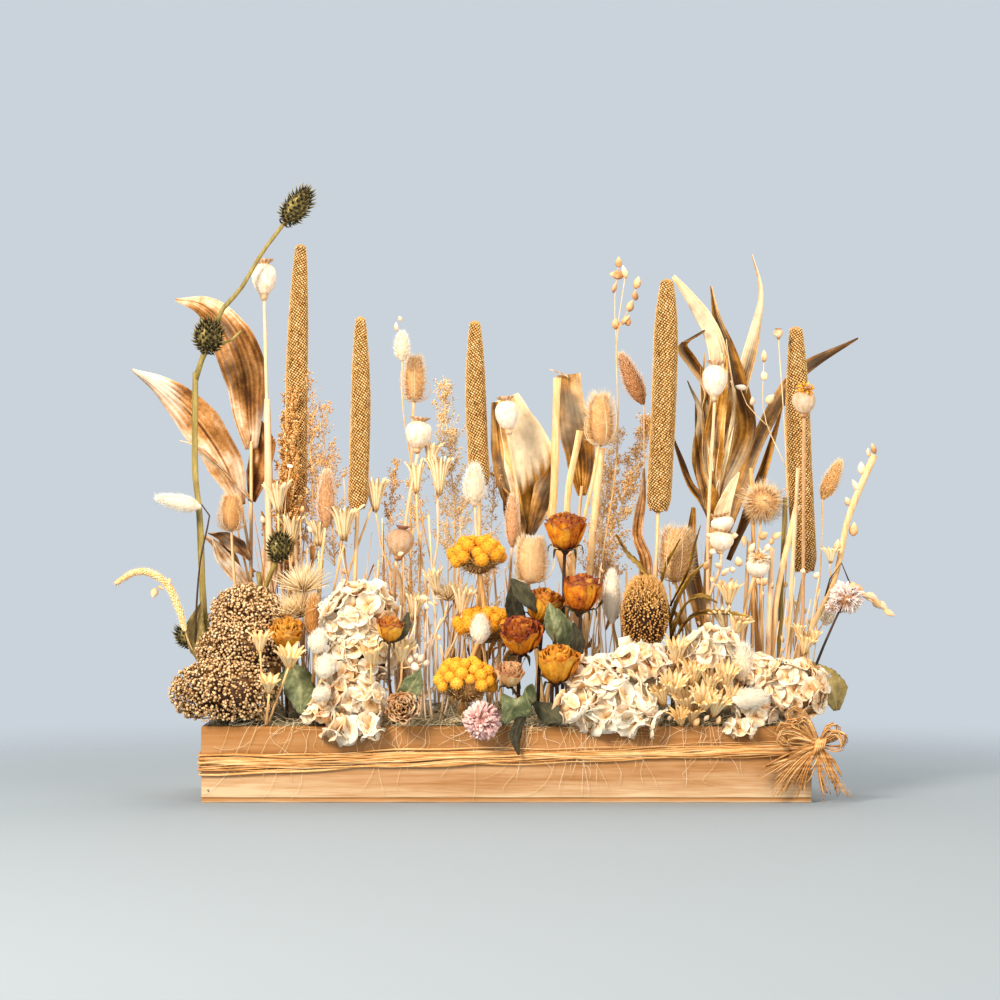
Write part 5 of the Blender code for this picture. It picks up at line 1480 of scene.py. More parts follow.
@dataclass
class Thicket:
    """The undergrowth of a bunch: straws, curled dry blades and small husks between the larger plants."""

    x: tuple[float, float]
    y: tuple[float, float]
    top: float
    straws: int
    blades: int
    husks: int
    tone: float
    coat: Coat = Coat.STRAW
    leaf: Coat = Coat.HUSK

    def grow(self, shape: Shape) -> None:
        """Adds the straws, then the blades that spring from them, then the husks near their tops.

        Args:
            shape: gathers the surfaces.
        """
        n, m, draw, up = self.straws, self.blades, shape.draw, np.array(UP)
        foot = np.stack((shape.between(*self.x, n), shape.between(*self.y, n), np.full(n, SOIL - 2.0)), -1)
        tall = (self.top - SOIL) * shape.between(0.45, 1.0, n)
        tips = foot + np.column_stack((shape.noise(0.07, (n, 2)) * tall[:, None], tall))
        s = steps(8)
        bow = np.concatenate((shape.noise(5, (n, 1, 2)), np.zeros((n, 1, 1))), -1) * np.sin(math.pi * s)
        paths = foot[:, None] * (1 - s) + tips[:, None] * s + bow
        girth = draw.choice((0.55, 0.8, 1.1, 1.7), n)[:, None] * (1 - 0.3 * s[..., 0])
        knots = 1 + 0.25 * (np.sin(7 * s[..., 0] + shape.between(0, TAU, (n, 1))) > 0.97)
        tone = self.tone + shape.noise(0.18, (n, 1))
        shape.tubes(paths, girth * knots, self.coat, 4, tone, 0.35 * (draw.random((n, 1)) < 0.25))
        start = paths[draw.integers(0, n, m), draw.integers(2, 6, m)][:, None]
        turn = shape.between(0, TAU, m)
        out = np.stack((np.cos(turn), 0.6 * np.sin(turn), 0 * turn), -1)[:, None]
        reach, t = shape.between(28, 62, (m, 1, 1)), steps(10)
        rise, curl = shape.between(0.5, 1.2, (m, 1, 1)), shape.between(0.4, 1.3, (m, 1, 1))
        line = start + reach * (out * (0.45 * np.sin(1.9 * t * curl)) + up * (rise * t - 0.5 * curl * t**3))
        side = np.cross(out, up) + shape.noise(0.6, (m, 1, 3))
        roll = unit(side * np.cos(2.0 * t * curl) + up * np.sin(2.0 * t * curl))[:, :, None]
        wide = (shape.between(2.2, 6.0, (m, 1, 1)) * np.sin(math.pi * (0.06 + 0.9 * t)) ** 0.6)[:, :, None]
        w = np.linspace(-1, 1, 3)[None, None, :, None]
        grids = line[:, :, None] + roll * wide * w + np.array((0.4, 0.8, 0.2)) * wide * 0.45 * w**2
        shade = self.tone - 0.05 + shape.noise(0.2, (m, 1, 1))
        shape.sheets(grids, self.leaf, 0.4, shade, 0.3 * (draw.random((m, 1, 1)) < 0.4),
                     0.6 * np.exp(-((w[..., 0] / 0.2) ** 2)))
        spots = tips[draw.integers(0, n, self.husks)] + shape.noise(4, (self.husks, 3)) * (1, 1, 2)
        Huskets(spots, 4.0, 2.8, tone=0.62).grow(shape)


@dataclass
class Cone:
    """A banksia cone: styles in close slanting rows, golden on top and dark dotted below."""

    low: Point
    high: Point
    radii: Sequence[float]
    STYLES: ClassVar[int] = 1150
    HAIRS: ClassVar[int] = 1500

    def grow(self, shape: Shape) -> None:
        """Adds the core, the styles on the golden angle, and fine hairs over its upper part.

        Args:
            shape: gathers the surfaces.
        """
        low, line = np.asarray(self.low, float), np.subtract(self.high, self.low, dtype=float)
        s = np.linspace(0, 1, 16)
        # The core's near-black tone is partly the cone's own dark brown and partly painted shade in the gaps between
        # the styles.
        shape.tubes(low + s[:, None] * line, through(self.radii, s) * 0.86, Coat.BANKSIA, 20, 0.0)
        n, frame = self.STYLES, bases(line[None])
        z = frame[2]
        t = (np.arange(n) + 0.5) / n
        out = around(frame, GOLDEN_TURN * np.arange(n) + shape.noise(0.06, n))
        top = np.clip((t - 0.8) / 0.2, 0, 1)[:, None]
        spots = low + t[:, None] * line + out * (through(self.radii, t) * 0.93)[:, None] + shape.noise(0.35, (n, 3))
        size = 1.25 * shape.between(0.8, 1.25, n)
        tone = 0.42 + 0.4 * t + shape.noise(0.16, n)
        shape.copies(bud(4, -1.2, 1.0, -0.6, 0.3), spots, out * (1 - 0.5 * top) + z * (0.15 + top), Coat.BANKSIA,
                     size, None, tone)
        n = self.HAIRS
        u = 0.42 + 0.58 * np.sqrt(shape.draw.random(n))
        out = around(frame, shape.between(0, TAU, n))
        r = through(self.radii, u) * np.where(u > 0.93, shape.draw.random(n) ** 0.5, 1)
        long = shape.between(5.0, 9.0, n)
        shape.hairs(low + u[:, None] * line + out * (r * 0.86)[:, None], out * 0.5 + z + shape.noise(0.2, (n, 3)),
                    Coat.BANKSIA, 0.9, long, 0.78 + shape.noise(0.15, n))


# ---------------------------------------------------------------- the box and what fills it


@dataclass
class Board:
    """A sawn board with eased edges, a little uneven along its length."""

    low: Point
    high: Point
    along: int = 0
    EASE: ClassVar[float] = 0.8

    def grow(self, shape: Shape) -> None:
        """Adds the board: a rounded rectangle carried along its length, drawn in at both ends.

        Corner points lie on quarter circles of the easing's radius; edges waver by two sines.

        Args:
            shape: gathers the surfaces.
        """
        low, high, along = np.array(self.low, float), np.array(self.high, float), self.along
        centre, half = (low + high) / 2, (high - low) / 2
        across = [i for i in (0, 1, 2) if i != along]
        turn = (np.linspace(0, math.pi / 2, 4) + np.arange(4)[:, None] * math.pi / 2).ravel()
        sign = np.array([(1, 1), (-1, 1), (-1, -1), (1, -1)]).repeat(4, 0)
        flat = sign * (half[across] - self.EASE) + self.EASE * np.stack((np.cos(turn), np.sin(turn)), -1)
        ends = np.array((0.0, 0.25, 0.6, 1.0)) * self.EASE
        inset = np.array((1.0, 0.45, 0.12, 0.0)) * self.EASE
        rows = np.concatenate((-half[along] + ends, np.linspace(-1, 1, 25)[1:-1] * half[along],
                               half[along] - ends[::-1]))
        pull = np.concatenate((inset, np.zeros(23), inset[::-1]))
        waver = 0.12 * (np.sin(rows * 0.05 + half[across[0]]) + np.sin(rows * 0.13 + half[across[1]]))
        section = flat[None] - np.sign(flat)[None] * (pull + np.abs(waver))[:, None, None]
        points = np.zeros((len(rows), 16, 3))
        points[:, :, along] = rows[:, None]
        points[:, :, across] = section
        points = (points + centre).reshape(-1, 3)
        poles = np.array((points[:16].mean(0), points[-16:].mean(0)))
        rise = (points[:, 2] - low[2]) / (high[2] - low[2])
        edge = np.tile((0.04, 0.1, 0.1, 0.04), 4 * len(rows))
        # Darker, and mixed towards the brown edge colour, towards each board's top: painted shade under the plants
        # that lean over the rim.
        tone = 0.76 - 0.54 * rise + 0.05 * np.sin(points[:, 0] * 0.01) + edge
        marks = [np.append(tone, (0.5, 0.5))[None], np.append(0.75 * rise**2, (0.2, 0.2))[None], 0.0]
        shape.add(np.concatenate((points, poles))[None], self.outward(points, tube_faces(len(rows), 16)),
                  Coat.BOARD_END if along else Coat.BOARD, marks)

    @staticmethod
    def outward(points: Array, faces: list[Array]) -> list[Array]:
        """The face tables, turned round if one of the faces looks inward.

        Args:
            points: (P, 3) points.
            faces: face tables.

        Returns:
            The tables, with their faces outward.
        """
        a, b, c = points[faces[0][len(faces[0]) // 2, :3]]
        inward = np.dot(np.cross(b - a, c - a), (a + b + c) / 3 - points.mean(0)) < 0
        return [table[:, ::-1] for table in faces] if inward else faces


@dataclass
class MossBed:
    """The grey-green moss: a lumpy bed, curled fibres on it and pale sisal over the rim."""

    half: tuple[float, float] = (292.5, 62.5)
    edge: float = 74.0
    crown: float = 83.0
    floor: float = 40.0
    rim: float = 79.0
    lowest: float = 0.6
    fibres: int = 360
    sisal: int = 210
    grid: tuple[int, int] = (96, 22)

    def height(self, x: Array, y: Array) -> Array:
        """Height of the bed: a low crown, with lumps from four sines.

        Args:
            x: places along the box.
            y: places across it.

        Returns:
            Heights in millimetres.
        """
        rise = 1 - np.maximum((np.abs(x) / self.half[0]) ** 12, (np.abs(y) / self.half[1]) ** 3)
        lumps = np.sin(x * 0.11 + 2 * np.sin(y * 0.09)) + np.sin(x * 0.31 - y * 0.27)
        lumps = lumps + 0.7 * np.sin(y * 0.35 + x * 0.05)
        return self.edge + (self.crown - self.edge) * rise + 1.1 * lumps

    def grow(self, shape: Shape) -> None:
        """Adds the bed as a closed block, then the fibres as bent threads that hug it.

        Args:
            shape: gathers the surfaces.
        """
        long, wide = self.grid
        x = np.linspace(-1, 1, long)[:, None] * self.half[0] + np.zeros(wide)
        y = np.linspace(-1, 1, wide)[None] * self.half[1] + np.zeros((long, 1))
        z = self.height(x, y) + shape.noise(0.6, self.grid)
        points = np.concatenate([np.stack((x, y, h), -1).reshape(-1, 3) for h in (self.floor + 0 * z, z)])
        tone = np.tile((0.45 + 0.1 * np.sin(x * 0.05 + y * 0.1)).ravel(), 2)
        shape.add(points[None], sheet_faces(long, wide), Coat.MOSS, (tone[None], 0.0, 0.0))
        self.threads(shape, self.fibres, Coat.MOSS, 22.0, 0.6)
        self.threads(shape, 2 * self.fibres, Coat.FIBRE, 34.0, 0.3)
        self.strays(shape)

    def threads(self, shape: Shape, count: int, coat: Coat, reach: float, thick: float) -> None:
        """Adds threads: a start on the bed, a heading that turns evenly, and a bow above the bed.

        Args:
            shape: gathers the surfaces.
            count: how many threads.
            coat: finish.
            reach: length in millimetres, times a draw from 0.5 to 1.4.
            thick: radius at the widest.
        """
        one = (count, 1)
        start = [shape.between(-1, 1, one) * half for half in self.half]
        s = np.linspace(0, 1, 6)[None]
        turn = shape.between(0, TAU, one) + shape.noise(2.0, one) * s
        long = reach * shape.between(0.5, 1.4, one) * s
        x = np.clip(start[0] + long * np.cos(turn), -self.half[0], self.half[0])
        y = np.clip(start[1] + long * np.sin(turn), -self.half[1], self.half[1])
        z = self.height(x, y) + shape.between(1.5, 13.0, one) * np.sin(math.pi * s)
        tone = shape.between(0.3, 0.9, one)
        shape.tubes(np.stack((x, y, z), -1), thick * np.array((0.5, 1, 1, 1, 0.8, 0.3)), coat, 3, tone)

    def strays(self, shape: Shape) -> None:
        """Adds pale sisal strands that rise from the bed, cross the rim and fall down the boards.

        Args:
            shape: gathers the surfaces.
        """
        one = (self.sisal, 1)
        front = np.where(shape.draw.random(one) < 0.68, -1.0, 1.0)
        x0 = shape.between(-0.94, 0.94, one) * 298
        s = np.linspace(0, 1, 14)[None]
        drop = np.minimum(shape.draw.gamma(1.3, 21.0, one), 68.0)
        drift = shape.noise(30, one)
        curl, bend, phase = (shape.between(*ends, one) for ends in ((3, 17), (2, 7), (0, TAU)))
        over = np.clip((s - 0.35) / 0.65, 0, 1)
        x = x0 + drift * s + curl * (np.sin(bend * s + phase) + 0.35 * np.sin(2.3 * bend * s + 2 * phase))
        y = front * (48 + 23.4 * np.clip(s / 0.35, 0, 1) + 1.4 * np.abs(np.sin(4 * s + phase)) * (over > 0))
        fall = (2 + curl * 0.8) * np.sin(bend * s + phase + 1.3) * over - drop * over**0.8
        z = self.rim + np.where(s < 0.35, 3 * np.sin(s * 9), fall)
        points = np.stack((np.clip(0.985 * x, -300, 300), y, np.maximum(z, self.lowest)), -1)
        shape.tubes(points, 0.15, Coat.SISAL, 3, shape.between(0.4, 1, one))


@dataclass
class RaffiaTie:
    """The raffia band about the box, with its knot, loops and frayed tails at the right."""

    half: tuple[float, float] = (302.0, 72.0)
    strands: int = 17
    knot: Point = (305, -80, 58)
    front: float = -74.0
    lowest: float = 0.8

    def strand(self, left: float, right: float, phase: float, out: float) -> Array:
        """A strand's path: a rounded rectangle, its height from left to right plus two sines.

        Args:
            left: height at the left end of the box.
            right: height at its right end.
            phase: start of the sines.
            out: distance outward from the half sizes.

        Returns:
            (M, 3) points once round the box.
        """
        x_half, y_half = self.half[0] + out, self.half[1] + out
        total = 4 * (x_half + y_half)
        corner = np.array((0, 2 * x_half, 2 * x_half + 2 * y_half, 4 * x_half + 2 * y_half, total))
        s = np.sort(np.concatenate((np.linspace(0, total, 88), corner[1:4] - 1.5, corner[1:4] + 1.5)))
        x = np.interp(s, corner, x_half * np.array((1, -1, -1, 1, 1)))
        y = np.interp(s, corner, y_half * np.array((-1, -1, 1, 1, -1)))
        sway = 1.5 * np.sin(x * 0.021 + phase) + 0.8 * np.sin(x * 0.063 + 2 * phase + y * 0.05)
        return np.stack((x, y, left + (right - left) * (x + x_half) / (2 * x_half) + sway), -1)

    def grow(self, shape: Shape) -> None:
        """Adds the band's ribbons, then bundles of thin ribbons for knot, loops and tails.

        Args:
            shape: gathers the surfaces.
        """
        n = self.strands
        share = (np.arange(n) + 0.5) / n
        left = 29 + 18 * share + shape.noise(0.8, n)
        right = 46 + 14 * share + shape.noise(1.2, n)
        right = np.where(np.arange(n) % 3 == 0, right[::-1], right)
        each = zip(left, right, shape.between(0, TAU, n), shape.between(0.0, 1.1, n))
        paths = np.stack([self.strand(*values) for values in each])
        m = paths.shape[1]
        width = shape.between(0.7, 1.8, (n, 1)) * (1 + 0.2 * np.sin(np.linspace(0, 60, m)))
        shape.tubes(paths, width, Coat.RAFFIA, 5, shape.between(0.35, 0.85, (n, 1)), 0.0, 0.35,
                    np.linspace(0, 9, m) + share[:, None] * 4)
        self.bow(shape)
        m = 70
        turn = np.linspace(0, TAU * 5, m)
        x, y, z = self.knot
        wrap = np.stack((x + np.linspace(-5, 6, m) + 2.2 * np.sin(turn), y - 1.5 + 4.0 * np.cos(turn),
                         z + 6.4 * np.sin(turn + 0.4) + 3.2 * np.linspace(-1, 1, m)), -1)
        shape.tubes(wrap, 1.6, Coat.RAFFIA, 6, 0.45 + 0.2 * np.sin(turn), 0.0, 0.4)
        shape.copies(oval(7, 10), self.knot, UP, Coat.RAFFIA, np.array([(4.4, 4.4, 7.5)]), 0.0, 0.4)

    def bow(self, shape: Shape) -> None:
        """Adds the loops at both sides of the knot, then the tails that hang from it.

        Args:
            shape: gathers the surfaces.
        """
        draw, knot = shape.draw, np.array(self.knot, float)
        s = np.linspace(0, 1, 9)[:, None]
        for side, count, low, high, near, far in ((-1, 9, 8, 52, 30, 52), (1, 5, 5, 50, 16, 28)):
            for lean in np.radians(np.linspace(low, high, count) + shape.noise(6, count)):
                ahead = np.array((side * math.cos(lean), 0, math.sin(lean))) * draw.uniform(near, far)
                aside = np.array((-side * math.sin(lean), 0, math.cos(lean))) * draw.uniform(4, 10)
                line = knot + ahead * np.sin(math.pi * s) ** 0.8 + (aside - (0, 2, 0)) * np.sin(TAU * s)
                self.bundle(shape, line - np.sin(math.pi * s) * (0, draw.uniform(3, 9), 0), 5, 2.4, 1.0)
        s = np.linspace(0, 1, 5)[:, None]
        for low, high, count, near, far in ((200, 254, 12, 46, 76), (280, 306, 7, 44, 64)):
            for lean in np.radians(np.linspace(low, high, count) + shape.noise(3, count)):
                bow = s * (1 - s) * (draw.normal(0, 16), -12, draw.normal(0, 12))
                line = knot + s * draw.uniform(near, far) * (math.cos(lean), 0, math.sin(lean)) + bow
                self.bundle(shape, line, 4, 5.0, 1.15, loose=True)

    def bundle(self, shape: Shape, line: Line, count: int, wide: float, width: float, loose: bool = False) -> None:
        """Adds ribbons side by side along a line: widest in the middle, or at the end and cut uneven if loose.

        Args:
            shape: gathers the surfaces.
            line: points that the middle passes through.
            count: how many ribbons.
            wide: spread of the ribbons.
            width: radius of a ribbon, times a draw from 0.5 to 1.2.
            loose: whether the end is open and cut uneven.
        """
        m = 12
        s = np.linspace(0, 1, m)
        open_ = 0.15 + 0.85 * s if loose else 0.5 + 0.5 * np.sin(math.pi * s)
        push = shape.noise(0.5, (count, 1, 3)) * wide * open_[None, :, None] * (1, 0.35, 1)
        wave = 0.6 * np.sin(6 * s[None, :, None] + shape.between(0, TAU, (count, 1, 3)))
        paths = smooth_line(line, m) + push + wave
        paths[..., 1] = np.minimum(paths[..., 1], self.front)
        paths[..., 2] = np.maximum(paths[..., 2], self.lowest)
        if loose:
            paths = paths[:, :1] + (paths - paths[:, :1]) * shape.between(0.75, 1.0, (count, 1, 1))
        tone = shape.between(0.1, 0.75, (count, 1))
        girth = width * shape.between(0.5, 1.2, (count, 1)) * (1 - 0.45 * s**3)
        shape.tubes(paths, girth, Coat.RAFFIA, 4, tone, 0.0, 0.4, 3 * s + shape.between(0, 3, (count, 1)))


# ---------------------------------------------------------------- the arrangement


class Form(Protocol):
    """Anything that grows its surfaces into a shape."""

    def grow(self, shape: Shape) -> None:
        """Adds the surfaces of this form."""


def stem(*line: Point, r: Sequence[float] = (1.8, 1.3), coat: Coat = Coat.STRAW, tone: float = 0.62) -> Stem:
    """A stalk through the given points."""
    return Stem(line, r, coat, tone)


@dataclass
class Plant:
    """One plant or bunch: its node in the frame and the forms that it grows."""

    node: str
    forms: list[Form]

    def place(self, frame: dict, seed: int) -> int:
        """Grows all forms into one object that rides with the box and stands for the node.

        Args:
            seed: seed of the random draws.

        Returns:
            How many triangles the object has.
        """
        shape = Shape(seed)
        for form in self.forms:
            form.grow(shape)
        made = shape.mesh(self.node + "_piece")
        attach(made, "root")
        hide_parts(self.node)
        return shape.triangles()


def box_plants() -> list[Plant]:
    """The five boards, the moss and the raffia.

    Returns:
        One plant for each of their nodes.
    """
    low = 4.8
    nail = Stem([(-293, -70.4, 12), (-293, -69.0, 12)], (1.1, 1.1), Coat.NAIL, 0.4)
    return [
        Plant("box_base", [Board((-300, -70, 0), (300, 70, 4.5))]),
        Plant("box_front", [Board((-300, -70, low), (300, -64, 75)), nail]),
        Plant("box_back", [Board((-300, 64, low), (300, 70, 75))]),
        Plant("box_end_left", [Board((-300, -63.7, low), (-294, 63.7, 75), 1)]),
        Plant("box_end_right", [Board((294, -63.7, low), (300, 63.7, 75), 1)]),
        Plant("moss_bed", [MossBed()]),
        Plant("raffia_tie", [RaffiaTie()]),
    ]


def millets() -> list[Plant]:
    """Five millet candles.

    Returns:
        One plant for each of their nodes.
    """
    rows = (
        ((-214, 30), (-215, 30, 296), (-210, 30, 556), 11.2, 0.5),
        ((-160, 16), (-151, 14, 289), (-148, 14, 481), 10.2, 0.5),
        ((-28, 36), (-27, 30, 312), (-32, 30, 478), 10.7, 0.5),
        ((146, 12), (154, 10, 287), (163, 10, 519), 12.6, 0.3),
        ((276, 36), (305, 30, 225), (296, 30, 472), 12.8, 0.45),
    )
    plants = []
    for number, ((x, y), low, high, radius, taper) in enumerate(rows):
        bow = tuple((a + b) / 2 + c for a, b, c in zip(low, high, (1.5 if number % 2 else -1.5, 0, 0)))
        stalk = stem((x, y, 70), ((x * 2 + low[0]) / 3, (y * 2 + low[1]) / 3, (140 + low[2]) / 3), low, r=(2.6, 2.0))
        plants.append(Plant(f"millet_{number + 1}", [stalk, Millet((low, bow, high), radius, taper)]))
    return plants


def thorn_apples() -> list[Plant]:
    """The tall thorn apple branch and its low pods.

    Returns:
        One plant for each of their nodes.
    """
    olive = Coat.OLIVE_STEM
    return [
        Plant("datura_branch", [
            stem((-282, -8, 70), (-294, -12, 150), (-303, -16, 182), (-308, -15, 283), (-313, -10, 328),
                (-313, -8, 426), r=(4.0, 3.6, 3.3, 3.0), coat=olive, tone=0.6),
            stem((-313, -8, 418), (-302, -8, 452), (-286, -8, 489), (-268, -8, 509), (-246, -8, 546), (-222, -8, 578),
                r=(2.8, 2.2, 1.9), coat=olive, tone=0.62),
            ThornApple((-211, -8, 593), 13.5, 25, (33, 0, 44), 120),
            stem((-313, -8, 424), (-304, -10, 442), (-299, -12, 452), r=(2.2, 2.0), coat=olive),
            stem((-299, -8, 458), (-283, -6, 455), (-267, -5, 468), r=(1.6, 1.2), coat=olive),
            ThornApple((-299, -12, 462), 15.5, 19, (0.15, -0.1, 1), 110),
            stem((-282, -8, 70), (-272, -5, 110), (-262, -2, 135), (-250, 4, 180), (-245, 2, 205), (-236, -8, 226),
                (-230, -12, 242), r=(3.2, 2.8, 2.2), coat=olive, tone=0.5),
            stem((-247, 4, 193), (-249, 4, 208), (-251, 4, 224), r=(2.4, 2.8), coat=olive, tone=0.5),
            ThornApple((-228, -14, 250), 13, 17, (0.2, -0.1, 1), 100),
            stem((-293, -12, 146), (-308, -10, 148), (-320, -8, 155), r=(2.4, 1.8), coat=olive, tone=0.5),
            ThornApple((-323, -8, 160), 11, 13, (-0.5, 0, 1), 80)]),
    ]


def poppies() -> list[Plant]:
    """Eight poppy capsules on five nodes.

    Returns:
        One plant for each of their nodes.
    """
    cream = Coat.CREAM_STEM
    return [
        Plant("poppy_left", [
            stem((-241, 14, 70), (-241, 14, 280), (-246, 14, 508), r=(2.4, 1.7), coat=cream),
            Stem([(-241, 14, 236), (-241.5, 14, 320), (-243, 14, 400)], (3.0, 4.2, 3.0), cream, 0.7),
            Poppy((-246, 14, 521), 12.6, 17, tone=0.85)]),
        Plant("poppy_pair_left", [
            stem((-108, 2, 70), (-106, 8, 200), (-102, 10, 275), (-89, 10, 350), r=(2.0, 1.7), coat=cream),
            Poppy((-89, 10, 363), 13.5, 15, (0.1, 0, 1), 0.85),
            Stem([(-108, 2, 90), (-113, -6, 206), (-110, -6, 240)], (1.8, 1.9), cream, 0.35, 0.4),
            Poppy((-107, -6, 254), 14, 14.5, (0.15, 0, 1), 0.5, 0.55, -0.3, cap=0.72)]),
        Plant("poppy_centre", [
            stem((10, 14, 70), (13, 14, 271), (1, 14, 368), r=(2.2, 1.8), coat=cream),
            Poppy((1, 14, 383), 12, 16, (-0.1, 0, 1), 0.9)]),
        Plant("poppy_pair_right", [
            stem((206, -8, 70), (203, -6, 250), (210, -6, 402), r=(2.4, 1.7), coat=cream),
            Poppy((210, -6, 417), 12.5, 17, (0.05, 0, 1), 0.9),
            stem((205, -7, 120), (205, -7, 200), (214, -18, 225), (215, -22, 246), r=(2.0, 1.8), coat=cream),
            Poppy((215, -22, 256), 12.5, 10.5, (0.1, -0.1, 1), 0.85),
            Poppy((217, -18, 273), 11.5, 8.5, (-0.2, 0, 1), 0.9)]),
        Plant("poppy_far_right", [
            Stem([(284, -16, 70), (295, -15, 150), (298, -14, 200), (299, -14, 385)], (2.2, 1.9, 2.2), cream, 0.4,
                0.3),
            Poppy((299, -14, 395), 12, 12.5, (0, 0, 1), 0.62, 0.35, 0.55),
            PaperFlower((300, -17, 408), 9.5, (0, -0.55, 0.8), 32, 0.72, Coat.GOLD_ROSE, 0.8)]),
    ]


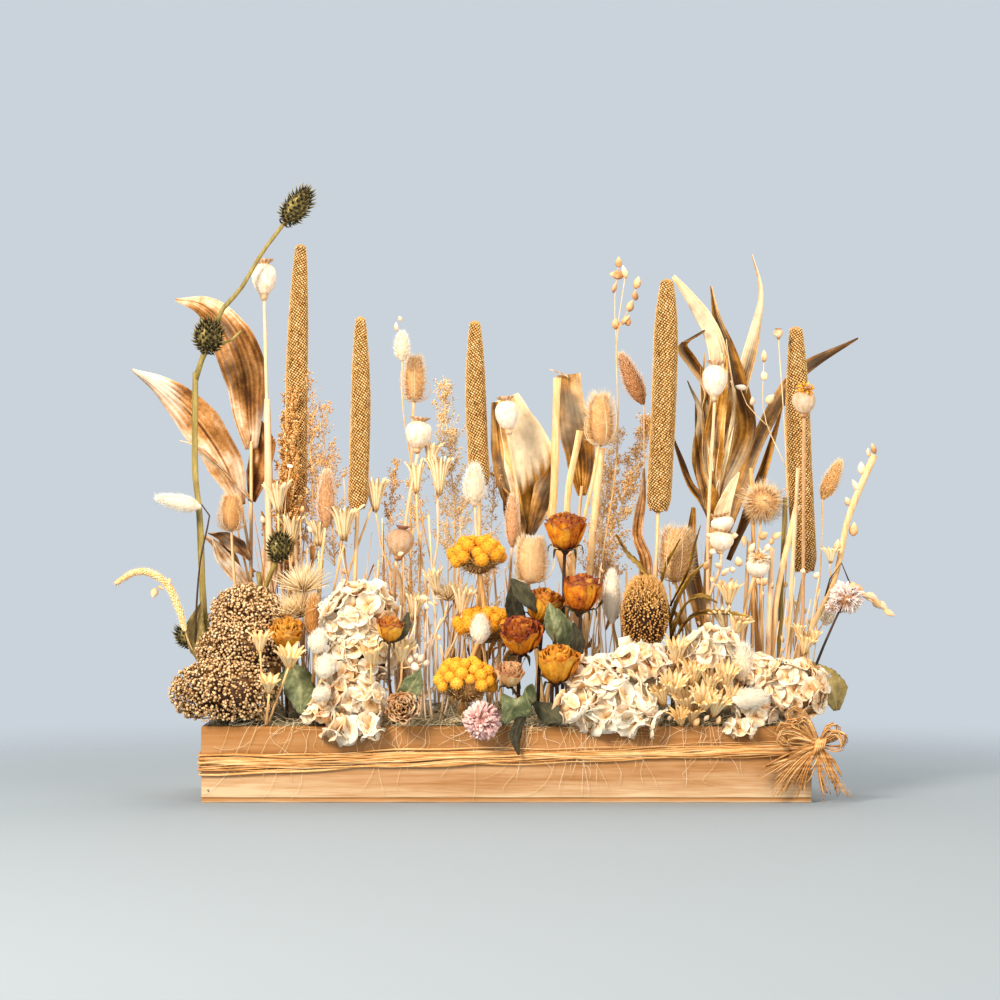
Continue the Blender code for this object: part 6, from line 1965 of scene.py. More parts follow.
def leaves() -> list[Plant]:
    """Big tan leaves at the left and centre, and the corn husk.

    Returns:
        One plant for each of their nodes.
    """
    tan, husk = Coat.TAN_LEAF, Coat.HUSK
    return [
        Plant("leaf_pair_left", [
            stem((-264, 42, 70), (-262, 44, 250), (-262, 46, 358), r=(2.4, 1.8)),
            stem((-263, 43, 238), (-268, 41, 270), (-274, 40, 302), r=(1.9, 1.6)),
            Blade(((-272, 40, 292), (-288, 38, 334), (-316, 36, 377), (-351, 36, 411), (-383, 36, 431)),
                (5, 19, 21, 14, 1.2), (0.8, 0.2, 0.55), tan, -0.35, 0.1, 0.5, 0.55, 0.75, midrib=0.8),
            Blade(((-262, 50, 296), (-256, 52, 326), (-252, 52, 352), (-258, 52, 384)), (4, 12, 14, 3), (1, 0.2, 0),
                tan, 0.3, 0.1, 0.0, 0.12, 0.0),
            Blade(((-262, 30, 205), (-276, 28, 222), (-290, 26, 240), (-299, 24, 258)), (3, 8, 8, 1), (0.6, 0.4, 0.6),
                tan, 0.3, 0.15, 0.5, 0.7, 0.2),
            Blade(((-262, 46, 350), (-266, 48, 384), (-270, 46, 430), (-288, 44, 474), (-312, 46, 498),
                (-341, 52, 504)), (6, 17, 22, 21, 14, 1.2), (1, 0, 0.35), tan, -0.32, 0.09, 0.0, 0.5, 0.35,
                midrib=0.8),
            Blade(((-262, 44, 296), (-292, 36, 330), (-318, 32, 352), (-334, 32, 358)), (4, 6, 5, 1), (0, 1, 0.4),
                tan, 0.3, 0.12),
            Blade(((-264, 42, 196), (-282, 36, 236), (-300, 34, 254), (-312, 34, 262)), (4, 7, 6, 1), (0.3, 0.6, 0.6),
                tan, 0.4, 0.2, 0.6, 0.5, 0.2),
            Blade(((-262, 30, 236), (-274, 28, 250), (-290, 26, 262), (-304, 24, 264)), (2, 8, 7, 1), (0.1, 0.5, 0.8),
                tan, 0.6, 0.2, 1.6, 0.35, 0.1),
            Blade(((-262, 42, 150), (-246, 34, 200), (-240, 30, 250), (-250, 28, 286)), (5, 9, 10, 1), (1, 0.2, 0),
                tan, 0.3, 0.1, 0.2, 0.45, 0.3)]),
        Plant("leaf_pair_centre", [
            stem((40, 50, 70), (24, 46, 200), (16, 46, 285), r=(2.4, 2.0)),
            Blade(((20, 46, 262), (27, 47, 300), (22, 48, 345), (8, 49, 382), (0, 49, 403)), (6, 24, 26, 22, 12),
                (1, 0.1, 0), husk, 0.4, 0.08, 0.0, 0.5, 0.8, midrib=0.5, lines=13),
            Blade(((16, 42, 262), (8, 40, 290), (-4, 38, 330), (-12, 42, 398)), (4, 10, 10, 3), (1, 0.3, 0), husk,
                0.4, 0.1, 0.2, 0.3, 0.1, lines=13),
            Blade(((26, 40, 262), (34, 38, 285), (44, 38, 312), (50, 42, 338)), (4, 12, 13, 2), (1, 0.5, 0), husk,
                -0.3, 0.1, 0.0, 0.2, 0.1, lines=13),
            Blade(((14, 38, 250), (10, 32, 272), (4, 30, 292), (-4, 32, 310)), (3, 10, 9, 1), (1, 0.3, 0), husk, 0.4,
                0.12, 0.2, 0.18, 0.1, lines=13),
            Stem([(40, 50, 90), (66, 52, 200), (78, 52, 312)], (2.4, 1.9)),
            Blade(((78, 52, 302), (76, 52, 345), (68, 53, 390), (64, 54, 427)), (4, 15, 17, 14, 12), (1, 0, 0.1),
                husk, 0.35, 0.08, 0.0, 0.35, 0.2, midrib=0.9, lines=13),
            Blade(((64, 50, 424), (60, 48, 426), (52, 46, 429), (44, 45, 432)), (3, 2, 1.4, 0.4), (0, 1, 0.4), tan,
                0.2)]),
        Plant("corn_husk", [
            stem((206, 46, 70), (206, 46, 200), (212, 46, 300), r=(4.0, 4.6), tone=0.5),
            Stem([(212, 46, 284), (212, 46, 302), (212, 46, 314)], (6, 9, 7), husk, 0.4),
            *[Blade(line, widths, side, husk, cup, 0.09, twist, tone, painted_highlight, lines=13) for line, widths, side, cup,
                twist, tone, painted_highlight in ((((212, 47, 300), (212, 44, 372), (219, 44, 428), (212, 44, 468),
                (190, 46, 505), (172, 50, 528)), (6, 10, 11, 9, 8, 2), (1, 0.2, 0.2), 0.5, 0.5, 0.6, 0.9),
                (((211, 46, 300), (204, 40, 384), (206, 36, 412), (190, 34, 437), (180, 36, 456), (203, 38, 472)),
                (5, 8, 7, 6, 6, 4), (0.6, 0.5, 0.6), 0.5, 0.4, 0.35, 0.3), (((214, 48, 296), (236, 48, 338),
                (246, 46, 370), (240, 46, 405), (228, 48, 452), (217, 50, 484), (211, 52, 518)),
                (7, 12, 13, 12, 9, 5, 0.8), (1, 0.3, 0), -0.5, 0.5, 0.4, 0.5), (((213, 49, 300), (228, 52, 372),
                (245, 54, 424), (256, 54, 468), (263, 54, 512), (254, 58, 551)), (6, 9, 8, 7, 3, 0.5), (1, 0.2, 0),
                0.5, 0.7, 0.35, 0.45), (((210, 45, 284), (204, 42, 322), (202, 42, 352), (195, 42, 402)),
                (6, 9, 8, 0.8), (1, 0.2, 0), 0.5, 0.3, 0.2, 0.2), (((226, 50, 262), (244, 54, 314), (262, 58, 360),
                (284, 60, 402), (308, 60, 434), (364, 62, 465)), (4, 7, 8, 8, 6, 0.8), (0.6, 0, 0.8), 0.5, 0.3, 0.2,
                0.1), (((228, 46, 236), (244, 48, 276), (262, 50, 322), (284, 52, 392)), (3, 6, 5, 0.7),
                (0.8, 0.3, 0.5), 0.5, 0.3, 0.12, 0.0), (((213, 43, 300), (211, 38, 350), (218, 34, 400),
                (226, 36, 446)), (6, 11, 9, 0.8), (1, 0.1, 0), 0.5, 0.2, 0.35, 0.3), (((209, 44, 292), (198, 40, 340),
                (200, 36, 386), (186, 38, 420)), (5, 7, 5, 0.8), (1, -0.3, 0.2), 0.5, 0.8, 0.3, 0.3),
                (((214, 36, 262), (222, 30, 288), (230, 28, 310), (238, 30, 326)), (4, 8, 6, 0.8), (1, 0, -0.3), 0.4,
                0.3, 0.85, 0.9), (((210, 38, 270), (200, 40, 296), (186, 42, 318), (170, 44, 366)), (3, 5, 4, 0.6),
                (0.4, 0.6, 0.6), 0.4, 0.3, 0.15, 0.1))],
            Thicket((176, 232), (10, 50), 240, 18, 12, 6, 0.5),
            *[Blade(((212, 44, 298), (212 + 3.4 * i, 40 - i % 3, 345), (212 + 5.6 * i + 5 * (i % 2), 36,
                392 + 9 * (i % 3)), (212 + 4.4 * i, 34, 420 + 14 * (i % 4))), (2.4, 2.8, 2, 0.4), (1,
                0.5 * (i % 3) - 0.5, 0.2), husk, 0.6, 0.12, 1.2 * (i % 2), 0.55 + 0.14 * (i % 3), 0.7)
                for i in range(-3, 5)],
            Blade(((206, 45, 150), (196, 42, 190), (188, 40, 236), (192, 38, 290)), (4, 9, 8, 2), (1, 0.3, 0), husk,
                0.4, 0.08, 0.2, 0.3, 0.1)]),
    ]


def teasels() -> list[Plant]:
    """Teasels and safflower brushes.

    Returns:
        One plant for each of their nodes.
    """
    return [
        Plant("teasel_left", [
            stem((-262, 20, 70), (-276, 12, 220), (-279, 10, 272)),
            Teasel((-279, 10, 266), (-279, 10, 302), 11.5, 500, 9, 0.6, 0.55, 0.6, 0.4)]),
        Plant("teasel_centre_left", [
            stem((-98, 44, 70), (-98, 45, 300), (-95, 45, 405)),
            Teasel((-94.5, 45, 398), (-94, 45, 445), 11.5, 620, 7, 0.72, 0.55, 0.6, 0.4)]),
        Plant("teasel_pair_centre", [
            stem((38, 0, 70), (54, 4, 180), (84, 8, 300), (95, 8, 362), r=(2.4, 2.0)),
            Teasel((96, 8, 352), (95, 8, 404), 14.5, 800, 9, 0.72, 0.55, 0.6, 0.4),
            stem((38, 0, 90), (24, -2, 190), (22, -10, 214), (25, -18, 226), r=(2.2, 1.8)),
            Teasel((25, -18, 214), (25, -18, 260), 18, 1000, 9, 0.86, 0.28, 0.4, 0.5)]),
        Plant("teasel_pair_right", [
            stem((222, 16, 70), (246, 12, 180), (259, 5, 284)),
            Teasel((259, 18, 293), (260, -8, 297), 18, 900, 11, 0.72, 0.55, 0.62, 0.15),
            Huskets(((260, -13, 298),), 3.4, 2.6, (0, -1, 0.1), tone=0.6, scatter=0.1),
            stem((222, 16, 90), (188, 22, 150), (171, 22, 222)),
            stem((222, 16, 100), (188, 22, 160), (174, 22, 208), (163, 22, 228)),
            Teasel((172, 22, 214), (174, 22, 269), 20, 1000, 7, 0.8, 0.32, 0.45, 0.6)]),
    ]


def bunny_tails() -> list[Plant]:
    """The far-left grasses and the bunny tails.

    Returns:
        One plant for each of their nodes.
    """
    white, pink, tan = Coat.WHITE_TAIL, Coat.PINK_TAIL, Coat.TAN_TAIL
    thin = (1.0, 0.8)
    return [
        Plant("grass_far_left", [
            stem((-288, -24, 70), (-292, -24, 108), (-306, -24, 130), (-311, -27, 152), (-306, -34, 230),
                (-296, -32, 284), (-304, -32, 293), r=(1.3, 0.9), coat=Coat.DARK_STEM),
            Tail((-303, -32, 290), (-351, -32, 300), 8.5, white, 0.85, 1700),
            stem((-305, -24, 129), (-317, -33, 156), (-322, -38, 178), r=thin),
            Ear(((-320, -38, 168), (-326, -40, 190), (-337, -40, 213), (-354, -40, 225), (-371, -40, 225),
                (-389, -40, 214)), 4.4, 330, 0.75),
            Huskets(((-343, -42, 210), (-350, -42, 205), (-335, -42, 216)), 5, 3.4, (0.3, 0, -1), tone=0.5)]),
        Plant("bunny_mid_left", [
            stem((-194, -28, 70), (-191, -10, 180), (-186, -5, 240), (-182, -5, 275)),
            Tail((-182, -5, 268), (-181, -5, 330), 10, pink, 0.5, 1700),
            stem((-194, -28, 90), (-192, -34, 140), (-193, -38, 162)),
            Tail((-193, -38, 158), (-192, -38, 206), 8.8, tan, 0.35, 1400),
            stem((-194, -30, 84), (-196, -50, 100), (-194, -56, 106), (-186, -66, 150)),
            stem((-194, -30, 84), (-192, -60, 100), (-178, -74, 128)),
            stem((-194, -30, 80), (-196, -60, 92), (-188, -80, 104)),
            Tail((-188, -74, 146), (-182, -74, 170), 10, white, 0.95, 900),
            Tail((-180, -82, 122), (-175, -82, 145), 10.5, white, 0.95, 900),
            Tail((-190, -88, 105), (-174, -88, 111), 8, white, 0.95, 700)]),
        Plant("bunny_centre", [
            stem((-18, -14, 70), (-20, 3, 120), (-27, 9, 200), (-32, 4, 296)),
            Tail((-32, 4, 290), (-32, 4, 334), 11.5, white, 0.7, 1800),
            stem((-18, -14, 90), (-8, 0, 140), (2, 3, 200), (6, 1, 256)),
            Tail((6, 1, 248), (6, 1, 306), 7.8, pink, 0.55, 1300),
            stem((-18, -14, 90), (-20, -28, 110), (-22, -36, 140), (-26, -47, 162), r=thin),
            Tail((-26, -52, 154), (-26, -50, 183), 10, white, 0.95, 1200)]),
        Plant("bunny_mid_right", [
            stem((128, 30, 70), (140, 34, 300), (141, 35, 400), r=thin),
            Tail((141, 35, 394), (116, 35, 449), 10.5, pink, 0.3, 1700),
            stem((129, 30, 100), (112, 2, 150), (106, -14, 182)),
            Tail((106, -20, 172), (106, -20, 229), 10, white, 0.9, 1500),
            Blade(((129, 30, 150), (143, 27, 226), (134, 30, 262), (139, 31, 300), (141, 33, 330)), (4, 7, 6, 5, 1),
                (1, 0.2, 0), Coat.TAN_LEAF, 0.3, 0.12, 0.4, 0.25, 0.1)]),
        Plant("bunny_low_right", [
            stem((236, -30, 70), (233, -40, 122)),
            Tail((233, -52, 117), (233, -52, 155), 13.5, white, 0.7, 1600),
            stem((236, -30, 84), (226, -54, 98), (218, -64, 102)),
            Tail((220, -80, 102), (256, -78, 104), 11, white, 0.9, 1400)]),
        Plant("bunny_far_right", [
            stem((288, 18, 70), (310, 16, 160), (319, 18, 220), (322, 18, 305), r=thin),
            Tail((321, 19, 297), (341, 21, 339), 9, tan, 0.65, 1400),
            stem((306, 16, 148), (316, 19, 162), (328, 22, 180), r=thin),
            Tail((325, 22, 169), (330, 22, 193), 8.8, white, 0.8, 1000)]),
    ]


def roses() -> list[Plant]:
    """Five garden roses, four small ones, and the leafy rose twigs.

    Returns:
        One plant for each of their nodes.
    """
    rows = (
        ((56, -8), ((58, -8, 230), (59, -18, 250)), (59, -28, 266), 20.5, (0, -0.25, 1), 0.25, Coat.ROSE, 0.55, 0.8),
        (
            (70, -38),
            ((72, -42, 150), (74, -46, 190)),
            (74, -48, 205),
            20.5,
            (0.1, -0.15, 1),
            0.5,
            Coat.ROSE,
            0.45,
            0.9,
        ),
        (
            (30, -30),
            ((34, -30, 150), (36, -30, 178)),
            (37, -30, 192),
            19.0,
            (0.35, -0.3, 1),
            0.3,
            Coat.GOLD_ROSE,
            0.5,
            0.7,
        ),
        (
            (12, -46),
            ((12, -50, 120), (14, -58, 150)),
            (14, -62, 163),
            20.5,
            (-0.05, -0.6, 1),
            0.0,
            Coat.ROSE,
            0.45,
            0.9,
        ),
        (
            (50, -48),
            ((50, -54, 105), (50, -64, 120)),
            (50, -68, 136),
            20.5,
            (0.05, -0.3, 1),
            0.1,
            Coat.GOLD_ROSE,
            0.55,
            0.4,
        ),
    )
    dark = Coat.DARK_STEM
    plants = []
    for number, ((x, y), path, centre, radius, axis, shut, coat, tone, edge) in enumerate(rows):
        low = tuple(np.asarray(centre) - unit(np.array(axis, float)) * radius * 0.8)
        forms = [
            stem((x, y, 70), *path, low, r=(2.2, 1.9), coat=dark, tone=0.4),
            Rose(centre, radius, axis, shut, coat, 21, edge, tone),
        ]
        if number == 2:
            forms.append(Leaf(((30, -44, 186), (22, -50, 198), (14, -52, 208), (4, -54, 220)), (1, 7, 9, 1),
                (0.6, 0, 1), Coat.DARK_LEAF, tone=0.8))
        plants.append(Plant(f"rose_bloom_{number + 1}", forms))
    plants.append(Plant("rose_small_left", [
        stem((-218, -42, 70), (-218, -46, 140), (-218, -50, 156), coat=dark),
        Rose((-218, -50, 164), 17, (0.2, -0.75, 1), 0.2, Coat.GOLD_ROSE, 20, 0.5, 0.72),
        Leaf(((-217, -46, 138), (-208, -60, 128), (-203, -68, 112), (-202, -72, 88)), (2, 13, 16, 2), (1, 0.2, 0.1),
            fold=0.2, tone=0.6),
        Leaf(((-217, -46, 130), (-226, -56, 118), (-230, -62, 104), (-230, -66, 92)), (2, 7, 7, 1), (1, -0.2, 0.1),
            fold=0.2, tone=0.5)]))
    plants.append(Plant("rose_small_pair", [
        stem((-110, -54, 70), (-115, -82, 124), (-115, -85, 152), (-114, -85, 160), coat=dark),
        Rose((-114, -84, 171), 13.5, (0.1, -0.35, 1), 0.4, Coat.GOLD_ROSE, 18, 0.9, 0.6),
        Leaf(((-112, -84, 158), (-102, -84, 166), (-98, -84, 178), (-96, -84, 188)), (1, 4, 5, 1), (1, 0, 0.4),
            Coat.DARK_LEAF, tone=0.7),
        stem((-110, -54, 84), (-106, -74, 94), (-102, -76, 94), coat=dark),
        Rose((-101, -85, 94), 15.5, (0, -1, 0.15), 0.0, Coat.PALE_ROSE, 20, 0.35, 0.75),
        Leaf(((-108, -74, 98), (-98, -82, 108), (-90, -86, 120), (-84, -88, 132)), (2, 9, 10, 1), (1, 0, -0.4),
            fold=0.3, tone=0.5)]))
    plants.append(Plant("rose_stems", [
        stem((44, -30, 70), (46, -38, 125), (48, -54, 168), coat=dark, r=(2.4, 1.8)),
        Leaf(((48, -50, 156), (47, -56, 168), (45, -60, 180), (42, -58, 196)), (1, 8, 9, 1), (1, 0.3, 0), tone=0.7),
        stem((44, -30, 84), (30, -60, 98), (26, -74, 98), coat=dark),
        Leaf(((27, -72, 98), (18, -84, 106), (8, -89, 96), (-2, -89, 80)), (3, 15, 17, 3), (0.8, 0.2, 0.8), fold=0.12,
            tone=0.62),
        Leaf(((27, -73, 98), (36, -79, 92), (44, -80, 88), (54, -82, 80)), (2, 9, 11, 1), (0.4, 0.2, 1),
            Coat.DARK_LEAF, 0.3, 0.9),
        Leaf(((25, -73, 98), (14, -79, 82), (9, -81, 66), (12, -81, 48)), (1, 5, 6, 1), (1, 0.3, 0), Coat.DARK_LEAF),
        stem((30, -60, 97), (12, -66, 104), (4, -74, 116), coat=dark),
        Leaf(((60, -40, 120), (66, -46, 140), (70, -50, 160), (66, -52, 176)), (1, 7, 8, 1), (1, 0.3, 0),
            Coat.DARK_LEAF),
        Leaf(((20, -30, 150), (12, -34, 176), (6, -38, 196), (6, -40, 216)), (1, 8, 9, 1), (1, 0.3, 0),
            Coat.DARK_LEAF),
        Leaf(((46, -34, 120), (56, -40, 150), (58, -42, 172), (50, -44, 190)), (1, 9, 9, 1), (1, 0.1, 0), tone=0.75),
        Rose((3, -75, 126), 13.5, (0.1, -0.55, 1), 0.1, Coat.PALE_ROSE, 18, 0.6, 0.6)]))
    return plants


def clusters() -> list[Plant]:
    """Mustard balls, banksia and its leaves, and the yarrow.

    Returns:
        One plant for each of their nodes.
    """
    sharp = [
        (((156, 0, 210), (163, 0, 232), (170, 0, 246), (176, 2, 258)), (3, 5, 5, 1)),
        (((166, -2, 174), (176, -4, 200), (190, -4, 222), (207, -4, 240)), (3, 7, 7, 2)),
        (((166, -3, 156), (180, -10, 190), (196, -12, 200), (212, -14, 194)), (3, 6, 6, 1)),
        (((167, -4, 148), (184, -22, 178), (210, -30, 184), (240, -44, 182)), (3, 6, 6, 1)),
        (((156, 0, 206), (136, 0, 232), (122, -2, 246), (111, -2, 263)), (3, 4, 4, 1)),
        (((166, -2, 190), (184, -4, 226), (190, -6, 250), (196, -6, 272)), (3, 4, 4, 1)),
    ]
    return [
        Plant("lonas_bunch", [
            stem((-46, -46, 70), (-38, -34, 128), (-22, -20, 176), (-28, -30, 234), r=(3.4, 2.6), tone=0.4),
            stem((-46, -46, 86), (-44, -56, 100), (-41, -62, 116), r=(2.6, 2.2), tone=0.4),
            stem((-38, -34, 128), (-26, -22, 150), (-20, -18, 166), r=(2.6, 2.2), tone=0.4),
            MustardHead((-28, -30, 241), (29, 20, 23), 7.4, 26),
            MustardHead((-20, -18, 170), (32, 18, 21), 7.0, 30),
            MustardHead((-41, -62, 118), (31, 20, 26), 6.6, 36, 0.66)]),
        Plant("banksia_head", [
            stem((136, -22, 70), (137, -32, 158), r=(3.4, 3.2), coat=Coat.DARK_STEM),
            Cone((138, -35, 154), (138, -35, 218), (14, 21, 24, 24.5, 24, 22, 18, 10))]),
        Plant("banksia_leaves", [
            stem((168, -6, 70), (166, -2, 170), (156, 0, 215), r=(2.6, 1.8), coat=Coat.SAW_LEAF),
            *[Blade(line, widths, (0.4, 1, 0.3), Coat.SAW_LEAF, -0.4, 0.05, 0.0, 0.45, 0.15, 0.9) for line,
                widths in sharp]]),
        Plant("yarrow_bunch", [
            stem((-274, -36, 70), (-268, -32, 140), (-260, -28, 170), r=(3, 2.4), tone=0.3),
            stem((-274, -36, 80), (-282, -50, 96), r=(2.6, 2.4), tone=0.3),
            Leaf(((-296, -30, 128), (-308, -28, 150), (-311, -26, 172), (-304, -26, 196)), (2, 9, 9, 1), (1, 0.2, 0),
                Coat.KHAKI_LEAF, 0.3, 0.4),
            SeedDome((-259, -28, 182), (37, 23, 31), 1450, 1.65),
            SeedDome((-262, -45, 148), (45, 26, 30), 1550, 1.65),
            SeedDome((-278, -60, 108), (52, 30, 34), 2300, 1.7, -0.75)]),
    ]


def hydrangeas() -> list[Plant]:
    """White hydrangea heads and the loose florets over the rim.

    Returns:
        One plant for each of their nodes.
    """
    cream = Coat.CREAM_STEM
    return [
        Plant("hydrangea_left", [
            stem((-150, -44, 70), (-150, -40, 172), r=(3, 2.6), coat=cream),
            Florets((-147, -40, 180), (33, 18, 31), 12.5, 78, -0.9, 0.98),
            Florets((-140, -52, 142), (27, 14, 24), 11.5, 46, -0.8, 0.98),
            Florets((-166, -56, 128), (18, 12, 20), 10.0, 34, -0.8, 0.98, 0.7),
            Florets((-152, -64, 102), (27, 13, 17), 11.5, 40, -0.7, 0.98, 0.72),
            Florets((-150, -75, 74), (25, 5, 7), 13.5, 13, -0.7, 0.7, 0.85, 0.7),
            Florets((-184, -68, 88), (13, 7, 8), 9.0, 14, -0.5, 0.9, 0.6, 0.5),
            Thicket((-176, -120), (-40, -10), 160, 12, 8, 10, 0.7, Coat.CREAM_STEM)]),
        Plant("hydrangea_centre", [
            stem((100, -46, 70), (100, -54, 104), r=(3, 2.6), coat=cream),
            stem((100, -46, 80), (130, -56, 118), r=(2.4, 2.0), coat=cream),
            Florets((112, -62, 100), (31, 17, 22), 16.0, 44, -0.95, 0.98, 0.82),
            Florets((72, -64, 90), (21, 12, 15), 13.5, 22, -0.8, 0.98, 0.8),
            Florets((88, -58, 122), (24, 15, 16), 12.5, 28, -0.6, 0.98, 0.75),
            Florets((130, -56, 134), (24, 14, 17), 13.5, 28, -0.7, 0.98, 0.85),
            Florets((108, -74, 84), (38, 7, 9), 14.5, 18, -0.9, 0.7, 0.85, 0.5),
            stem((104, -50, 90), (150, -40, 104), (196, -44, 136), (199, -45, 148), coat=cream),
            Florets((203, -45, 150), (22, 12, 15), 13.0, 30, -0.8, 0.98, 0.8),
            Florets((174, -42, 136), (18, 10, 15), 11.0, 26, -0.6, 0.98, 0.66),
            Florets((186, -48, 116), (26, 10, 14), 11.0, 24, -0.6, 0.98, 0.6)]),
        Plant("hydrangea_right", [
            stem((264, -46, 70), (270, -48, 100), r=(3, 2.4), coat=cream),
            Florets((283, -50, 110), (34, 19, 27), 10.5, 100, -0.95, 0.98, 0.68),
            Florets((250, -46, 124), (20, 12, 18), 9.5, 40, -0.7, 0.98, 0.75),
            Florets((246, -64, 92), (20, 9, 13), 9.5, 24, -0.7, 0.98, 0.7),
            Florets((229, -75, 74), (13, 3, 4), 9.0, 7, -0.6, 0.7, 0.7, 0.7)]),
    ]


def papery() -> list[Plant]:
    """Strawflowers.

    Returns:
        One plant for each of their nodes.
    """
    return [
        Plant("strawflower_front", [
            stem((-24, -56, 70), (-24, -62, 96), (-24, -74, 88), r=(2, 1.8)),
            PaperFlower((-24, -83, 82), 18.5, (0, -1, 0.1), 160)]),
        Plant("strawflower_right", [
            stem((290, -2, 70), (316, -2, 140), (334, -4, 182), (340, -5, 194), coat=Coat.DARK_STEM),
            PaperFlower((343, -7, 200), 18, (-0.35, -0.6, -0.6), 110, 0.7, Coat.PALE_PAPER, 0.8),
            PaperFlower((329, -6, 190), 8, (-0.2, -0.6, -0.4), 60, 0.7, Coat.PALE_PAPER),
            Leaf(((306, -2, 134), (318, -10, 120), (328, -14, 106), (332, -14, 86)), (2, 13, 16, 3), (1, 0.1, 0.5),
                Coat.KHAKI_LEAF, 0.2, 0.6)]),
    ]


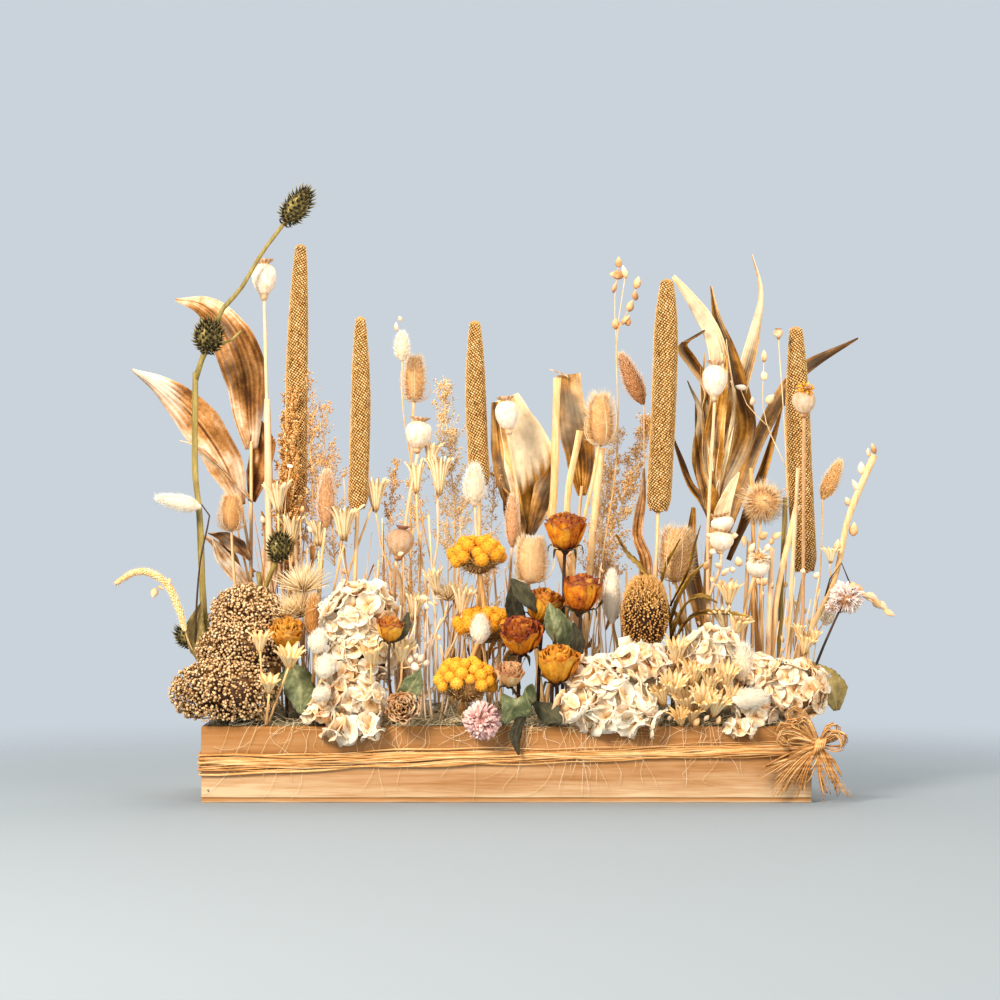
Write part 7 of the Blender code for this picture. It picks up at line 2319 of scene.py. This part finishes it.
def pods() -> list[Plant]:
    """Love-in-a-mist funnels, plumes and pale star pods.

    Returns:
        One plant for each of their nodes.
    """
    star = Coat.STAR
    thin = (1.3, 1.1)
    return [
        Plant("nigella_left", [
            stem((-186, 18, 70), (-190, 16, 150), (-210, 15, 215), (-217, 15, 244), r=thin),
            stem((-188, 16, 130), (-190, 14, 205), (-190, 8, 246), r=thin),
            stem((-188, 16, 130), (-174, 8, 210), (-164, -2, 252), r=thin),
            Pod((-217, 15, 268), 13.5, 15),
            Pod((-190, 8, 264), 12, 13),
            Pod((-164, -2, 274), 15.5, 17),
            Huskets(((-198, -4, 268), (-219, 6, 332), (-227, 4, 308), (-165, 10, 323), (-206, 0, 288)), 4.6, 3.4,
                tone=0.6),
            stem((-206, 5, 200), (-208, 0, 262), (-206, 0, 286), (-198, -3, 268), r=(0.6, 0.5)),
            stem((-174, 8, 210), (-164, 8, 280), (-165, 10, 322), r=(0.6, 0.5)),
            stem((-226, 6, 200), (-224, 6, 290), (-219, 6, 330), r=(0.6, 0.5)),
            stem((-178, 14, 80), (-166, 16, 200), (-137, 18, 290), r=thin),
            Pod((-232, 4, 300), 13, 15, (-0.1, 0, 1)),
            stem((-190, 14, 90), (-226, 6, 200), (-231, 4, 290), r=thin),
            Thicket((-236, -150), (0, 40), 275, 22, 16, 10, 0.55),
            stem((-190, 16, 140), (-204, 5, 200), (-203, -14, 212), r=thin),
            Tuft((-203, -24, 221), 16, 260, opening=0.42),
            Tuft((-222, -28, 190), 14, 220, opening=0.42),
            Tuft((-206, -28, 196), 15, 220, tone=0.6, opening=0.35)]),
        Plant("nigella_centre", [
            stem((-82, -10, 70), (-82, -8, 150), (-86, 24, 185), (-122, 22, 235), (-133, 22, 286), r=thin),
            stem((-82, -8, 150), (-80, 10, 200), (-70, 14, 250), (-70, 14, 298), r=thin),
            Pod((-133, 22, 303), 13.5, 16),
            Pod((-68, 14, 322), 12.5, 19),
            Pod((-91, 12, 320), 9, 17, (0, 0, 1), 7),
            Pod((-76, 18, 343), 9.5, 14, (0.1, 0, 1), 8),
            stem((-80, 10, 200), (-90, 12, 270), (-91, 12, 306), r=thin),
            Pod((-44, -20, 196), 12.5, 15, (0.1, -0.2, 1), 13),
            stem((-70, -12, 120), (-50, -18, 160), (-44, -20, 184), r=thin),
            Pod((-72, -24, 216), 10, 13, (-0.2, -0.2, 1), 11),
            Pod((-92, -8, 190), 10, 14, (0.1, -0.2, 1), 11),
            Thicket((-140, -50), (-6, 44), 300, 30, 18, 14, 0.68),
            stem((-82, -8, 148), (-62, -10, 180), (-58, -12, 198), r=thin),
            Tuft((-58, -12, 208), 11.5, 170),
            Huskets(((-74, 13, 352), (-86, 14, 338)), 4.5, 3.4, tone=0.8),
            stem((-70, 14, 292), (-73, 13, 320), (-74, 13, 350), r=(0.6, 0.5))]),
        Plant("nigella_right", [
            stem((240, -12, 70), (234, -18, 130), (226, -26, 180), (222, -30, 194), r=thin),
            Pod((222, -30, 204), 12.5, 12, (0, -0.2, 1), 11, star),
            Pod((230, -34, 172), 12, 11, (0.3, -0.3, 1), 11, star),
            Pod((300, -20, 152), 9, 10, (0.2, -0.2, 1), 9, star),
            Pod((216, -28, 178), 9, 12, (-0.3, -0.2, 1), 9),
            *[stem((262 + 3 * i, -8 + 3 * (i % 3), 80), (268 + 6 * i, -10, 130), (274 + 8 * i, -14,
                176 + 22 * (i % 3)), r=(0.7, 0.5)) for i in range(6)],
            Huskets(((266, -26, 212), (258, -24, 216), (298, -14, 226), (312, -14, 222)), 4.6, 3.8, tone=0.5),
            Pod((294, -18, 166), 6, 7, (0, -0.2, 1), 8, star),
            Pod((310, -16, 160), 6, 7, (0.2, -0.2, 1), 8, star),
            Huskets(((203, -26, 262), (206, -28, 246), (200, -24, 232), (212, -28, 232), (219, -28, 226),
                (226, -28, 228), (232, -26, 236), (206, -28, 218), (228, -24, 262), (214, -28, 214), (238, -22, 256),
                (246, -20, 250), (258, -16, 262), (266, -14, 256), (272, -12, 262), (262, -18, 250), (253, -18, 216)),
                5.2, 4.2, (0.1, -0.2, 1), tone=0.6, scatter=0.8),
            stem((233, -19, 130), (240, -16, 190), (251, -18, 226), r=(2.0, 1.6)),
            Poppy((252, -18, 229), 12, 10, (0.05, -0.2, 1), 0.9, 0.0, 0.6, 13, 0.5),
            PaperFlower((253, -21, 239), 11, (0.1, -0.6, 0.8), 60, 0.5, Coat.CREAM_PAPER, 0.6)]),
        Plant("star_pods_left", [
            stem((-238, -56, 70), (-240, -74, 120), (-241, -82, 150), r=thin),
            stem((-238, -56, 70), (-222, -78, 110), (-213, -83, 134), r=thin),
            stem((-238, -56, 70), (-234, -80, 90), (-232, -85, 108), r=thin),
            Pod((-241, -82, 158), 9, 11, (0.1, -0.2, 1), 8, star),
            Pod((-212, -84, 143), 14, 11, (0.05, -0.5, 1), 10, star, 0.6, 1.1),
            Pod((-232, -86, 117), 10, 9, (0.1, -0.5, 1), 8, star, 0.6, 1.1)]),
        Plant("star_pods_middle", [
            stem((-126, -50, 70), (-132, -70, 110), (-133, -74, 136), r=thin),
            stem((-126, -50, 70), (-106, -62, 110), (-103, -66, 138), r=thin),
            Pod((-133, -74, 145), 12.5, 12, (-0.1, -0.4, 1), 9, star, 0.65, 1.2),
            Pod((-103, -66, 147), 11.5, 12, (0.1, -0.3, 1), 9, star, 0.65, 1.3),
            stem((-103, -66, 132), (-90, -66, 134), (-82, -66, 137), r=(0.8, 0.7)),
            Thicket((-112, -62), (-56, -24), 205, 18, 14, 14, 0.85, Coat.CREAM_STEM, Coat.CREAM_LEAF),
            Huskets(((-95, -66, 141), (-89, -68, 144), (-84, -67, 142), (-79, -64, 137), (-90, -66, 134)), 5, 4.2,
                (0.2, -0.2, 1), tone=0.9)]),
        Plant("star_pods_right", [
            *[stem((178, -54, 70), ((178 + x) / 2, (y - 54) / 2 - 2, (70 + z) / 2), (x, y, z - 8), r=thin) for x, y,
                z in ((168, -58, 148), (164, -72, 112), (194, -78, 100), (216, -66, 122))],
            Pod((168, -58, 146), 11, 15, (0, -0.4, 1), 12, star, 0.6, 1.2),
            Pod((164, -72, 114), 13.5, 13, (0, -0.7, 1), 14, star, 0.66, 0.8),
            Pod((194, -78, 101), 14, 12, (0, -0.9, 1), 14, star, 0.7, 0.8),
            Pod((216, -66, 122), 12, 14, (0, -0.5, 1), 12, star, 0.6, 1.1),
            *[Pod(where, w, h, lean, 14, star, tone) for where, w, h, lean, tone in (((182, -70, 88), 11, 10,
                (0, -0.5, 1), 0.55), ((176, -74, 100), 12, 12, (-0.3, -0.5, 1), 0.6), ((206, -76, 96), 12, 12,
                (0.3, -0.5, 1), 0.65), ((184, -66, 124), 13, 14, (0.1, -0.3, 1), 0.5), ((152, -70, 106), 11, 12,
                (-0.3, -0.4, 1), 0.55), ((200, -66, 116), 11, 13, (0.2, -0.3, 1), 0.6), ((222, -70, 104), 11, 11,
                (0.4, -0.4, 1), 0.6), ((170, -78, 84), 9, 9, (-0.2, -0.8, 1), 0.5))],
            Huskets(((196, -76, 84), (186, -78, 80), (208, -76, 82), (160, -76, 84)), 5, 4, (0, -0.4, 1), 0.5)]),
    ]


def grasses() -> list[Plant]:
    """Panicles, straw canes, quaking grass and oats.

    Returns:
        One plant for each of their nodes.
    """
    thin = (0.9, 0.6)
    return [
        Plant("panicum_left", [
            stem((-224, 54, 70), (-222, 54, 160), (-220, 54, 262)),
            Thicket((-262, -190), (10, 56), 290, 20, 14, 8, 0.5, leaf=Coat.TAN_LEAF),
            Spray(((-224, 52, 190), (-226, 52, 260), (-226, 52, 330), (-222, 54, 390)), 17, 330, 26, tone=0.5,
                seed_size=1.25, rise=2.4),
            Spray(((-226, 22, 250), (-222, 18, 300), (-218, 16, 350), (-216, 16, 408)), 15, 260, 22, tone=0.55,
                seed_size=1.15, rise=2.0),
            Spray(((-196, 30, 240), (-198, 30, 310), (-202, 30, 370), (-206, 30, 432)), 22, 170, 16, tone=0.65,
                seed_size=0.9),
            Spray(((-176, 40, 230), (-180, 40, 290), (-186, 40, 350), (-188, 40, 396)), 26, 170, 14, tone=0.62,
                seed_size=0.9),
            Spray(((-222, 54, 200), (-220, 54, 300), (-219, 54, 340), (-216, 55, 400), (-214, 55, 430)), 26, 230, 24,
                seed_size=1.15)]),
        Plant("panicum_centre", [
            stem((-56, 50, 70), (-54, 50, 180), (-53, 50, 276)),
            Spray(((-54, 50, 230), (-53, 50, 290), (-58, 48, 340), (-62, 47, 380), (-64, 46, 422)), 23, 230, 20,
                tone=0.85, seed_size=0.95),
            Thicket((-60, 20), (14, 56), 250, 22, 14, 10, 0.62),
            Spray(((-98, 34, 130), (-100, 34, 210), (-94, 34, 280), (-92, 34, 330)), 27, 170, 14, tone=0.75,
                seed_size=0.9),
            Spray(((-20, 40, 160), (-18, 40, 230), (-14, 40, 290), (-12, 40, 330)), 20, 110, 12, tone=0.75,
                seed_size=0.9),
            Spray(((-118, 40, 200), (-120, 40, 260), (-116, 40, 310), (-112, 40, 340)), 17, 100, 14, tone=0.6,
                seed_size=0.9),
            stem((-56, 50, 150), (-80, 24, 250), (-104, 20, 380), (-106, 20, 445), r=thin),
            Tail((-106, 20, 438), (-106, 20, 469), 8.6, Coat.WHITE_TAIL, 0.6, 900),
            Huskets(((-112, 20, 474), (-108, 20, 482)), 4.5, 3, tone=0.8)]),
        Plant("panicum_right", [
            stem((96, 50, 70), (96, 46, 180), (99, 42, 240)),
            Thicket((60, 150), (16, 56), 235, 24, 12, 8, 0.6),
            Spray(((97, 44, 190), (104, 42, 250), (118, 42, 290), (134, 42, 340), (146, 42, 384)), 24, 230, 24,
                tone=0.7, seed_size=1.0),
            Spray(((94, 46, 200), (97, 46, 260), (104, 46, 310), (114, 46, 376)), 22, 200, 20, tone=0.8,
                seed_size=0.9)]),
        Plant("grass_centre", [
            stem((76, 22, 70), (80, 24, 150), r=(3.8, 3.6)),
            Thicket((24, 100), (0, 40), 250, 22, 10, 6, 0.7, Coat.CREAM_STEM),
            stem((80, 24, 140), (62, 24, 220), (47, 26, 270), (49, 26, 310), (52, 26, 422), r=(4.0, 4.6, 4.2)),
            stem((80, 24, 140), (62, 20, 280), (75, 20, 368), r=(3.2, 3.8)),
            stem((80, 24, 140), (85, 30, 220), (97, 30, 351), r=(3.4, 4.6)),
            stem((80, 24, 140), (112, 34, 330), (113, 34, 461), (121, 34, 480), r=(1.2, 0.7)),
            stem((113, 34, 455), (111, 34, 500), (115, 34, 540), r=(0.6, 0.4)),
            stem((113, 34, 470), (122, 34, 528), r=(0.5, 0.4)),
            stem((113, 34, 470), (131, 34, 504), (134, 34, 518), r=(0.5, 0.4)),
            Huskets(((115, 34, 541), (121, 34, 531), (111, 34, 515), (134, 34, 520), (132, 34, 507), (124, 34, 481),
                (113, 34, 528), (127, 34, 496), (112, 34, 478), (122, 34, 482)), 7.4, 4.6, (0.1, 0, 1), tone=0.45)]),
        Plant("grass_right", [
            stem((268, 4, 70), (290, 8, 130), (331, 8, 213), (347, 8, 280), (373, 8, 343), r=(2.6, 3.2, 3.8)),
            stem((268, 4, 90), (272, -4, 195), (293, -5, 292), r=(3.0, 3.4)),
            *[Stem([(x, y, 70), (x + 2, y, 150), (x + d, y + 2, z)], (g, g, g * 0.9), c, t) for x, y, d, z, g, c,
                t in ((238, 6, 8, 256, 2.6, Coat.CREAM_STEM, 0.5), (246, -2, 4, 240, 2.2, Coat.STRAW, 0.4),
                (256, 4, 2, 232, 2.9, Coat.STRAW, 0.62), (262, -8, 6, 250, 3.2, Coat.CREAM_STEM, 0.55),
                (274, 2, 8, 300, 2.7, Coat.OLIVE_STEM, 0.7), (282, -8, 12, 330, 2.6, Coat.CREAM_STEM, 0.6),
                (252, 10, -4, 330, 2.4, Coat.STRAW, 0.3))],
            Thicket((236, 304), (-14, 40), 230, 16, 6, 12, 0.7),
            stem((268, 4, 90), (282, 6, 200), (284, 10, 330), (276, 12, 465), r=thin),
            Poppy((276, 12, 466), 5, 4.6, tone=0.5),
            stem((284, 10, 330), (262, 14, 384), (262, 16, 442), r=(0.6, 0.4)),
            stem((268, 13, 370), (246, 14, 392), (238, 14, 410), r=(0.6, 0.4)),
            stem((331, 8, 213), (327, 4, 228), (328, 2, 236), r=thin),
            stem((331, 8, 210), (344, 7, 212), (356, 6, 206), r=thin),
            stem((322, 8, 196), (329, 4, 222), (338, 2, 234), (345, 2, 226), (347, 2, 214), r=(1.0, 0.8),
                coat=Coat.DARK_STEM),
            Huskets(((262, 16, 444), (238, 14, 412), (367, 8, 346), (354, 8, 312), (335, 8, 252), (250, 14, 398),
                (262, 15, 424), (268, 12, 400), (360, 8, 330), (372, 8, 350), (346, 8, 296), (352, 8, 268)), 6.8,
                4.5),
            Pod((328, 2, 242), 8.5, 8, (0, -0.1, 1), 9, Coat.STAR, 0.75),
            Huskets([(352 + 6 * i, 6 + i % 2, 209 - 4.3 * i + 3 * (i % 2)) for i in range(7)], 7.2, 4.9, (1, 0, -0.7),
                tone=0.7, scatter=0.2),
            stem((350, 6, 208), (370, 6, 195), (386, 6, 184), r=(1.2, 0.8))]),
    ]


# ---------------------------------------------------------------- the studio


@dataclass
class Studio:
    """A pale floor that fades away, soft lights and a level camera."""

    air: str = "cad3db"
    floor: str = "8d979f"
    reach: float = 1.9
    middle: float = -0.35
    fade: tuple[float, float] = (0.65, 1.35)
    eye: Point = (-0.0064, -2.57, 0.2975)

    def ground(self) -> None:
        """Adds the round floor; its rim fades to clear with distance from the middle."""
        a = np.linspace(0, TAU, 96, endpoint=False)
        ring = np.stack((self.reach * np.cos(a), self.reach * np.sin(a) + self.middle, 0 * a), -1)
        mesh = bpy.data.meshes.new("studio_floor")
        mesh.from_pydata(ring.tolist(), [], [list(range(len(ring)))])
        graph = Graph("studio_floor", 0.85, 0.2)
        graph.feed(graph.shader, {"Base Color": linear(self.floor)})
        spot = graph.add("TexCoord").outputs["Object"]
        shift = graph.add("Mapping", {"Vector": spot, "Location": (0, -self.middle, 0)}).outputs[0]
        far = graph.add("VectorMath", {0: shift}, operation="LENGTH").outputs["Value"]
        near, gone = self.fade
        clear = graph.add("MapRange", {"Value": far, "From Min": near, "From Max": gone},
                          interpolation_type="SMOOTHSTEP").outputs[0]
        graph.mix_out(clear, graph.shader.outputs[0], graph.add("BsdfTransparent").outputs[0])
        mesh.materials.append(graph.made)
        made = linked("studio_floor", mesh)

    def light(self, name: str, where: Point, power: float, size: float, tint: str) -> None:
        """Adds a square soft light that looks at the middle of the arrangement.

        Args:
            name: name of the light.
            where: place in metres.
            power: power in watts.
            size: side of the square in metres.
            tint: six-figure colour code.
        """
        lamp = bpy.data.lights.new(name, "AREA")
        lamp.energy, lamp.size = power, size
        lamp.color = linear(tint)[:3]
        made = linked(name, lamp)
        made.location = where
        aim = -unit(np.array(where, float) - (0, 0, 0.2))
        made.rotation_euler = Vector(aim).to_track_quat("-Z", "Y").to_euler()

    def build(self) -> None:
        """Adds the floor, the lights, the pale air and the camera."""
        self.ground()
        self.light("key", (-1.2, -1.7, 1.5), 86, 0.8, "fff0dc")
        self.light("fill", (1.7, -1.5, 0.9), 27, 1.3, "ffedd8")
        self.light("top", (0.2, 0.5, 1.9), 24, 1.2, "ffeed8")
        scene = bpy.context.scene
        scene.world = bpy.data.worlds.new("studio_air")
        scene.world.use_nodes = True
        scene.world.node_tree.nodes["Background"].inputs[0].default_value = linear(self.air)
        scene.view_settings.view_transform = "Standard"
        view = bpy.data.cameras.new("camera")
        view.sensor_width, view.lens = 36.0, 91.6
        scene.camera = linked("camera", view)
        scene.camera.location = self.eye
        scene.camera.rotation_euler = (math.pi / 2, 0, 0)


def dress_foam(frame: dict) -> None:
    """Gives the hidden foam block its own green foam finish.
    """
    worn = frame["nodes"]["floral_foam"].data.materials
    worn.clear()
    worn.append(Coat.FOAM.material())


def main() -> None:
    """Loads the frame, grows every plant in order and sets the studio."""
    logging.basicConfig(level=logging.INFO, format="%(message)s")
    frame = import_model()
    dress_foam(frame)
    groups = (box_plants, millets, thorn_apples, poppies, leaves, teasels, bunny_tails, roses, clusters, hydrangeas,
              papery, pods, grasses)
    plants = [plant for group in groups for plant in group()]
    total = 0
    for seed, plant in enumerate(plants, FIRST_SEED):
        count = plant.place(frame, seed)
        total += count
        LOG.info("%-22s %7d triangles", plant.node, count)
    LOG.info("all pieces %d triangles", total)
    Studio().build()


if __name__ == "__main__":
    main()
